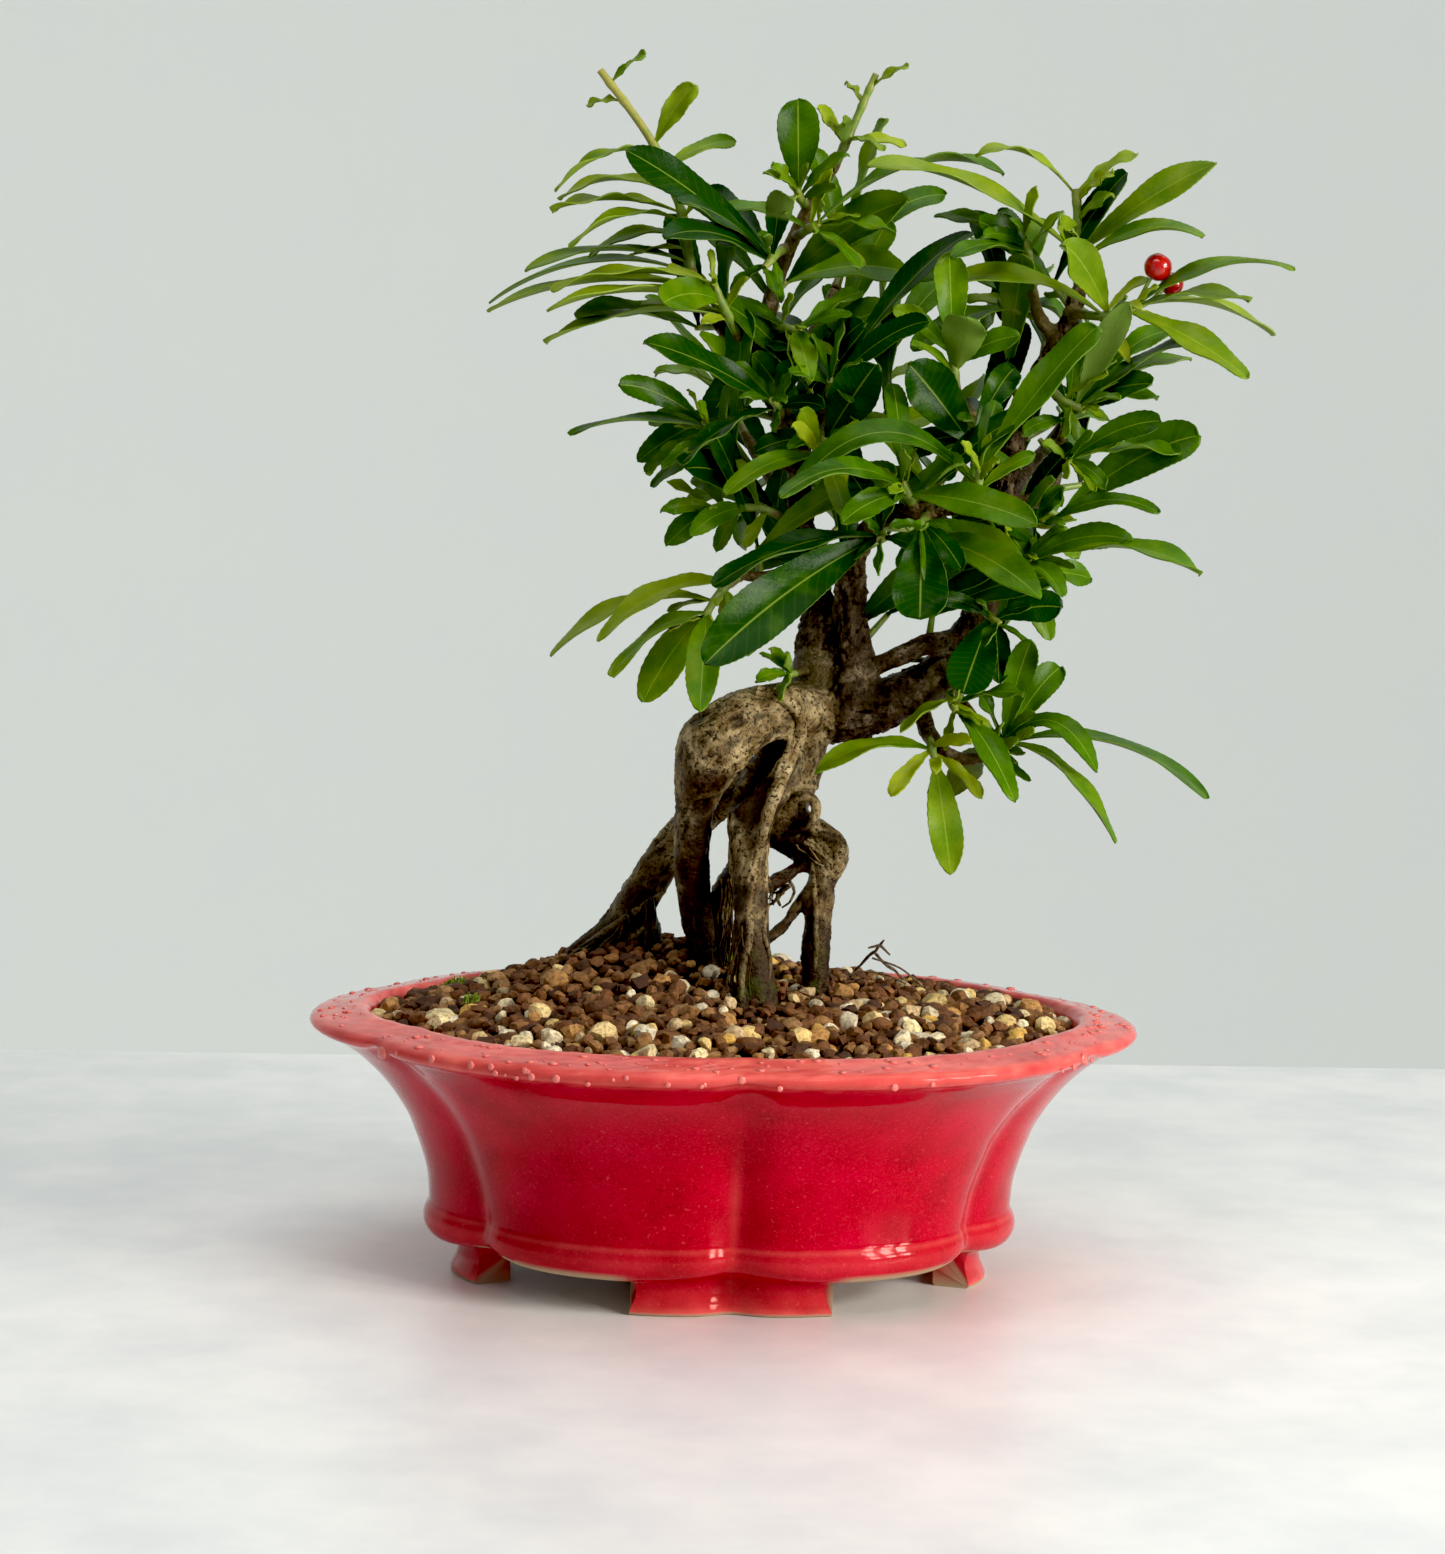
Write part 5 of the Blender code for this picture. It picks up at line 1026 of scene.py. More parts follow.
def smooth_stations(points: list[Station], step: float) -> list[Station]:
    """Draw a smooth curve through given stations.

    Args:
        points: The stations that the curve passes.
        step: How far apart the new stations are, in metres.

    Returns:
        The stations along the curve.
    """
    padded = [points[0]] + list(points) + [points[-1]]
    path = []
    for before, start, end, after in zip(padded, padded[1:], padded[2:], padded[3:]):
        steps = max(1, round((end.spot - start.spot).length / step))
        for number in range(steps):
            t = number / steps
            spot = 0.5 * (2 * start.spot + (end.spot - before.spot) * t
                          + (2 * before.spot - 5 * start.spot + 4 * end.spot - after.spot) * t ** 2
                          + (3 * start.spot - before.spot - 3 * end.spot + after.spot) * t ** 3)
            path.append(Station(spot, start.radius + (end.radius - start.radius) * t))
    path.append(points[-1])
    return path


def seen_stations(run: Iterable[tuple], step: float) -> list[Station]:
    """Turn a run of (across, down, front, diameter) places into smooth stations.

    Args:
        run: The places, with diameters in millimetres.
        step: How far apart the stations are, in metres.

    Returns:
        The stations along the run.
    """
    return smooth_stations([Station(VIEW.place(*spot[:3]), spot[3] * MM / 2) for spot in run], step)


def direction(stations: list[Station], number: int) -> Vector:
    """Work out which way a stem runs at one of its stations.

    Args:
        stations: The stations of the stem.
        number: Which of them it is.

    Returns:
        The unit direction from the station before to the one after.
    """
    ahead = stations[min(number + 1, len(stations) - 1)].spot
    behind = stations[max(number - 1, 0)].spot
    return (ahead - behind).normalized()


def search_tree(spots: list[Vector]) -> KDTree:
    """Build a search tree over places.

    Args:
        spots: The places.

    Returns:
        The tree, which names each place by its number in the list.
    """
    tree = KDTree(len(spots))
    for number, spot in enumerate(spots):
        tree.insert(spot, number)
    tree.balance()
    return tree


def tumbled(draw: random.Random, least: float, most: float) -> Matrix:
    """A lean by a chance angle between two, in radians, towards a chance side."""
    side = Matrix.Rotation(draw.uniform(0, 6.28), 4, "Z")
    return side @ Matrix.Rotation(draw.uniform(least, most), 4, "X")


def ring_frames(stations: list[Station]) -> list[Matrix]:
    """Work out how a unit ring sits square to each station, turned as little as possible.

    Args:
        stations: The stations of a stem.

    Returns:
        One matrix a station, scaled by its radius.
    """
    frames = []
    side = None
    for number, station in enumerate(stations):
        along = direction(stations, number)
        side = along.orthogonal() if side is None else side - along * side.dot(along)
        side = side.normalized()
        turn = Matrix((side, along.cross(side), along)).transposed().to_4x4()
        frame = turn @ Matrix.Scale(station.radius, 4)
        frame.translation = station.spot
        frames.append(frame)
    return frames


def grow_ring(shape: bmesh.types.BMesh, edges: list) -> tuple[list, list]:
    """Extrude a ring's edges, still in place.

    Args:
        shape: The mesh that the ring is part of.
        edges: The ring's edges.

    Returns:
        The corners and the edges of the new ring.
    """
    grown = bmesh.ops.extrude_edge_only(shape, edges=edges)["geom"]
    ring = [item for item in grown if isinstance(item, bmesh.types.BMVert)]
    fresh = set(ring)
    lines = [item for item in grown if isinstance(item, bmesh.types.BMEdge)]
    return ring, [line for line in lines if fresh.issuperset(line.verts)]


def start_ring(shape: bmesh.types.BMesh, sides: int, pose: Matrix) -> tuple[list, list]:
    """Add a ring of a unit's radius, posed, to a mesh.

    Args:
        shape: The mesh to add to.
        sides: How many sides the ring has.
        pose: Where and how large it is.

    Returns:
        The corners and the edges of the ring.
    """
    ring = bmesh.ops.create_circle(shape, cap_ends=False, segments=sides, radius=1.0, matrix=pose)["verts"]
    return ring, list({edge for corner in ring for edge in corner.link_edges})


def sweep(shape: bmesh.types.BMesh, stations: list[Station], sides: int, mark: str = "",
          marks: tuple[float, float] = (0.0, 1.0)) -> None:
    """Draw a round stem by extruding a ring from each station to the next.

    Args:
        shape: The mesh to add the stem to.
        stations: The stations of the stem.
        sides: How many sides the ring has.
        mark: The name of a number that runs along the stem, if it carries one.
        marks: That number at the stem's foot and at its tip.
    """
    frames = ring_frames(stations)
    layer = (shape.verts.layers.float.get(mark) or shape.verts.layers.float.new(mark)) if mark else None
    ring, edges = start_ring(shape, sides, frames[0])
    ends = [edges]
    for number, (before, after) in enumerate(zip(frames, frames[1:])):
        if layer is not None:
            value = marks[0] + (marks[1] - marks[0]) * number / (len(frames) - 1)
            for corner in ring:
                corner[layer] = value
        ring, edges = grow_ring(shape, edges)
        bmesh.ops.transform(shape, matrix=after @ before.inverted(), verts=ring)
    if layer is not None:
        for corner in ring:
            corner[layer] = marks[1]
    ends.append(edges)
    for end in ends:
        bmesh.ops.edgeloop_fill(shape, edges=end)


def loft(shape: bmesh.types.BMesh, sections: list[list[Vector]]) -> None:
    """Skin a run of closed sections, from one ring extruded from each section to the next.

    Args:
        shape: An empty mesh to build in.
        sections: The sections, of equally many points each.
    """
    number_layer = shape.verts.layers.int.new("corner")
    ring, edges = start_ring(shape, len(sections[0]), Matrix.Identity(4))
    for number, corner in enumerate(ring):
        corner[number_layer] = number
    ends = [edges]
    for row, section in enumerate(sections):
        if row:
            ring, edges = grow_ring(shape, edges)
        for corner in ring:
            corner.co = section[corner[number_layer]]
    ends.append(edges)
    for end in ends:
        bmesh.ops.edgeloop_fill(shape, edges=end)
    bmesh.ops.recalc_face_normals(shape, faces=shape.faces)
    shape.verts.layers.int.remove(shape.verts.layers.int["corner"])


def to_mesh(name: str, shape: bmesh.types.BMesh) -> bpy.types.Mesh:
    """Store a shape as a mesh and free it.

    Args:
        name: The mesh's name.
        shape: The shape.

    Returns:
        The mesh.
    """
    mesh = bpy.data.meshes.new(name)
    shape.to_mesh(mesh)
    shape.free()
    return mesh


def absorb(shape: bmesh.types.BMesh, mesh: bpy.types.Mesh) -> None:
    """Add a mesh to a shape, and drop the mesh."""
    shape.from_mesh(mesh)
    bpy.data.meshes.remove(mesh)


def add_piece(name: str, mesh: bpy.types.Mesh, finishes: Iterable[bpy.types.Material],
              stands_for: Iterable[str] = (), crisp: float = 50.0) -> bpy.types.Object:
    """Put a finished mesh into the scene as a piece of the tree.

    Args:
        name: The piece's name.
        mesh: Its mesh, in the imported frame.
        finishes: Its materials, in the order that its faces name them.
        stands_for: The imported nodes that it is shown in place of.
        crisp: The angle in degrees from which an edge stays sharp.

    Returns:
        The piece.
    """
    piece = bpy.data.objects.new(name, mesh)
    bpy.context.scene.collection.objects.link(piece)
    for finish in finishes:
        mesh.materials.append(finish)
    mesh.shade_smooth()
    mesh.set_sharp_from_angle(angle=math.radians(crisp))
    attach(piece, BODY)
    nodes = tuple(stands_for)
    if nodes:
        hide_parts(*nodes)
    LOG.info("%s: %d faces", name, len(mesh.polygons))
    return piece


def apply_modifiers(piece: bpy.types.Object) -> bpy.types.Mesh:
    """Take what an object's modifiers make of it, and drop the object.

    Args:
        piece: A scratch object.

    Returns:
        The mesh that its modifiers gave.
    """
    seen = piece.evaluated_get(bpy.context.evaluated_depsgraph_get())
    mesh = bpy.data.meshes.new_from_object(seen)
    mesh.materials.clear()
    bpy.data.objects.remove(piece, do_unlink=True)
    return mesh


def scratch_object(mesh: bpy.types.Mesh) -> bpy.types.Object:
    """Show a mesh as a scratch object, for its modifiers."""
    item = bpy.data.objects.new("scratch", mesh)
    bpy.context.scene.collection.objects.link(item)
    return item


@dataclass(frozen=True)
class Pot:
    """The pot: a wall that flares in six lobes to a broad rolled rim, on a belted foot ring and four feet."""

    half_length: float = 90.0 * MM
    half_width: float = 73.8 * MM
    floor_height: float = 13.2 * MM
    lobes: int = 6
    sides: int = 216
    step: float = 0.8 * MM
    crease_rounding: float = 0.032
    groove: float = 0.042
    groove_width: float = 0.085
    rim_lift: float = 1.1 * MM
    scallop: float = 1.5 * MM
    crinkle: float = 0.16 * MM
    drain_radius: float = 5.5 * MM
    drain_places: tuple = ((-26.0 * MM, 0.0), (26.0 * MM, 0.0))
    rim_depth: float = 0.235
    # Between which heights the creases' grooves fade out, and the share of them that stays at the rim
    groove_fade: tuple = (54 * MM, 32 * MM)
    groove_left: float = 0.12
    # Heights in mm between which the glaze's looks come and go: the pale rim, its outer band, its lip
    # and the valleys of the creases, pale as thin glaze and as painted highlight, and the height under
    # which the foot ring is bare clay
    rim_levels: tuple = (52.4, 54.0)
    band_levels: tuple = (56.6, 55.2)
    lip_levels: tuple = (53.8, 52.8)
    valley_levels: tuple = (46.0, 24.0)
    bare_under: float = 9.6
    # Pale lines at the belt, thin glaze and painted highlight: (height in mm, spread in mm, share)
    belt_lines: tuple = ((14.7, 0.5, 0.3), (12.2, 2.2, 0.14))
    # Where it pales down the feet, thin glaze and painted highlight: (from height, to height, share)
    foot_thins_and_highlights: tuple = ((7.5, 3.0, 0.2), (2.4, 0.9, 0.4))
    # Beads of water: how many are tried, their sizes in mm, and the crowds that they stand in round the
    # rim as (angle, spread, share)
    drop_tries: int = 520
    drop_sizes: tuple = (0.35, 0.45, 0.6, 0.75, 1.0)
    drop_crowds: tuple = ((2.75, 0.5, 1.0), (6.0, 0.45, 1.0), (4.5, 0.4, 0.5))
    drop_least: float = 0.35
    drops_on_top: float = 0.6
    # (half length at a lobe's middle, height, depth of the creases as a share), in mm
    outside: tuple = (
        (46.0, 8.4, 0.30), (58.5, 7.7, 0.33), (61.5, 7.8, 0.33), (63.4, 8.8, 0.34), (64.6, 10.6, 0.35),
        (64.9, 12.4, 0.35), (64.6, 13.9, 0.345), (64.2, 14.8, 0.34), (63.8, 15.6, 0.33), (63.75, 17.2, 0.32),
        (64.2, 22.0, 0.29), (65.4, 26.5, 0.27), (67.0, 31.0, 0.255), (69.0, 35.6, 0.245), (73.6, 42.3, 0.24),
        (79.0, 47.8, 0.24), (83.8, 51.3, 0.237), (86.8, 53.0, 0.235), (88.8, 53.7, 0.235),
        (89.7, 54.4, 0.235), (90.0, 55.1, 0.235), (89.7, 55.9, 0.235), (88.8, 56.5, 0.235),
        (87.0, 56.9, 0.235), (83.0, 57.5, 0.235), (79.8, 58.1, 0.235), (78.2, 58.0, 0.235),
        (77.0, 56.9, 0.232), (76.3, 54.8, 0.23),
    )
    inside: tuple = (
        (75.4, 52.6, 0.23), (66.5, 41.0, 0.22), (60.2, 28.0, 0.18), (58.4, 16.0, 0.16), (55.0, 13.2, 0.16),
    )
    foot_depth: float = 0.30
    foot_half_angle: float = math.radians(21.6)
    foot_stations: int = 32
    foot_section: tuple = (
        (54.0, 10.4), (62.2, 10.2), (60.4, 9.0), (58.6, 7.9), (57.5, 6.6), (57.2, 5.2), (57.5, 3.6),
        (58.2, 2.0), (58.7, 0.9), (58.6, 0.25), (58.0, 0.0), (51.2, 0.0), (50.5, 0.5), (50.1, 4.0),
        (49.6, 10.4),
    )

    def from_crease(self, angle: float) -> float:
        """How far an angle is from the nearest crease between two lobes."""
        across = math.pi / self.lobes
        return across - abs((angle + across) % (2 * across) - across)

    def share(self, angle: float, depth: float) -> float:
        """How far the lobed outline stands out at an angle, as a share of its oval.

        Args:
            angle: The angle round the pot, in radians.
            depth: How deep the creases are, as a share.

        Returns:
            The share, which is 1 at a lobe's middle.
        """
        across = math.pi / self.lobes
        near = self.from_crease(angle)
        phase = across - near
        soft = self.crease_rounding
        if near < soft:
            phase = across - (soft / 2 + near * near / (2 * soft))
        size = 1.0 - depth
        return depth * math.cos(phase) + math.sqrt(size ** 2 - (depth * math.sin(phase)) ** 2)

    def spot(self, angle: float, half_length: float, height: float, depth: float) -> Vector:
        """The point of the lobed outline at an angle and level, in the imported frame.

        Args:
            angle: The angle round the pot, in radians.
            half_length: Half the outline's length, in metres.
            height: Its height.
            depth: How deep the creases are, as a share.

        Returns:
            The point.
        """
        half_width = self.half_width - (self.half_length - half_length)
        pinch = math.exp(-(self.from_crease(angle) / self.groove_width) ** 2) * math.sin(angle) ** 2
        share = self.share(angle, depth)
        fade = self.groove_left + (1.0 - self.groove_left) * smooth_step(*self.groove_fade, height)
        share -= self.groove * pinch * fade
        return POT_MIDDLE + Vector((
            half_length * share * math.cos(angle), half_width * share * math.sin(angle), height))

    def profile(self) -> list[tuple[Vector, float]]:
        """Smooth the profile.

        Returns:
            Places as (half length, 0, height), with the depth of the creases there, from the pot's
            underside over its rim to its inner floor.
        """
        points = [Station(Vector((a, 0.0, z)) * MM, depth) for a, z, depth in self.outside + self.inside]
        return [(station.spot, station.radius) for station in smooth_stations(points, self.step)]

    def lift(self, angle: float, place: Vector) -> float:
        """How far the shell is lifted at the creases, under its foot ring and inside its rim.

        Args:
            angle: The angle round the pot, in radians.
            place: The place on the smoothed profile.

        Returns:
            The lift, in metres.
        """
        near = self.from_crease(angle)
        scallop = self.scallop * math.exp(-(near / 0.2) ** 2) * smooth_step(14 * MM, 8.5 * MM, place.z)
        scallop *= smooth_step(52 * MM, 58 * MM, place.x)
        crest = self.rim_lift * math.exp(-(near / 0.06) ** 2) * smooth_step(78 * MM, 84 * MM, place.x)
        return scallop + crest * smooth_step(56.5 * MM, 53.0 * MM, place.z)

    def body(self) -> bmesh.types.BMesh:
        """The lobed shell.

        Returns:
            The shell from the pot's underside over its rim to its inner floor.
        """
        sections = []
        for place, depth in self.profile():
            section = []
            for side in range(self.sides):
                angle = 2 * math.pi * side / self.sides
                section.append(self.spot(angle, place.x, place.z + self.lift(angle, place), depth))
            sections.append(section)
        shape = bmesh.new()
        loft(shape, sections)
        return shape

    def foot(self, middle: float) -> bmesh.types.BMesh:
        """One foot, which follows the pot's outline for a few degrees and sweeps in under it at both ends.

        Args:
            middle: The angle round the pot at the foot's middle, in radians.

        Returns:
            The foot.
        """
        sections = []
        for station in range(self.foot_stations + 1):
            off = 2 * station / self.foot_stations - 1
            off = math.copysign(abs(off) ** 0.8, off)
            section = []
            for a, z in self.foot_section:
                spread = 0.985 - 0.05 * smooth_step(0.0, 4.5, z) + 0.30 * smooth_step(5.2, 10.6, z) ** 1.5
                angle = middle + self.foot_half_angle * spread * off
                section.append(self.spot(angle, a * MM, z * MM, self.foot_depth))
            sections.append(section)
        shape = bmesh.new()
        loft(shape, sections)
        return shape

    def drain(self, middle: tuple) -> bmesh.types.BMesh:
        """The cutter for one drain hole.

        Args:
            middle: Where the hole is, from the pot's middle.

        Returns:
            The cutter.
        """
        shape = bmesh.new()
        height = self.floor_height + 4 * MM
        centre = POT_MIDDLE + Vector((middle[0], middle[1], height / 2))
        bmesh.ops.create_cone(shape, cap_ends=True, segments=48, radius1=self.drain_radius,
                              radius2=self.drain_radius, depth=height, matrix=Matrix.Translation(centre))
        return shape

    def dress(self, mesh: bpy.types.Mesh) -> None:
        """Write where the glaze pales (thin glaze and painted highlight), where clay is bare; crinkle the
        rim's glaze.

        Args:
            mesh: The pot's mesh, which is changed.
        """
        shape = bmesh.new()
        shape.from_mesh(mesh)
        bmesh.ops.remove_doubles(shape, verts=shape.verts, dist=0.01 * MM)
        thin = shape.verts.layers.float.new("thin_glaze_and_highlight")
        bare = shape.verts.layers.float.new("bare_clay")
        shape.normal_update()
        moves = []
        for corner in shape.verts:
            spot = (corner.co - POT_MIDDLE) / MM
            angle = math.atan2(spot.y / self.half_width, spot.x / self.half_length)
            rough = noise.noise(corner.co / (3.2 * MM))
            rim = smooth_step(*self.rim_levels, spot.z + 0.5 * rough)
            band = smooth_step(*self.band_levels, spot.z)
            hollow = band * (0.24 - 0.3 * smooth_step(*self.lip_levels, spot.z))
            belt = sum(math.exp(-((spot.z - height) / spread) ** 2) * share
                       for height, spread, share in self.belt_lines)
            foot = sum(smooth_step(high, low, spot.z) * share for high, low, share in self.foot_thins_and_highlights)
            near = self.from_crease(angle)
            valley = math.exp(-(near / 0.022) ** 2) * smooth_step(*self.valley_levels, spot.z) * 0.2
            mottle = 0.5 * noise.noise(corner.co / (1.3 * MM)) + 0.25 * noise.noise(corner.co / (5.0 * MM))
            mottle *= 1.0 - 0.7 * band
            # the pale of thin glaze and painted highlight: rim and band, belt, feet and crease valleys
            thin_and_highlight = max(rim * (0.8 - hollow + mottle), belt + foot, valley) * (1.0 + 0.35 * rough)
            corner[thin] = min(1.0, thin_and_highlight)
            off_foot = min(abs(angle - side * math.pi / 2) for side in range(-2, 3))
            under = smooth_step(-0.5, -0.72, corner.normal.z) * (spot.z < self.bare_under)
            under *= smooth_step(self.foot_half_angle * 0.95, self.foot_half_angle * 1.2, off_foot)
            corner[bare] = max(under, smooth_step(0.75, 0.35, spot.z + 0.2 * rough))
            if rim:
                ripple = noise.fractal(corner.co / (1.9 * MM), 0.6, 2.0, 3) * (1.0 - 0.85 * band)
                moves.append((corner, corner.normal * (self.crinkle * ripple * rim)))
        for corner, move in moves:
            corner.co += move
        shape.to_mesh(mesh)
        shape.free()

    def build(self, glaze: bpy.types.Material) -> bpy.types.Object:
        """Build the pot.

        Args:
            glaze: Its glaze.

        Returns:
            The pot.
        """
        pot = scratch_object(to_mesh("pot_shell", self.body()))
        feet = [scratch_object(to_mesh("foot", self.foot(side * math.pi / 2))) for side in range(4)]
        drains = [scratch_object(to_mesh("drain", self.drain(middle))) for middle in self.drain_places]
        for item in feet + drains:
            join = pot.modifiers.new("join", "BOOLEAN")
            join.operation = "UNION" if item in feet else "DIFFERENCE"
            join.object = item
            join.solver = "MANIFOLD"
        mesh = apply_modifiers(pot)
        for item in feet + drains:
            bpy.data.objects.remove(item, do_unlink=True)
        self.dress(mesh)
        return add_piece("glazed_pot", mesh, [glaze], ["pot"], crisp=65.0)

    def build_drops(self, water: bpy.types.Material, draw: random.Random) -> bpy.types.Object:
        """Build the beads of water that stand on the rim.

        Args:
            water: Their material.
            draw: The source of chance.

        Returns:
            The beads, as one piece.
        """
        template = bmesh.new()
        bmesh.ops.create_icosphere(template, subdivisions=2, radius=1.0)
        bead = to_mesh("bead", template)
        shape = bmesh.new()
        for _bead in range(self.drop_tries):
            angle = draw.uniform(0.0, 2 * math.pi)
            crowd = max(share * math.exp(-((angle - middle) / spread) ** 2)
                        for middle, spread, share in self.drop_crowds)
            size = draw.choice(self.drop_sizes) * MM * draw.uniform(0.8, 1.2)
            on_top = draw.uniform(0.0, 1.0) < self.drops_on_top
            chance = self.drop_least + (1.0 - self.drop_least) * crowd
            if draw.random() > chance or (not on_top and math.sin(angle) > -0.5):
                continue
            size *= 1.0 if on_top else 1.3
            if on_top:
                a, lean = 80.0 + 8.0 * draw.random(), Vector((0.0, 0.0, 1.0))
                z = 58.0 - (a - 80.0) * 0.16
            else:
                a, z = 89.9, draw.uniform(54.0, 55.8)
                lean = Vector((math.cos(angle), math.sin(angle), 0.0))
            spot = self.spot(angle, a * MM, z * MM, self.rim_depth)
            turn = Vector((0.0, 0.0, 1.0)).rotation_difference(lean).to_matrix().to_4x4()
            squat = Matrix.Diagonal((size, size, size * 0.45, 1.0))
            append_copy(shape, bead, Matrix.Translation(spot) @ turn @ squat)
        bpy.data.meshes.remove(bead)
        mesh = to_mesh("rim_water_drops", shape)
        return add_piece("rim_water_drops", mesh, [water], crisp=180.0)


def smooth_step(low: float, high: float, value: float) -> float:
    """Rise smoothly from 0 at low to 1 at high; low may be the larger.

    Args:
        low: Where the rise starts.
        high: Where it ends.
        value: The value to judge.

    Returns:
        A share from 0 to 1.
    """
    share = max(0.0, min(1.0, (value - low) / (high - low)))
    return share * share * (3.0 - 2.0 * share)


def append_copy(shape: bmesh.types.BMesh, template: bpy.types.Mesh, pose: Matrix,
                tone: Optional[tuple] = None) -> None:
    """Add a posed copy of a template mesh to a shape.

    Args:
        shape: The shape that grows.
        template: The mesh to copy.
        pose: Where and how large the copy is.
        tone: A linear colour for the copy's own corners, if it carries one.
    """
    start = len(shape.verts)
    template.transform(pose)
    shape.from_mesh(template)
    template.transform(pose.inverted())
    if tone is not None:
        colours = shape.verts.layers.float_color
        layer = colours.get("grain_tone") or colours.new("grain_tone")
        shape.verts.ensure_lookup_table()
        for corner in shape.verts[start:]:
            corner[layer] = tone


@dataclass(frozen=True)
class Soil:
    """The filled pot: a dark bed, and the sifted grains of baked clay and pumice that lie on it."""

    edge_height: float = 56.5 * MM
    dome: float = 7.2 * MM
    mound_height: float = 9.4 * MM
    mound_middle: tuple = (-17.0 * MM, 8.0 * MM)
    mound_spread: tuple = (20.0 * MM, 17.0 * MM)
    edge_half_length: float = 76.45 * MM
    edge_depth: float = 0.235
    sunk: float = 2.1 * MM
    grain_sizes: tuple = (2.3, 2.8, 3.2, 3.6, 4.3)
    pale_sizes: tuple = (3.0, 3.7, 4.6, 5.6)
    pale_share: float = 0.15
    browns: tuple = ("#774a24", "#85592f", "#693e1a", "#92683a", "#5a3416", "#7a5029", "#4a2a12", "#9c7548")
    pales: tuple = ("#efd9a2", "#e2c27a", "#ecdab0", "#d6a850", "#e8ca8a", "#ccae80", "#f1e1bd", "#bd8a4c")
    template_count: int = 9
    # How much longer, broader and lower than round a grain may be
    grain_squash: tuple = ((0.95, 1.2), (0.85, 1.1), (0.72, 1.0))
    # The bed's side: (half length at a lobe's middle, height, depth of the creases as a share), in mm
    bed_wall: tuple = ((54.4, 14.7, 0.16), (57.6, 17.0, 0.16), (59.7, 28.0, 0.18), (66.0, 41.0, 0.22))
    bed_sides: int = 108
    bed_rings: int = 30
    # How much of the soil's oval the bed and the grains fill
    inset: float = 0.985
    # Layers of grains: (pitch, share of a grain that is sunk, whether it is the one that is seen)
    grain_layers: tuple = ((3.15 * MM, 0.42, True), (4.1 * MM, 0.95, False))
    row_pitch: float = 0.866
    jitter: float = 0.3
    grain_lean: float = 0.9
    moss_lean: float = 0.8
    sight_steps: int = 400

    def share(self, pot: Pot, x: float, y: float) -> float:
        """How far out a place lies, from 0 at the pot's middle to 1 at the soil's edge.

        Args:
            pot: The pot.
            x: How far right of the pot's middle the place is.
            y: How far behind the pot's middle it is.

        Returns:
            The share.
        """
        half_width = pot.half_width - (pot.half_length - self.edge_half_length)
        angle = math.atan2(y / half_width, x / self.edge_half_length)
        reach = math.hypot(x / self.edge_half_length, y / half_width)
        return reach / pot.share(angle, self.edge_depth)

    def height(self, x: float, y: float, share: float) -> float:
        """The height of the grains' top: a low dome with a mound round the roots.

        Args:
            x: How far right of the pot's middle the place is.
            y: How far behind the pot's middle it is.
            share: How far out it lies, from 0 to 1.

        Returns:
            The height, in metres.
        """
        off_x = (x - self.mound_middle[0]) / self.mound_spread[0]
        off_y = (y - self.mound_middle[1]) / self.mound_spread[1]
        mound = self.mound_height * math.exp(-(off_x ** 2 + off_y ** 2) / 2)
        return self.edge_height + self.dome * (1.0 - share ** 3) + mound * (1.0 - share ** 4)

    def build_bed(self, pot: Pot, earth: bpy.types.Material) -> bpy.types.Object:
        """Build the bed under the grains.

        Args:
            pot: The pot that it fills.
            earth: Its material.

        Returns:
            The bed.
        """
        angles = [2 * math.pi * side / self.bed_sides for side in range(self.bed_sides)]
        sections = [[pot.spot(angle, a * MM, z * MM, depth) for angle in angles]
                    for a, z, depth in self.bed_wall]
        half_width = pot.half_width - (pot.half_length - self.edge_half_length)
        for ring in range(self.bed_rings):
            share = 1.0 - ring / (self.bed_rings - 0.6)
            section = []
            for angle in angles:
                out = share * pot.share(angle, self.edge_depth)
                x = self.edge_half_length * self.inset * out * math.cos(angle)
                y = half_width * self.inset * out * math.sin(angle)
                spot = Vector((x, y, self.height(x, y, share) - self.sunk))
                spot.z += 0.7 * MM * noise.noise(spot / (2.2 * MM)) * (ring > 0)
                section.append(POT_MIDDLE + spot)
            sections.append(section)
        shape = bmesh.new()
        loft(shape, sections)
        return add_piece("soil_bed", to_mesh("soil_bed", shape), [earth], ["soil"], crisp=180.0)

    def templates(self, draw: random.Random, faces: int, roughness: float) -> list[bpy.types.Mesh]:
        """A few grain shapes: lumps that broken faces cut, none of them round.

        Args:
            draw: The source of chance.
            faces: How many broken faces a grain has.
            roughness: How crumbly it is.

        Returns:
            The shapes, about 1 across.
        """
        made = []
        for number in range(self.template_count):
            shape = bmesh.new()
            bmesh.ops.create_icosphere(shape, subdivisions=2, radius=0.5)
            cuts = [(Vector([draw.gauss(0, 1) for _axis in range(3)]).normalized(), draw.uniform(0.33, 0.5))
                    for _face in range(faces)]
            shift = Vector((draw.uniform(0, 40), draw.uniform(0, 40), number * 7.0))
            for corner in shape.verts:
                way = corner.co.normalized()
                reach = min([level / way.dot(cut) for cut, level in cuts if way.dot(cut) > 0.35] + [0.58])
                corner.co = way * reach * (1.0 + roughness * noise.noise(way * 2.4 + shift))
            squash = [draw.uniform(*limits) for limits in self.grain_squash]
            bmesh.ops.transform(shape, matrix=Matrix.Diagonal((*squash, 1.0)), verts=shape.verts)
            made.append(to_mesh(f"grain_{number}", shape))
        return made

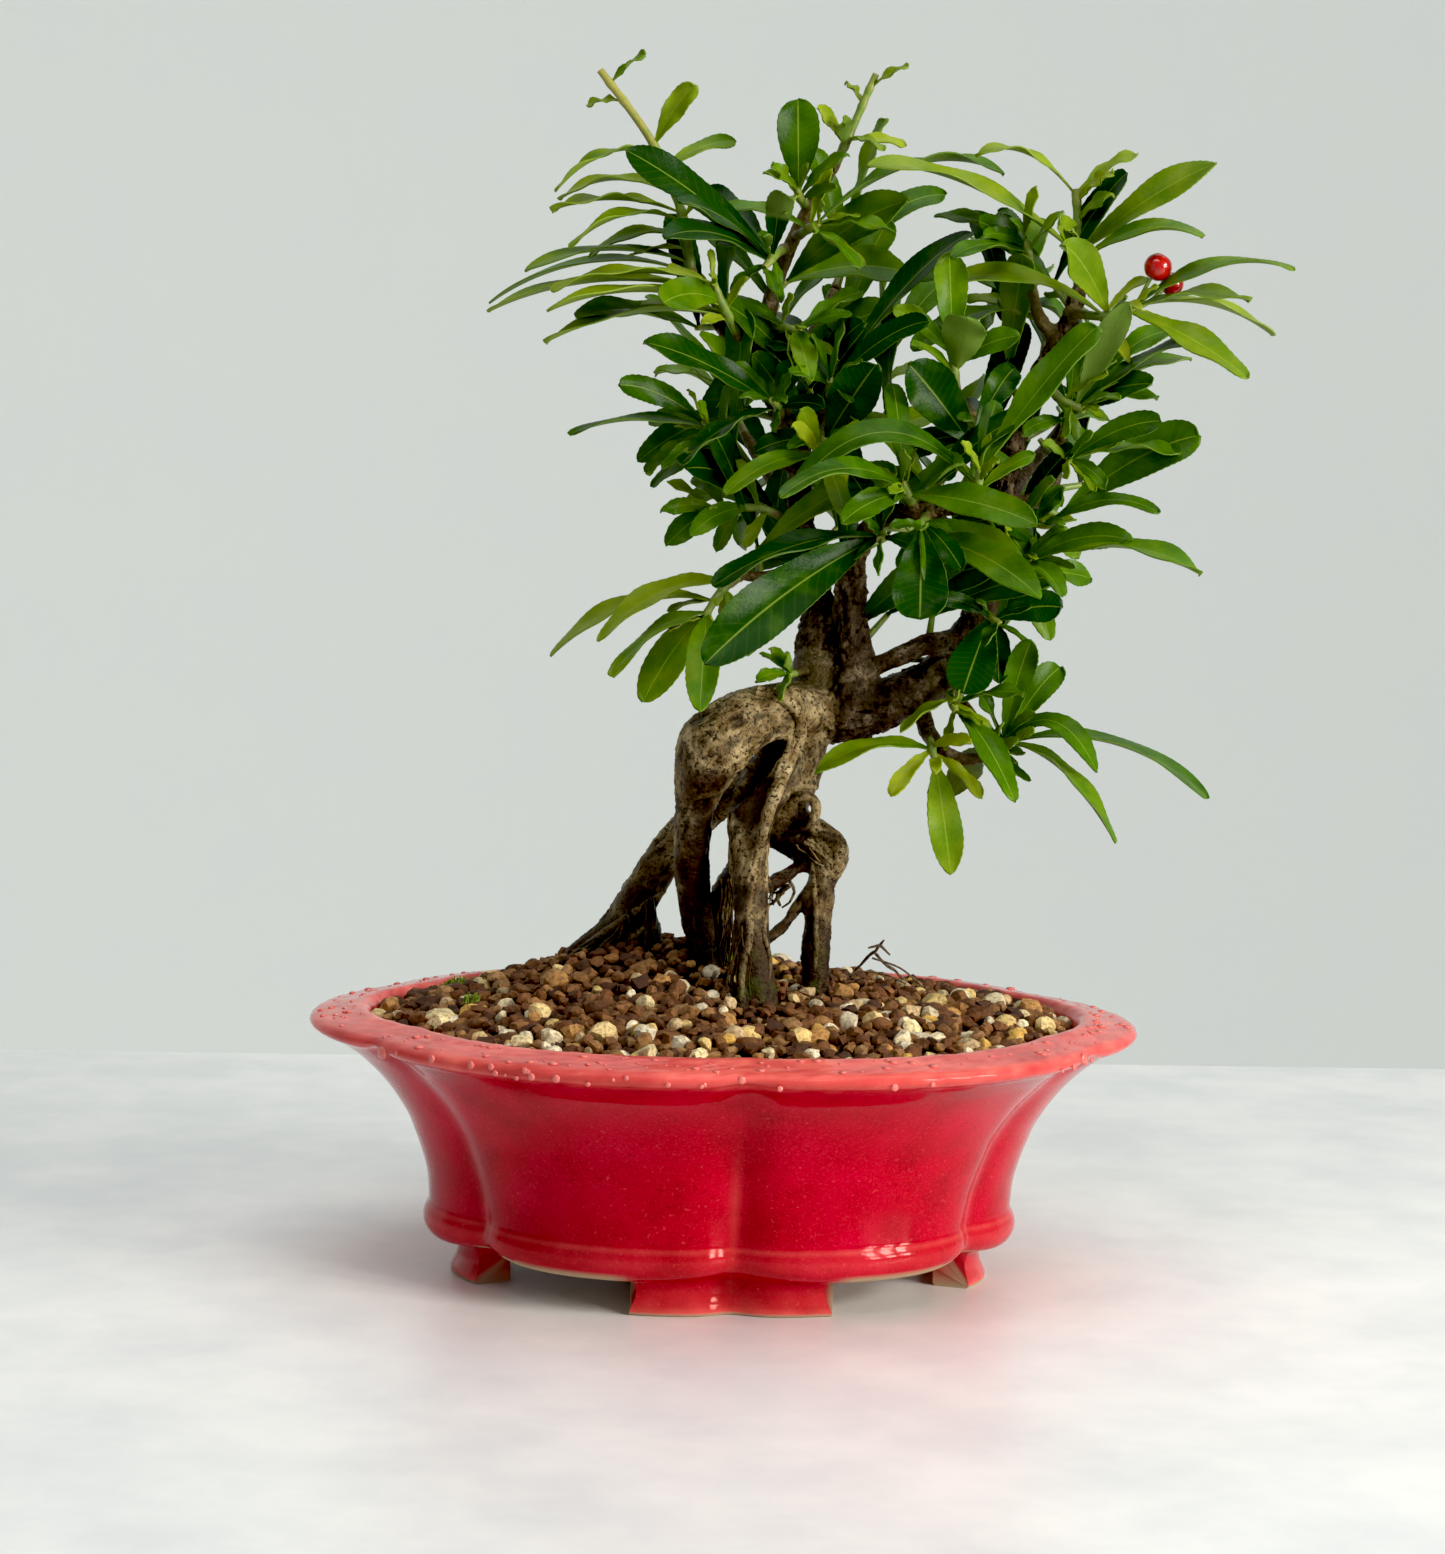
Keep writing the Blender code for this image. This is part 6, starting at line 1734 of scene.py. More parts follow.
    def layer(self, pot: Pot, spacing: float, draw: random.Random) -> list[tuple[float, float]]:
        """Places for one layer of grains, on a jittered triangular net over the soil's oval.

        Args:
            pot: The pot.
            spacing: The net's pitch, in metres.
            draw: The source of chance.

        Returns:
            The places, from the pot's middle.
        """
        places = []
        rows = int(2 * pot.half_width / (spacing * self.row_pitch)) + 1
        columns = int(2 * pot.half_length / spacing) + 1
        for row in range(rows):
            for column in range(columns):
                off_x, off_y = (draw.uniform(-self.jitter, self.jitter) * spacing for _axis in range(2))
                x = -pot.half_length + (column + 0.5 * (row % 2)) * spacing + off_x
                y = -pot.half_width + row * spacing * self.row_pitch + off_y
                if self.share(pot, x, y) < self.inset:
                    places.append((x, y))
        return places

    def build_grains(self, pot: Pot, wood: "Wood", finish: bpy.types.Material,
                     draw: random.Random) -> list[bpy.types.Object]:
        """Build the grains.

        Args:
            pot: The pot that they lie in.
            wood: The roots that they lie against.
            finish: Their material, which reads each grain's own tone.
            draw: The source of chance.

        Returns:
            The brown grains and the pale ones, as two pieces.
        """
        crumbs = self.templates(draw, 9, 0.45)
        chips = self.templates(draw, 12, 0.12)
        brown, pale = bmesh.new(), bmesh.new()
        tree, radii = wood.root_search()
        browns = [linear(tone) for tone in self.browns]
        pales = [linear(tone) for tone in self.pales]
        for spacing, sink, top in self.grain_layers:
            for x, y in self.layer(pot, spacing, draw):
                share = self.share(pot, x, y)
                near_front = 0.5 - 0.5 * y / pot.half_width + 0.25 * x / pot.half_length
                is_pale = top and draw.random() < self.pale_share * (0.2 + 1.6 * near_front)
                size = draw.choice(self.pale_sizes if is_pale else self.grain_sizes) * MM
                size *= 0.85 if share > 0.93 else 1.0
                height = self.height(x, y, share)
                _spot, index, distance = tree.find(POT_MIDDLE + Vector((x, y, height)))
                size *= 1.0 - 0.3 * smooth_step(16 * MM, 5 * MM, distance - radii[index])
                spot = POT_MIDDLE + Vector((x, y, height - size * sink))
                spot.z += draw.uniform(-0.25, 0.35) * size
                _spot, index, distance = tree.find(spot)
                turn = tumbled(draw, -self.grain_lean, self.grain_lean)
                lump = draw.choice(chips if is_pale else crumbs)
                tint = draw.uniform(0.75, 1.2)
                if distance < radii[index] + 0.18 * size:
                    continue
                tone = draw.choice(pales if is_pale else browns)
                tone = tuple(min(1.0, part * tint) for part in tone[:3]) + (1.0,)
                pose = Matrix.Translation(spot) @ turn @ Matrix.Scale(size, 4)
                append_copy(pale if is_pale else brown, lump, pose, tone)
        for lump in crumbs + chips:
            bpy.data.meshes.remove(lump)
        return [
            add_piece(name, to_mesh(name, shape), [finish], crisp=crisp)
            for name, shape, crisp in (("baked_clay_grains", brown, 36.0), ("pumice_grains", pale, 28.0))
        ]

    def build_moss(self, pot: Pot, moss: bpy.types.Material, draw: random.Random) -> bpy.types.Object:
        """Build the small tufts of moss at the rim, of upright pointed leaflets.

        Args:
            pot: The pot that they grow in.
            moss: Their material.
            draw: The source of chance.

        Returns:
            The tufts, as one piece.
        """
        template = bmesh.new()
        bmesh.ops.create_cone(template, cap_ends=True, segments=5, radius1=0.5, radius2=0.02, depth=1.0,
                              matrix=Matrix.Translation((0.0, 0.0, 0.5)))
        leaflet = to_mesh("leaflet", template)
        shape = bmesh.new()
        for across, down, spread, count in MOSS_TUFTS:
            middle = self.seen_spot(pot, across, down)
            for _leaflet in range(count):
                out = spread * MM * draw.random() ** 0.6
                turn = draw.uniform(0, 2 * math.pi)
                x, y = middle[0] + out * math.cos(turn), middle[1] + out * math.sin(turn)
                share = min(0.99, self.share(pot, x, y))
                top = self.height(x, y, share) - 0.6 * MM + (1.0 - out / (spread * MM)) * 1.2 * MM
                lean = tumbled(draw, 0.0, self.moss_lean)
                size = Matrix.Diagonal((0.45 * MM, 0.45 * MM, draw.uniform(0.9, 1.7) * MM, 1.0))
                foot = Matrix.Translation(POT_MIDDLE + Vector((x, y, top)))
                append_copy(shape, leaflet, foot @ lean @ size)
        bpy.data.meshes.remove(leaflet)
        return add_piece("moss_tufts", to_mesh("moss_tufts", shape), [moss], crisp=30.0)

    def seen_spot(self, pot: Pot, across: float, down: float) -> tuple[float, float]:
        """Where the soil's top is met by the eye's line through a place of the view.

        Args:
            pot: The pot.
            across: How far right the place lies in the view.
            down: How far down it lies.

        Returns:
            The spot, from the pot's middle.
        """
        near, far = VIEW.place(across, down, 90.0), VIEW.place(across, down, -90.0)
        line = far - near
        for number in range(self.sight_steps):
            spot = near + line * (number / self.sight_steps) - POT_MIDDLE
            share = self.share(pot, spot.x, spot.y)
            if share < 0.98 and spot.z <= self.height(spot.x, spot.y, share):
                return spot.x, spot.y
        return 0.0, 0.0


@dataclass(frozen=True)
class Wood:
    """The wood, grown as one: exposed roots, knob, trunks, limbs, twigs and the spurs of the shoots."""

    grid: float = 0.58 * MM
    thick_from: float = 2.9
    fissure: float = 0.46 * MM
    root_relief: float = 0.42 * MM
    twig_relief: float = 0.13 * MM
    crack_share: float = 0.22
    smoothing: int = 3
    # How far apart the stations of rootlets and of hair roots are, and how thick hairs are, in mm
    rootlet_pitch: float = 0.8
    hair_pitch: float = 1.1
    hair_radii: tuple = (0.22, 0.3, 0.4, 0.6)

    def runs(self) -> list[tuple[tuple, BarkKind]]:
        """Every run of wood, with what covers it."""
        return ([(run, BarkKind.ROOT) for run in ROOT_RUNS] + [(run, BarkKind.TRUNK) for run in TRUNK_RUNS]
                + [(run, BarkKind.TWIG) for run in TWIG_RUNS])

    def spur(self, spray: Spray) -> list[Station]:
        """The woody spur under a shoot.

        Args:
            spray: The shoot.

        Returns:
            The spur's stations, up to the shoot's foot.
        """
        seat, following = (VIEW.place(*spot) for spot in spray.stem[:2])
        along = (following - seat).normalized()
        radius = spray.diameter * MM / 2
        path = [
            Station(VIEW.place(*spray.wood), radius * 1.15),
            Station(seat - along * (1.6 * MM), radius * 1.08),
            Station(seat, radius * 1.02),
        ]
        return smooth_stations(path, 0.8 * MM)

    def root_search(self) -> tuple[KDTree, list[float]]:
        """A search tree over the roots' middle lines, with each place's radius.

        Returns:
            The tree, and the radii in its order.
        """
        spots = [station for run in ROOT_RUNS for station in seen_stations(run, 1.0 * MM)]
        spots += [station for limb in DRY_TWIG for station in seen_stations(limb, 1.0 * MM)]
        return search_tree([station.spot for station in spots]), [station.radius for station in spots]

    def skin(self, thick: bmesh.types.BMesh) -> bmesh.types.BMesh:
        """Melt the thick runs into one skin and smooth it.

        Args:
            thick: The thick runs, each a closed stem.

        Returns:
            The skin.
        """
        grown = scratch_object(to_mesh("wood_union", thick))
        skin = grown.modifiers.new("skin", "REMESH")
        skin.mode = "VOXEL"
        skin.voxel_size = self.grid
        shape = bmesh.new()
        absorb(shape, apply_modifiers(grown))
        for _pass in range(self.smoothing):
            bmesh.ops.smooth_vert(shape, verts=shape.verts, factor=0.5, use_axis_x=True, use_axis_y=True,
                                  use_axis_z=True)
        return shape

    def build(self, bark: bpy.types.Material, sprays: list[Spray]) -> bpy.types.Object:
        """Build the wood.

        Args:
            bark: Its bark.
            sprays: The shoots, whose spurs it bears.

        Returns:
            The wood.
        """
        guides = []
        thick = bmesh.new()
        thin = bmesh.new()
        paths = [(seen_stations(run, 1.0 * MM), kind) for run, kind in self.runs()]
        paths += [(self.spur(spray), BarkKind.TWIG) for spray in sprays]
        for stations, kind in paths:
            length = 0.0
            for number, station in enumerate(stations):
                if number:
                    length += (station.spot - stations[number - 1].spot).length
                axis = direction(stations, number)
                guides.append(Guide(station.spot, axis, station.radius, length, kind))
            heavy = max(station.radius for station in stations) >= self.thick_from * MM / 2
            sweep(thick if heavy else thin, stations, 18 if heavy else 12)
        shape = self.skin(thick)
        skin_tree = BVHTree.FromBMesh(shape)
        presses = [(self.seen_on(skin_tree, press.place), press) for press in PRESSES]
        for places, diameter in SURFACE_ROOTS:
            stations = self.drape(skin_tree, places, diameter)
            guides += self.root_guides(stations, self.rootlet_pitch)
            sweep(thin, stations, 10, "strand", (1.0, 1.0))
        self.add_hairs(thin, guides, random.Random(SEED + 6))
        absorb(shape, to_mesh("thin_wood", thin))
        self.carve(shape, guides, [press for press in presses if press[0] is not None])
        return add_piece("tree_wood", to_mesh("tree_wood", shape), [bark], ["wood"], crisp=80.0)

    def root_guides(self, stations: list[Station], pitch: float) -> list[Guide]:
        """The guides along a rootlet or hair, all but those at its ends.

        Args:
            stations: Its stations.
            pitch: How far apart they are, in millimetres.

        Returns:
            The guides.
        """
        guides = []
        for number, station in enumerate(stations[1:-1], 1):
            axis = direction(stations, number)
            guides.append(Guide(station.spot, axis, station.radius, number * pitch * MM, BarkKind.ROOT))
        return guides

    def seen_on(self, skin: BVHTree, place: tuple) -> Optional[Vector]:
        """Where the eye's line through a place of the view meets the wood.

        Args:
            skin: A search tree over the wood's faces.
            place: The place (across, down).

        Returns:
            The nearest such point, or None where the line misses the wood.
        """
        near = VIEW.place(*place, 80.0)
        return skin.ray_cast(near, (VIEW.place(*place, -80.0) - near).normalized())[0]

    def drape(self, skin: BVHTree, places: tuple, diameter: float) -> list[Station]:
        """Lay a rootlet on the wood along places of the view.

        Args:
            skin: A search tree over the wood's faces.
            places: The places (across, down) that it passes.
            diameter: Its diameter in millimetres.

        Returns:
            Its stations, which stand half out of the wood and sink into it at both ends.
        """
        points = []
        for number, place in enumerate(places):
            hit = self.seen_on(skin, place)
            if hit is None:
                continue
            end = number in (0, len(places) - 1)
            radius = diameter * MM / 2 * (0.7 if end else 1.0)
            points.append(Station(hit - TOWARDS * (radius * (1.1 if end else -0.35)), radius))
        return smooth_stations(points, self.rootlet_pitch * MM)

    def add_hairs(self, thin: bmesh.types.BMesh, guides: list[Guide], draw: random.Random) -> None:
        """Hang the bundles of hair roots, each hair wandering from its start to its end.

        Args:
            thin: The shape that takes the hairs.
            guides: The middle lines of the wood, which the hairs' own are added to.
            draw: The source of chance.
        """
        for bundle in HAIR_BUNDLES:
            for _hair in range(bundle.count):
                start, end = (
                    Vector((spot[0] + draw.uniform(-spread, spread), spot[1] + draw.uniform(-4, 4)))
                    for spot, spread in zip((bundle.start, bundle.end), bundle.spread))
                front, bow = bundle.front + draw.uniform(-2.0, 2.0), draw.uniform(-7.0, 7.0)
                radius = draw.choice(self.hair_radii) * MM
                points = []
                for number in range(6):
                    spot = start.lerp(end, number / 5)
                    aside = bow * math.sin(math.pi * number / 5) + draw.uniform(-2.5, 2.5)
                    place = VIEW.place(spot.x + aside, spot.y, front + draw.uniform(-0.6, 0.6))
                    points.append(Station(place, radius * (1.0 - 0.1 * number)))
                stations = smooth_stations(points, self.hair_pitch * MM)
                guides += self.root_guides(stations, self.hair_pitch)
                sweep(thin, stations, 6)

    def carve(self, shape: bmesh.types.BMesh, guides: list[Guide], presses: list[tuple]) -> None:
        """Press in the hollows, raise the bark's relief and write what each place of it looks like.

        Args:
            shape: The wood, which is changed.
            guides: The middle lines of the wood.
            presses: The hollows, each with the place where it is on the wood.
        """
        tree = search_tree([guide.spot for guide in guides])
        names = ("root_bark", "green_bark", "moss", "ridge", "cut_face", "damp_and_shade")
        strand = shape.verts.layers.float.get("strand")
        layers = {name: shape.verts.layers.float.new(name) for name in names}
        cut_spot = VIEW.place(*TRUNK_RIGHT[-1][:3])
        shape.normal_update()
        moves = []
        for corner in shape.verts:
            near = tree.find_n(corner.co, 3)
            guide = guides[near[0][1]]
            out = corner.co - guide.spot
            out -= guide.axis * out.dot(guide.axis)
            root = sum(guides[item[1]].kind is BarkKind.ROOT for item in near) / 3
            twig = sum(guides[item[1]].kind is BarkKind.TWIG for item in near) / 3
            sample = out / (1.4 * MM) + guide.axis * (guide.length / (5.5 * MM))
            grain = noise.fractal(sample, 0.55, 2.1, 4)
            lumps = noise.fractal(corner.co / (4.2 * MM), 0.6, 2.0, 3)
            scale = min(1.0, guide.radius / (3.0 * MM))
            cracks = abs(noise.noise(sample * 1.3 + Vector((9.0, 2.0, 5.0))))
            old = 1.0 - root - 0.75 * twig
            depth = old * self.fissure * 1.25 + root * self.root_relief + twig * self.twig_relief
            crack = self.crack_share - min(self.crack_share, cracks)
            raised = depth * scale * (1.1 * grain + 0.5 * lumps - 1.3 * old * crack / self.crack_share)
            # the presses' dark patches: partly wet stains, partly painted shade in the hollow under the knob
            # and between the legs
            stain_and_shade = 0.0
            for spot, press in presses:
                gap = (corner.co - spot).length / (press.radius * MM)
                if gap < 1.0:
                    fade = (1.0 - gap * gap) ** 2
                    raised -= press.depth * MM * fade * (1.0 - corner[strand])
                    stain_and_shade = max(stain_and_shade, press.stain_and_shade * min(1.0, 1.6 * fade))
            moves.append((corner, corner.normal * raised))
            # how raised the bark is, by which the finish paints shade in its grooves and light on its ridges
            # and rootlets
            ridge = 0.5 + 0.62 * grain + 0.2 * lumps + 0.4 * corner[strand]
            ridge -= 0.45 * old * crack / self.crack_share
            high = smooth_step(150 * MM, 230 * MM, corner.co.z)
            low = smooth_step(84 * MM, 66 * MM, corner.co.z) * smooth_step(0.0, 0.5, lumps)
            # darker towards the soil: partly damp bark, partly painted shade low on the legs
            wet_and_shade = 0.92 * smooth_step(94 * MM, 74 * MM, corner.co.z + 12 * MM * lumps)
            stain_and_shade = min(1.0, stain_and_shade * (1.1 + 0.5 * lumps))
            cut = smooth_step(2.1 * MM, 1.5 * MM, (corner.co - cut_spot).length)
            looks = {
                "ridge": min(1.0, max(0.0, ridge)),
                "root_bark": root,
                "green_bark": twig * (0.12 + 0.35 * high) * smooth_step(2.4 * MM, 1.0 * MM, guide.radius),
                "moss": 0.5 * low * root,
                "damp_and_shade": min(0.97, max(wet_and_shade, stain_and_shade)) * (1.0 - 0.35 * corner[strand]),
                "cut_face": cut * (corner.normal.dot(guide.axis) > 0.6),
            }
            for name, look in looks.items():
                corner[layers[name]] = look
        for corner, move in moves:
            corner.co += move

    def build_dry_twig(self, bark: bpy.types.Material) -> bpy.types.Object:
        """Build the small dead twig that stands in the soil at the right.

        Args:
            bark: Its material.

        Returns:
            The twig.
        """
        shape = bmesh.new()
        for limb in DRY_TWIG:
            bent = []
            for station in seen_stations(limb, 0.6 * MM):
                place = station.spot / (2 * MM)
                wander = Vector((noise.noise(place), 0.0, noise.noise(place + Vector((5, 5, 5)))))
                radius = station.radius * (0.55 + 0.2 * noise.noise(station.spot / MM))
                bent.append(Station(station.spot + wander * (0.35 * MM), radius))
            sweep(shape, bent, 10)
        tip = VIEW.place(*DRY_TWIG[0][-1][:3])
        for spot in DEAD_POINTS:
            start = VIEW.place(*spot)
            base = tip.lerp(start, 0.1)
            sweep(shape, smooth_stations([Station(base, 0.35 * MM), Station(start, 0.2 * MM)], 0.7 * MM), 8)
        for run in DEAD_STALKS:
            stalk = [Station(VIEW.place(across, down, DEAD_STALK_FRONT), 0.22 * MM) for across, down in run]
            sweep(shape, smooth_stations(stalk, 1.2 * MM), 6)
        mesh = to_mesh("dead_twig", shape)
        return add_piece("dead_twig", mesh, [bark], ["dry_twig"], crisp=60.0)


@dataclass(frozen=True)
class Foliage:
    """The shoots: a green stem each, set with toothed leaves that are widest near their blunt tips."""

    thickness: float = 0.32 * MM
    row_pitch: float = 0.9 * MM
    tooth: float = 0.13 * MM
    columns: int = 6
    petiole: float = 0.95 * MM
    wedge: float = 1.05
    small_leaf_lengths: tuple = (8.0 * MM, 15.0 * MM)
    inner_pitch: float = 17.0 * MM
    inner_from: float = 132.0 * MM
    inner_to: float = 214.0 * MM
    inner_lengths: tuple = (22.0 * MM, 35.0 * MM)
    rosette_leaves: int = 4
    crown_reach: float = 7.0 * MM
    growth_angle: float = math.radians(137.5)
    # Between which shares of a stem's first and of each run its leaves may spring
    stem_foot: float = 0.45
    stem_end: float = 0.96

    def nearest_on_stem(self, spots: list[Vector], target: Vector) -> Vector:
        """The point of a stem nearest to a place, kept clear of the stem's foot.

        Args:
            spots: The points of the stem.
            target: The place.

        Returns:
            The point.
        """
        best = None
        for number, (start, end) in enumerate(zip(spots, spots[1:])):
            line = end - start
            share = max(0.0, min(1.0, (target - start).dot(line) / line.length_squared))
            if number == 0:
                share = max(share, self.stem_foot)
            spot = start + line * min(share, self.stem_end)
            if best is None or (spot - target).length < (best - target).length:
                best = spot
        return best

    def seen_blade(self, spots: list[Vector], leaf: Leaf, draw: random.Random) -> Blade:
        """The blade of a leaf that the front view shows.

        Args:
            spots: The points of its shoot's stem.
            leaf: The leaf.
            draw: The source of chance that the solids' leaves were drawn with.

        Returns:
            The blade.
        """
        tip = VIEW.place(*leaf.tip, leaf.front)
        base_front = (spots[len(spots) // 2] - Vector(VIEW.aim)).dot(TOWARDS) / MM
        root = self.nearest_on_stem(spots, VIEW.place(*leaf.base, base_front))
        seen = leaf.seen * (VIEW.distance - leaf.front * MM) / VIEW.focus
        width = max((tip - root).length * BLADE_WIDTH_SHARE, seen, BLADE_WIDTH_LIMITS[0])
        width = min(width, max(seen, BLADE_WIDTH_LIMITS[1]))
        facing = math.asin(min(1.0, seen / width)) * 0.92
        return Blade(root, tip, leaf.arch, width, facing, draw.uniform(0.15, 0.35) * MM)

    def back_blades(self, spots: list[Vector], count: int, draw: random.Random) -> list[Blade]:
        """Blades round a shoot on the far side, each turned by the angle of growth from the last.

        Args:
            spots: The points of its stem.
            count: How many leaves it bears.
            draw: The source of chance that the solids' leaves were drawn with.

        Returns:
            The blades.
        """
        axis = (spots[-1] - spots[0]).normalized()
        outward = (-TOWARDS - axis * (-TOWARDS).dot(axis)).normalized()
        sideways = axis.cross(outward)
        turn = draw.uniform(-0.5, 0.5)
        blades = []
        for number in range(count):
            share = 0.45 + 0.55 * number / (count - 1)
            root = spots[0].lerp(spots[-1], share)
            away = outward * math.cos(turn) + sideways * math.sin(turn)
            rise = 0.25 + 0.75 * share
            length = draw.uniform(*BACK_LEAF_LENGTHS) * (1.1 - 0.3 * share)
            aim = away * (1.25 - rise * 0.6) + axis * rise + Vector((0, 0, 0.15))
            width = min(length * 0.27, BLADE_WIDTH_LIMITS[1])
            arch = draw.uniform(0.06, 0.14)
            tip = root + aim.normalized() * length
            blades.append(Blade(root, tip, arch, width, draw.uniform(0.2, 1.1), 0.25 * MM))
            turn += self.growth_angle
        return blades

    def settled(self, blade: Blade, corners: KDTree) -> Blade:
        """Bend a blade as its solid was bent to keep clear of its neighbours, by where that solid ends.

        Args:
            blade: The blade as it was first drawn.
            corners: A search tree over the corners of the shoot's solid.

        Returns:
            The blade with its tip where its solid has it.
        """
        sideways = (blade.tip - blade.root).cross(TOWARDS).normalized()
        nearest = (1.0, blade.tip)
        for reach in REACHES:
            for aside in SIDE_STEPS:
                for swing in SWING_STEPS:
                    tip = blade.root.lerp(blade.tip, reach) + TOWARDS * (swing * MM)
                    tip += sideways * (aside * MM)
                    distance = corners.find(tip)[2]
                    if distance < TIP_MATCH:
                        return blade._replace(tip=tip)
                    if distance < nearest[0]:
                        nearest = (distance, tip)
        return blade._replace(tip=nearest[1])

    def facing_axes(self, along: Vector, facing: float) -> tuple[Vector, Vector]:
        """A blade's sideways direction and its upper face's, for how far it turns its face to the viewer.

        Args:
            along: Which way the blade runs.
            facing: How far it is turned, in radians from edge on.

        Returns:
            The two unit directions.
        """
        edge_on = (TOWARDS - along * TOWARDS.dot(along)).normalized()
        face_on = edge_on.cross(along).normalized()
        if face_on.z > 0:
            face_on = -face_on
        side = edge_on * math.cos(facing) + face_on * math.sin(facing)
        normal = side.cross(along).normalized()
        if normal.dot(TOWARDS + Vector((0.0, 0.0, 1.0))) < 0:
            normal = -normal
        return side.normalized(), normal

    def line(self, blade: Blade, shares: list[float]) -> list[tuple[Vector, Vector]]:
        """Places and directions along a leaf's midrib, which rises from its root and bows over to its tip.

        Args:
            blade: The leaf's blade.
            shares: Where to work them out, from 0 at the root to 1 at the tip.

        Returns:
            A place and a unit direction for each share.
        """
        root, tip = blade.root, blade.tip
        lift = Vector((0.0, 0.0, 1.0)) * (blade.arch * (tip - root).length * 1.35)
        first = root.lerp(tip, 0.33) + lift
        second = root.lerp(tip, 0.70) + lift
        line = []
        for share in shares:
            rest = 1.0 - share
            spot = (root * rest ** 3 + first * (3 * rest ** 2 * share)
                    + second * (3 * rest * share ** 2) + tip * share ** 3)
            slope = ((first - root) * rest ** 2 + (second - first) * (2 * rest * share)
                     + (tip - second) * share ** 2)
            line.append((spot, slope.normalized()))
        return line

    def leaf(self, blade: Blade, age: float, pick: float) -> bpy.types.Mesh:
        """Make one leaf: a folded, waved sheet with a toothed edge, given its thickness.

        Args:
            blade: The leaf's place, size and set.
            age: How fresh its green is, from 0 to 1.
            pick: A number from 0 to 1 that sets its fold and wave apart from its neighbours'.

        Returns:
            The leaf's mesh.
        """
        length = (blade.tip - blade.root).length
        rows = max(12, 2 * round(length / self.row_pitch / 2))
        columns = self.columns if length > 16 * MM else 4
        shares = [1.0 - (1.0 - row / rows) ** 1.25 for row in range(rows + 1)]
        line = self.line(blade, shares)
        shape = bmesh.new()
        bmesh.ops.create_grid(shape, x_segments=columns, y_segments=rows, size=1.0)
        u_layer, v_layer = shape.verts.layers.float.new("u"), shape.verts.layers.float.new("v")
        normals = []
        ordered = sorted(shape.verts, key=lambda corner: (round(corner.co.y, 4), round(corner.co.x, 4)))
        waves = 1.2 + 1.3 * pick
        fold = 0.22 + 0.2 * pick
        blunt = 0.38 + 0.3 * ((pick * 7.3) % 1.0)
        widest = self.wedge / (self.wedge + blunt)
        fullest = widest ** self.wedge * (1.0 - widest) ** blunt
        for row, (spot, along) in enumerate(line):
            share = shares[row]
            side, normal = self.facing_axes(along, blade.facing)
            normals.append(normal)
            full = (share ** self.wedge * (1.0 - share) ** blunt / fullest) * blade.width
            half = max(full, self.petiole * (1.0 - share)) / 2
            if 0.1 < share < 0.97 and row % 2:
                half -= self.tooth
            for column in range(columns + 1):
                across = 2.0 * column / columns - 1.0
                lean = abs(across)
                rise = fold * half * (lean ** 1.4) * (1.0 - 0.5 * share)
                phase = 2 * math.pi * (waves * share + pick) + 1.6 * across
                ripple = 2.4 * blade.wave * math.sin(phase) * lean * lean
                corner = ordered[row * (columns + 1) + column]
                rise += ripple * smooth_step(0.1, 0.4, share)
                corner.co = spot + side * (half * across) + normal * rise
                corner[u_layer] = 0.5 + 0.5 * across
                corner[v_layer] = share
        bmesh.ops.remove_doubles(shape, verts=[ordered[-1 - column] for column in range(columns + 1)],
                                 dist=0.001 * MM)
        bmesh.ops.recalc_face_normals(shape, faces=shape.faces)
        bmesh.ops.solidify(shape, geom=shape.faces[:], thickness=self.thickness)
        bmesh.ops.recalc_face_normals(shape, faces=shape.faces)
        sheet = shape.loops.layers.uv.new("blade")
        look = shape.verts.layers.float_color.new("leaf_look")
        shape.normal_update()
        for face in shape.faces:
            face.material_index = 1
            for loop in face.loops:
                loop[sheet].uv = (loop.vert[u_layer], loop.vert[v_layer])
        for corner in shape.verts:
            row = min(range(len(shares)), key=lambda item: abs(shares[item] - corner[v_layer]))
            corner[look] = (age, 1.0 if corner.normal.dot(normals[row]) < 0 else 0.0, pick, 1.0)
        for name in ("u", "v"):
            shape.verts.layers.float.remove(shape.verts.layers.float[name])
        return to_mesh("leaf", shape)

    def age_of(self, name: str, pick: float) -> float:
        """How fresh the green of a shoot's leaf is."""
        age = Age.FRESH if name in FRESH_SPRAYS else Age.OLD if name in OLD_AND_SHADED_SPRAYS else Age.GROWN
        return min(1.0, max(0.0, age.value + (0.12 if age is Age.OLD else 0.3) * (pick - 0.5)))

    def build(self, spray: Spray, count: int, finishes: list, draw: random.Random,
              vary: random.Random) -> bpy.types.Object:
        """Build one shoot with its leaves.

        Args:
            spray: The shoot.
            count: How many leaves it bears, for a shoot on the far side.
            finishes: The materials of its stem and of its leaves.
            draw: The source of chance that the solids' leaves were drawn with.
            vary: Another one, for what only the finer leaves have.

        Returns:
            The shoot.
        """
        spots = [VIEW.place(*spot) for spot in spray.stem]
        node = bpy.data.objects[f"spray_{spray.name}"]
        corners = search_tree([node.matrix_world @ corner.co for corner in node.data.vertices])
        blades = self.back_blades(spots, count, draw) if count else [
            self.seen_blade(spots, leaf, draw) for leaf in spray.leaves]
        blades = [self.settled(blade, corners) for blade in blades]
        meshes = []
        for blade in blades:
            pick = vary.random()
            meshes.append(self.leaf(blade, self.age_of(spray.name, pick), pick))
        meshes += self.small_leaves(spots, spray, vary)
        shape = self.stem(spots, spray, [blade.root for blade in blades])
        for mesh in meshes:
            absorb(shape, mesh)
        name = f"shoot_{spray.name}"
        return add_piece(name, to_mesh(name, shape), finishes, [node.name], crisp=70.0)

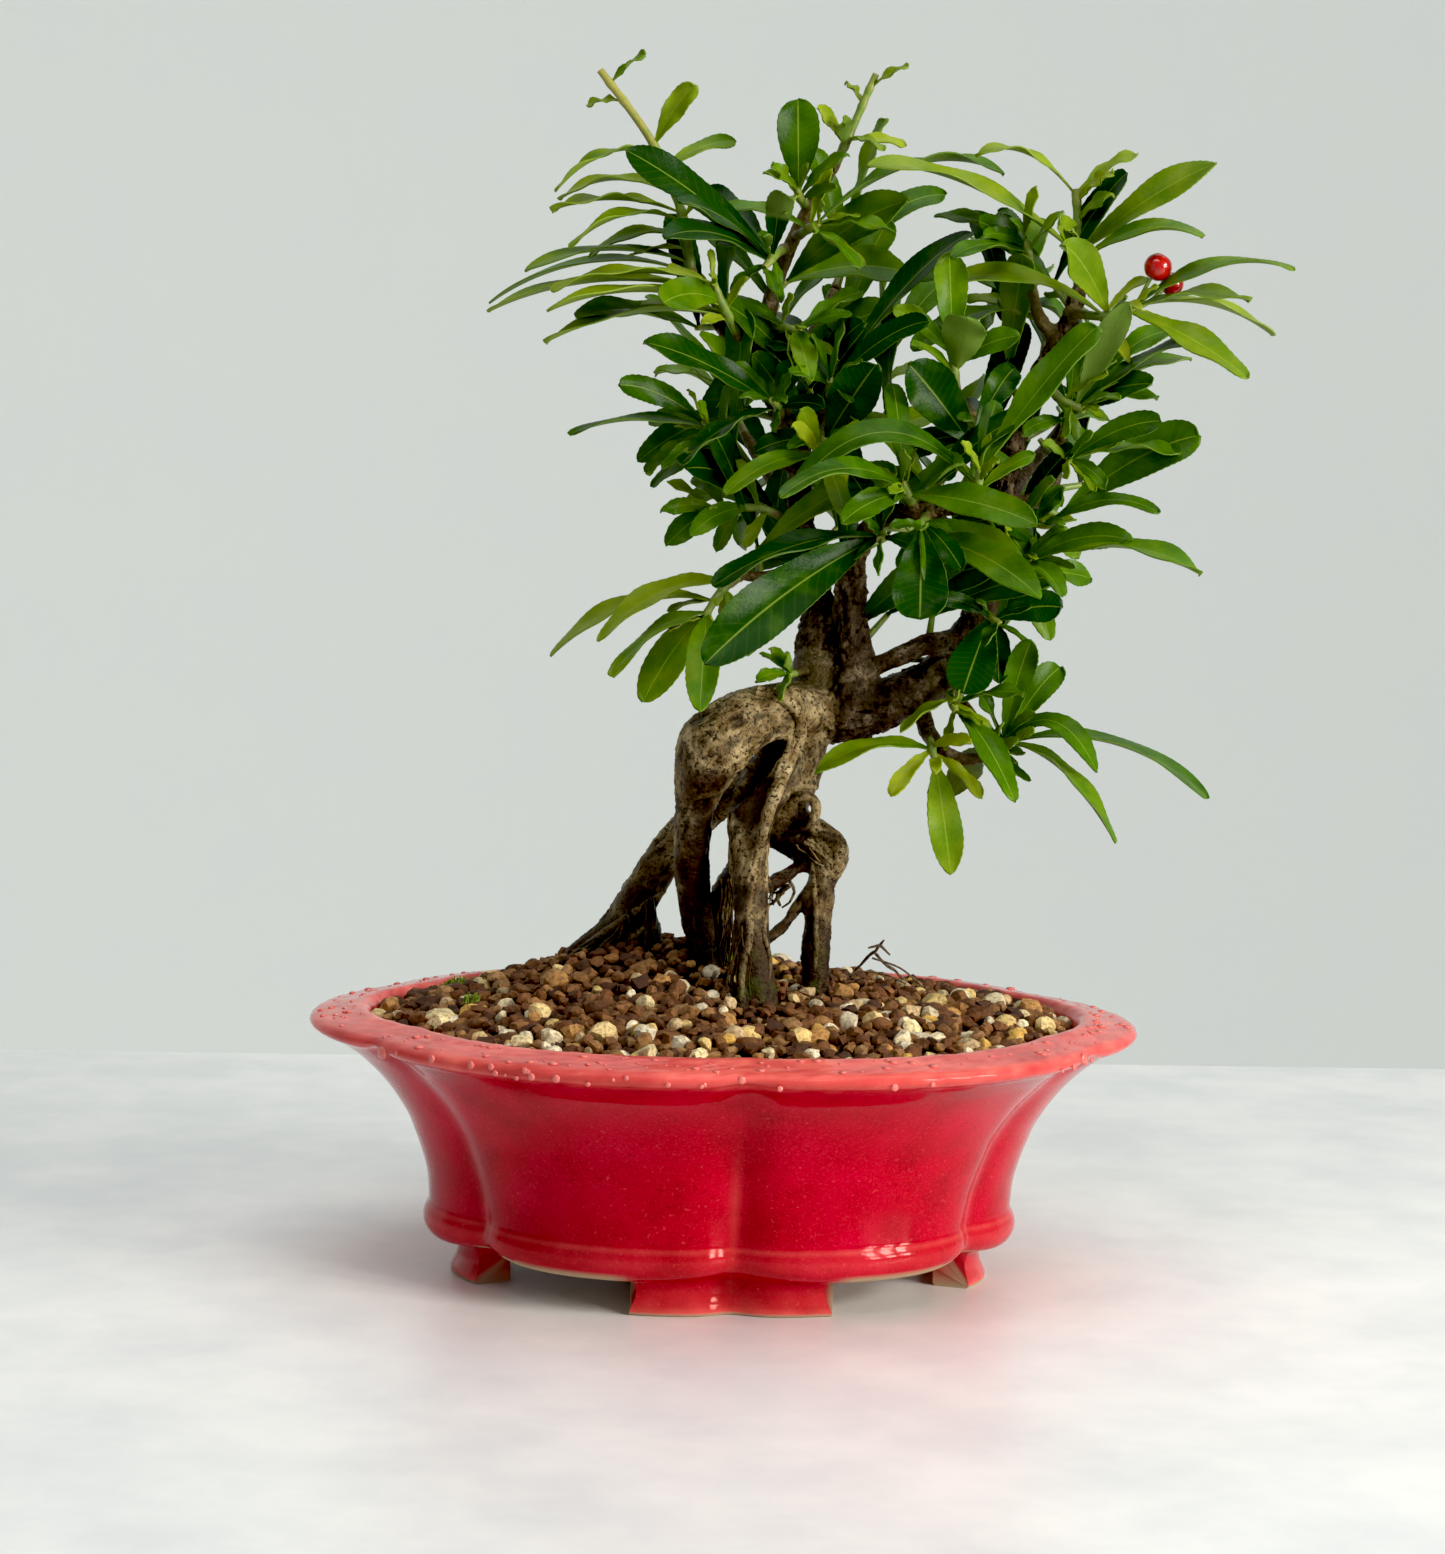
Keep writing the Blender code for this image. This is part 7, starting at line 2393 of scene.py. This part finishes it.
    def small_leaves(self, spots: list[Vector], spray: Spray, vary: random.Random) -> list[bpy.types.Mesh]:
        """The small young leaves that stand at a shoot's nodes and round its tip.

        Args:
            spots: The points of the shoot's stem.
            spray: The shoot.
            vary: The source of chance.

        Returns:
            The leaves' meshes.
        """
        axis = (spots[-1] - spots[0]).normalized()
        side = axis.orthogonal().normalized()
        turn = vary.uniform(0.0, 2 * math.pi)
        made = []
        cut_back = spray.name in CUT_SHOOTS
        for number in range(2 if cut_back else 5):
            share = 0.35 + (0.45 if cut_back else 0.65) * number / 4
            place = share * (len(spots) - 1)
            first = min(int(place), len(spots) - 2)
            root = spots[first].lerp(spots[first + 1], place - first)
            away = Matrix.Rotation(turn, 3, axis) @ side
            length = vary.uniform(*self.small_leaf_lengths) * (1.15 - 0.3 * share)
            lift = 0.3 if cut_back else 0.35 + 0.6 * share
            aim = (away * (1.1 - 0.45 * share) + axis * lift).normalized()
            blade = Blade(root, root + aim * length, 0.08, length * 0.27, vary.uniform(0.3, 1.2), 0.15 * MM)
            pick = vary.random()
            age = min(1.0, self.age_of(spray.name, pick) + 0.22)
            made.append(self.leaf(blade, age, pick))
            turn += self.growth_angle
        return made

    def build_inner(self, finishes: list, vary: random.Random) -> bpy.types.Object:
        """Build the short inner shoots: rosettes along the limbs, wherever the crown closes round them.

        Args:
            finishes: The materials of stems and leaves.
            vary: The source of chance.

        Returns:
            All of them, as one piece.
        """
        solids = [node for node in bpy.data.objects if node.name.startswith("spray_")]
        known = [node.matrix_world @ corner.co for node in solids for corner in node.data.vertices]
        crown = search_tree(known)
        shape = self.leafy_shape()
        turn = 0.0
        for run in TRUNK_RUNS + TWIG_RUNS:
            stations = seen_stations(run, self.inner_pitch)
            for number, station in enumerate(stations[1:-1], 1):
                turn += self.growth_angle
                if not self.inner_from < station.spot.z < self.inner_to:
                    continue
                axis = direction(stations, number)
                away = Matrix.Rotation(turn, 3, axis) @ axis.orthogonal().normalized()
                aim = away + axis * 0.5 + Vector((0.0, 0.0, 0.35))
                # those that would hide the limb from the front grow round to its far side
                aim = (aim - TOWARDS * max(0.0, aim.dot(TOWARDS) + 0.45)).normalized()
                tip = station.spot + aim * (station.radius + vary.uniform(4.0, 9.0) * MM)
                stalk = smooth_stations([Station(station.spot, 0.9 * MM), Station(tip, 0.6 * MM)], 1.4 * MM)
                sweep(shape, stalk, 8, "young", (0.2, 0.75))
                for mesh in self.rosette(tip, aim, crown, vary):
                    absorb(shape, mesh)
        return add_piece("inner_shoots", to_mesh("inner_shoots", shape), finishes, crisp=70.0)

    def rosette(self, tip: Vector, aim: Vector, crown: KDTree, vary: random.Random) -> list[bpy.types.Mesh]:
        """The leaves round a short shoot's tip that stay within the crown.

        Args:
            tip: The shoot's tip.
            aim: Which way it points.
            crown: A search tree over the solids' leaves.
            vary: The source of chance.

        Returns:
            The leaves' meshes.
        """
        side = aim.orthogonal().normalized()
        turn = vary.uniform(0.0, 2 * math.pi)
        made = []
        for number in range(self.rosette_leaves):
            away = Matrix.Rotation(turn, 3, aim) @ side
            turn += self.growth_angle
            length = vary.uniform(*self.inner_lengths)
            way = (away * (1.2 - 0.15 * number) + aim * (0.25 + 0.2 * number)).normalized()
            end = tip + way * length
            if crown.find(end)[2] > self.crown_reach:
                continue
            pick = vary.random()
            width = length * vary.uniform(0.26, 0.33)
            blade = Blade(tip - aim * (0.8 * MM), end, 0.08, width, vary.uniform(0.4, 1.4), 0.2 * MM)
            made.append(self.leaf(blade, min(1.0, max(0.0, 0.25 + 0.5 * (pick - 0.5))), pick))
        return made

    def leafy_shape(self) -> bmesh.types.BMesh:
        """An empty shape that holds the maps of its leaves.

        Returns:
            The shape.
        """
        shape = bmesh.new()
        shape.loops.layers.uv.new("blade")
        shape.verts.layers.float_color.new("leaf_look")
        return shape

    def stem(self, spots: list[Vector], spray: Spray, roots: list[Vector]) -> bmesh.types.BMesh:
        """A shoot's green stem, a little swollen where each leaf springs from it.

        Args:
            spots: The points of the stem.
            spray: The shoot.
            roots: Where its leaves spring from it.

        Returns:
            The stem, with the maps that leaves need.
        """
        shape = self.leafy_shape()
        along = (spots[1] - spots[0]).normalized()
        radius = spray.diameter * MM / 2
        last = len(spots) - 1
        points = [Station(spot, radius * (1.0 - 0.35 * number / last)) for number, spot in enumerate(spots)]
        points[0] = Station(spots[0] - along * (0.8 * MM), radius)
        swollen = []
        for station in smooth_stations(points, 0.7 * MM):
            near = min((station.spot - root).length for root in roots)
            swelling = 1.0 + 0.22 * math.exp(-(near / (0.9 * MM)) ** 2)
            swollen.append(Station(station.spot, station.radius * swelling))
        long_shoot = sum((b - a).length for a, b in zip(spots, spots[1:])) > 25 * MM
        sweep(shape, swollen, 12, "young", (0.25, 1.0 if long_shoot else 0.7))
        if spray.name == BERRY_STALK_SPRAY:
            start = VIEW.place(*BERRY_NODE)
            for _name, spot, size in BERRIES:
                middle = VIEW.place(*spot)
                end = middle + (start - middle).normalized() * (size * MM)
                bow = start.lerp(end, 0.5) + Vector((0.0, 0.0, -1.0 * MM))
                stalk = [Station(start, 0.5 * MM), Station(bow, 0.42 * MM), Station(end, 0.5 * MM)]
                sweep(shape, smooth_stations(stalk, 0.6 * MM), 10, "young", (0.6, 0.5))
        return shape


@dataclass(frozen=True)
class Berry:
    """A ripe berry: a little apple, dimpled at both poles, with the dry calyx in its eye."""

    name: str
    spot: tuple
    radius: float
    sepals: int = 5
    # The dimples round its eye and round its stalk, as shares of its radius: (depth, breadth)
    eye: tuple = (0.26, 0.26)
    seat: tuple = (0.14, 0.2)

    def build(self, skin: bpy.types.Material, dry: bpy.types.Material) -> bpy.types.Object:
        """Build the berry.

        Args:
            skin: Its skin.
            dry: The material of its dry calyx.

        Returns:
            The berry.
        """
        middle = VIEW.place(*self.spot)
        away = (middle - VIEW.place(*BERRY_NODE)).normalized()
        shape = bmesh.new()
        bmesh.ops.create_uvsphere(shape, u_segments=48, v_segments=32, radius=1.0)
        for corner in shape.verts:
            out = math.hypot(corner.co.x, corner.co.y)
            depth, breadth = self.eye if corner.co.z > 0 else self.seat
            corner.co.z -= math.copysign(depth * math.exp(-(out / breadth) ** 2), corner.co.z)
            corner.co *= 1.0 + 0.012 * noise.noise(corner.co * 3.0)
        made = len(shape.faces)
        for sepal in range(self.sepals):
            turn = Matrix.Rotation(2 * math.pi * sepal / self.sepals, 4, "Z")
            lean = Matrix.Translation((0.2, 0.0, 0.76)) @ Matrix.Rotation(-0.75, 4, "Y")
            flat = Matrix.Diagonal((0.10, 0.16, 0.34, 1.0))
            bmesh.ops.create_cone(shape, cap_ends=True, segments=8, radius1=1.0, radius2=0.12, depth=1.0,
                                  matrix=turn @ lean @ flat)
        shape.faces.ensure_lookup_table()
        for face in shape.faces[made:]:
            face.material_index = 1
        turn = Vector((0, 0, 1)).rotation_difference(away).to_matrix().to_4x4()
        pose = Matrix.Translation(middle) @ turn @ Matrix.Scale(self.radius * MM, 4)
        bmesh.ops.transform(shape, matrix=pose, verts=shape.verts)
        bmesh.ops.recalc_face_normals(shape, faces=shape.faces)
        name = f"ripe_{self.name}"
        return add_piece(name, to_mesh(name, shape), [skin, dry], [self.name], crisp=60.0)


@dataclass(frozen=True)
class Studio:
    """The plain pale room: a table top, a wall well behind it, and soft light from the right and above."""

    sheet_half: float = 4.0
    table_edge: float = 257.0 * MM
    wall_behind: float = 1.6
    room_depth: float = 0.74
    window_middle: tuple = (0.82, -0.60, 0.37)
    pane: tuple = (0.1, 0.145)
    pane_pitch: tuple = (0.17, 0.23)
    window_columns: int = 3
    window_rows: int = 2
    pane_watts: float = 0.4
    pane_tone: str = "#fffaf2"
    pane_spread: float = 80.0
    lamps: tuple = (
        Lamp("overhead", (0.1, -0.05, 1.1), (1.2, 0.8), 4.8, "#f8faff"),
        Lamp("ceiling_strip", (-0.15, -0.55, 0.95), (0.9, 0.06), 2.7, "#fffdf8"),
        Lamp("fill", (-0.7, -0.7, 0.35), (0.6, 0.6), 0.4, "#f2f6ff"),
    )
    lamp_aim: tuple = (0.0, 0.0, 0.12)
    room_tone: str = "#dfe4ea"
    room_light: float = 0.19
    shadow_clip: float = 0.011

    def sheet(self, name: str, finish: bpy.types.Material, pose: Matrix) -> bpy.types.Object:
        """A large plain sheet.

        Args:
            name: Its name.
            finish: Its material.
            pose: Where it is.

        Returns:
            The sheet.
        """
        shape = bmesh.new()
        bmesh.ops.create_grid(shape, x_segments=1, y_segments=1, size=self.sheet_half, matrix=pose)
        piece = bpy.data.objects.new(name, to_mesh(name, shape))
        bpy.context.scene.collection.objects.link(piece)
        piece.data.materials.append(finish)
        return piece

    def light(self, lamp: Lamp, spread: float = 180.0) -> None:
        """Hang a lamp that faces the tree and throws its light over some degrees.

        Args:
            lamp: The lamp.
            spread: How widely it throws its light, in degrees.
        """
        data = bpy.data.lights.new(lamp.name, "AREA")
        data.shape = "RECTANGLE"
        data.size, data.size_y = lamp.size
        data.energy = lamp.watts
        data.color = linear(lamp.tone)[:3]
        data.spread = math.radians(spread)
        item = bpy.data.objects.new(lamp.name, data)
        bpy.context.scene.collection.objects.link(item)
        item.location = lamp.spot
        aim = Vector(self.lamp_aim) - Vector(lamp.spot)
        item.rotation_euler = aim.to_track_quat("-Z", "Y").to_euler()

    def build(self) -> None:
        """Set up the floor, the wall, the lamps and the room's own light."""
        top = TABLE_TOP.make()
        edge = POT_MIDDLE.y + self.table_edge - self.sheet_half
        upright = Matrix.Rotation(math.pi / 2, 4, "X")
        table = self.sheet("table_top", top, Matrix.Translation((0.0, edge, 0.0)))
        ground = self.sheet("room_floor", top, Matrix.Translation((0.0, 0.0, -self.room_depth)))
        behind = Matrix.Translation((0.0, self.wall_behind, 0.0))
        wall = self.sheet("wall", WALL_PAINT.make(), behind @ upright)
        middle = Vector(self.window_middle)
        across = middle.cross(Vector((0.0, 0.0, 1.0))).normalized()
        for column in range(self.window_columns):
            for row in range(self.window_rows):
                off = across * (self.pane_pitch[0] * (column - (self.window_columns - 1) / 2))
                off.z += self.pane_pitch[1] * (row - (self.window_rows - 1) / 2)
                name = f"window_pane_{column}_{row}"
                pane = Lamp(name, middle + off, self.pane, self.pane_watts, self.pane_tone)
                self.light(pane, self.pane_spread)
        for lamp in self.lamps:
            self.light(lamp)
        world = bpy.data.worlds.new("room")
        world.use_nodes = True
        sky = world.node_tree.nodes["Background"]
        sky.inputs["Color"].default_value = linear(self.room_tone)
        sky.inputs["Strength"].default_value = self.room_light
        bpy.context.scene.world = world
        seen = bpy.context.scene.view_settings
        seen.view_transform = "Standard"
        # the darkest gaps between leaves and roots go to plain black
        seen.use_curve_mapping = True
        seen.curve_mapping.black_level = (self.shadow_clip,) * 3
        seen.curve_mapping.update()


def all_sprays() -> list[tuple[Spray, int]]:
    """Every shoot, with how many leaves it bears where it is on the far side, or else 0."""
    back = [(Spray(name, wood, stem, 2.2, ()), count) for name, wood, stem, count in BACK_SPRAYS]
    return [(spray, 0) for spray in SPRAYS] + back


def main() -> None:
    """Build and dress the tree, its pot and the studio."""
    logging.basicConfig(level=logging.INFO, format="%(message)s")
    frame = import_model()

    glaze = CrimsonGlaze().make()
    bark = FirethornBark().make()
    leaves = [GreenShoot().make(), LeatheryLeaf().make()]
    grain = SoilGrain().make()
    water = WaterDrop().make()
    net = BLACK_NET.make()

    draw = random.Random(SEED)
    for _grain in range(SOIL_DRAWS):
        draw.uniform(-1.0, 1.0)
    vary = random.Random(SEED + 1)

    pot, soil, wood, foliage = Pot(), Soil(), Wood(), Foliage()
    pot.build(glaze)
    pot.build_drops(water, random.Random(SEED + 2))
    soil.build_bed(pot, SHADED_SOIL_FINES.make())
    soil.build_grains(pot, wood, grain, random.Random(SEED + 3))
    soil.build_moss(pot, CUSHION_MOSS.make(), random.Random(SEED + 4))
    sprays = all_sprays()
    wood.build(bark, [spray for spray, _count in sprays])
    wood.build_dry_twig(DEAD_BARK.make())
    for spray, count in sprays:
        foliage.build(spray, count, leaves, draw, vary)
    foliage.build_inner(leaves, random.Random(SEED + 5))
    skin, dry = BERRY_SKIN.make(), DRY_CALYX.make()
    for name, spot, radius in BERRIES:
        Berry(name, spot, radius).build(skin, dry)
    for name in ("drain_net_1", "drain_net_2"):
        node = frame["nodes"][name]
        node.data.materials.clear()
        node.data.materials.append(net)
    Studio().build()
    VIEW.add_camera()

    bpy.context.view_layer.update()


if __name__ == "__main__":
    main()
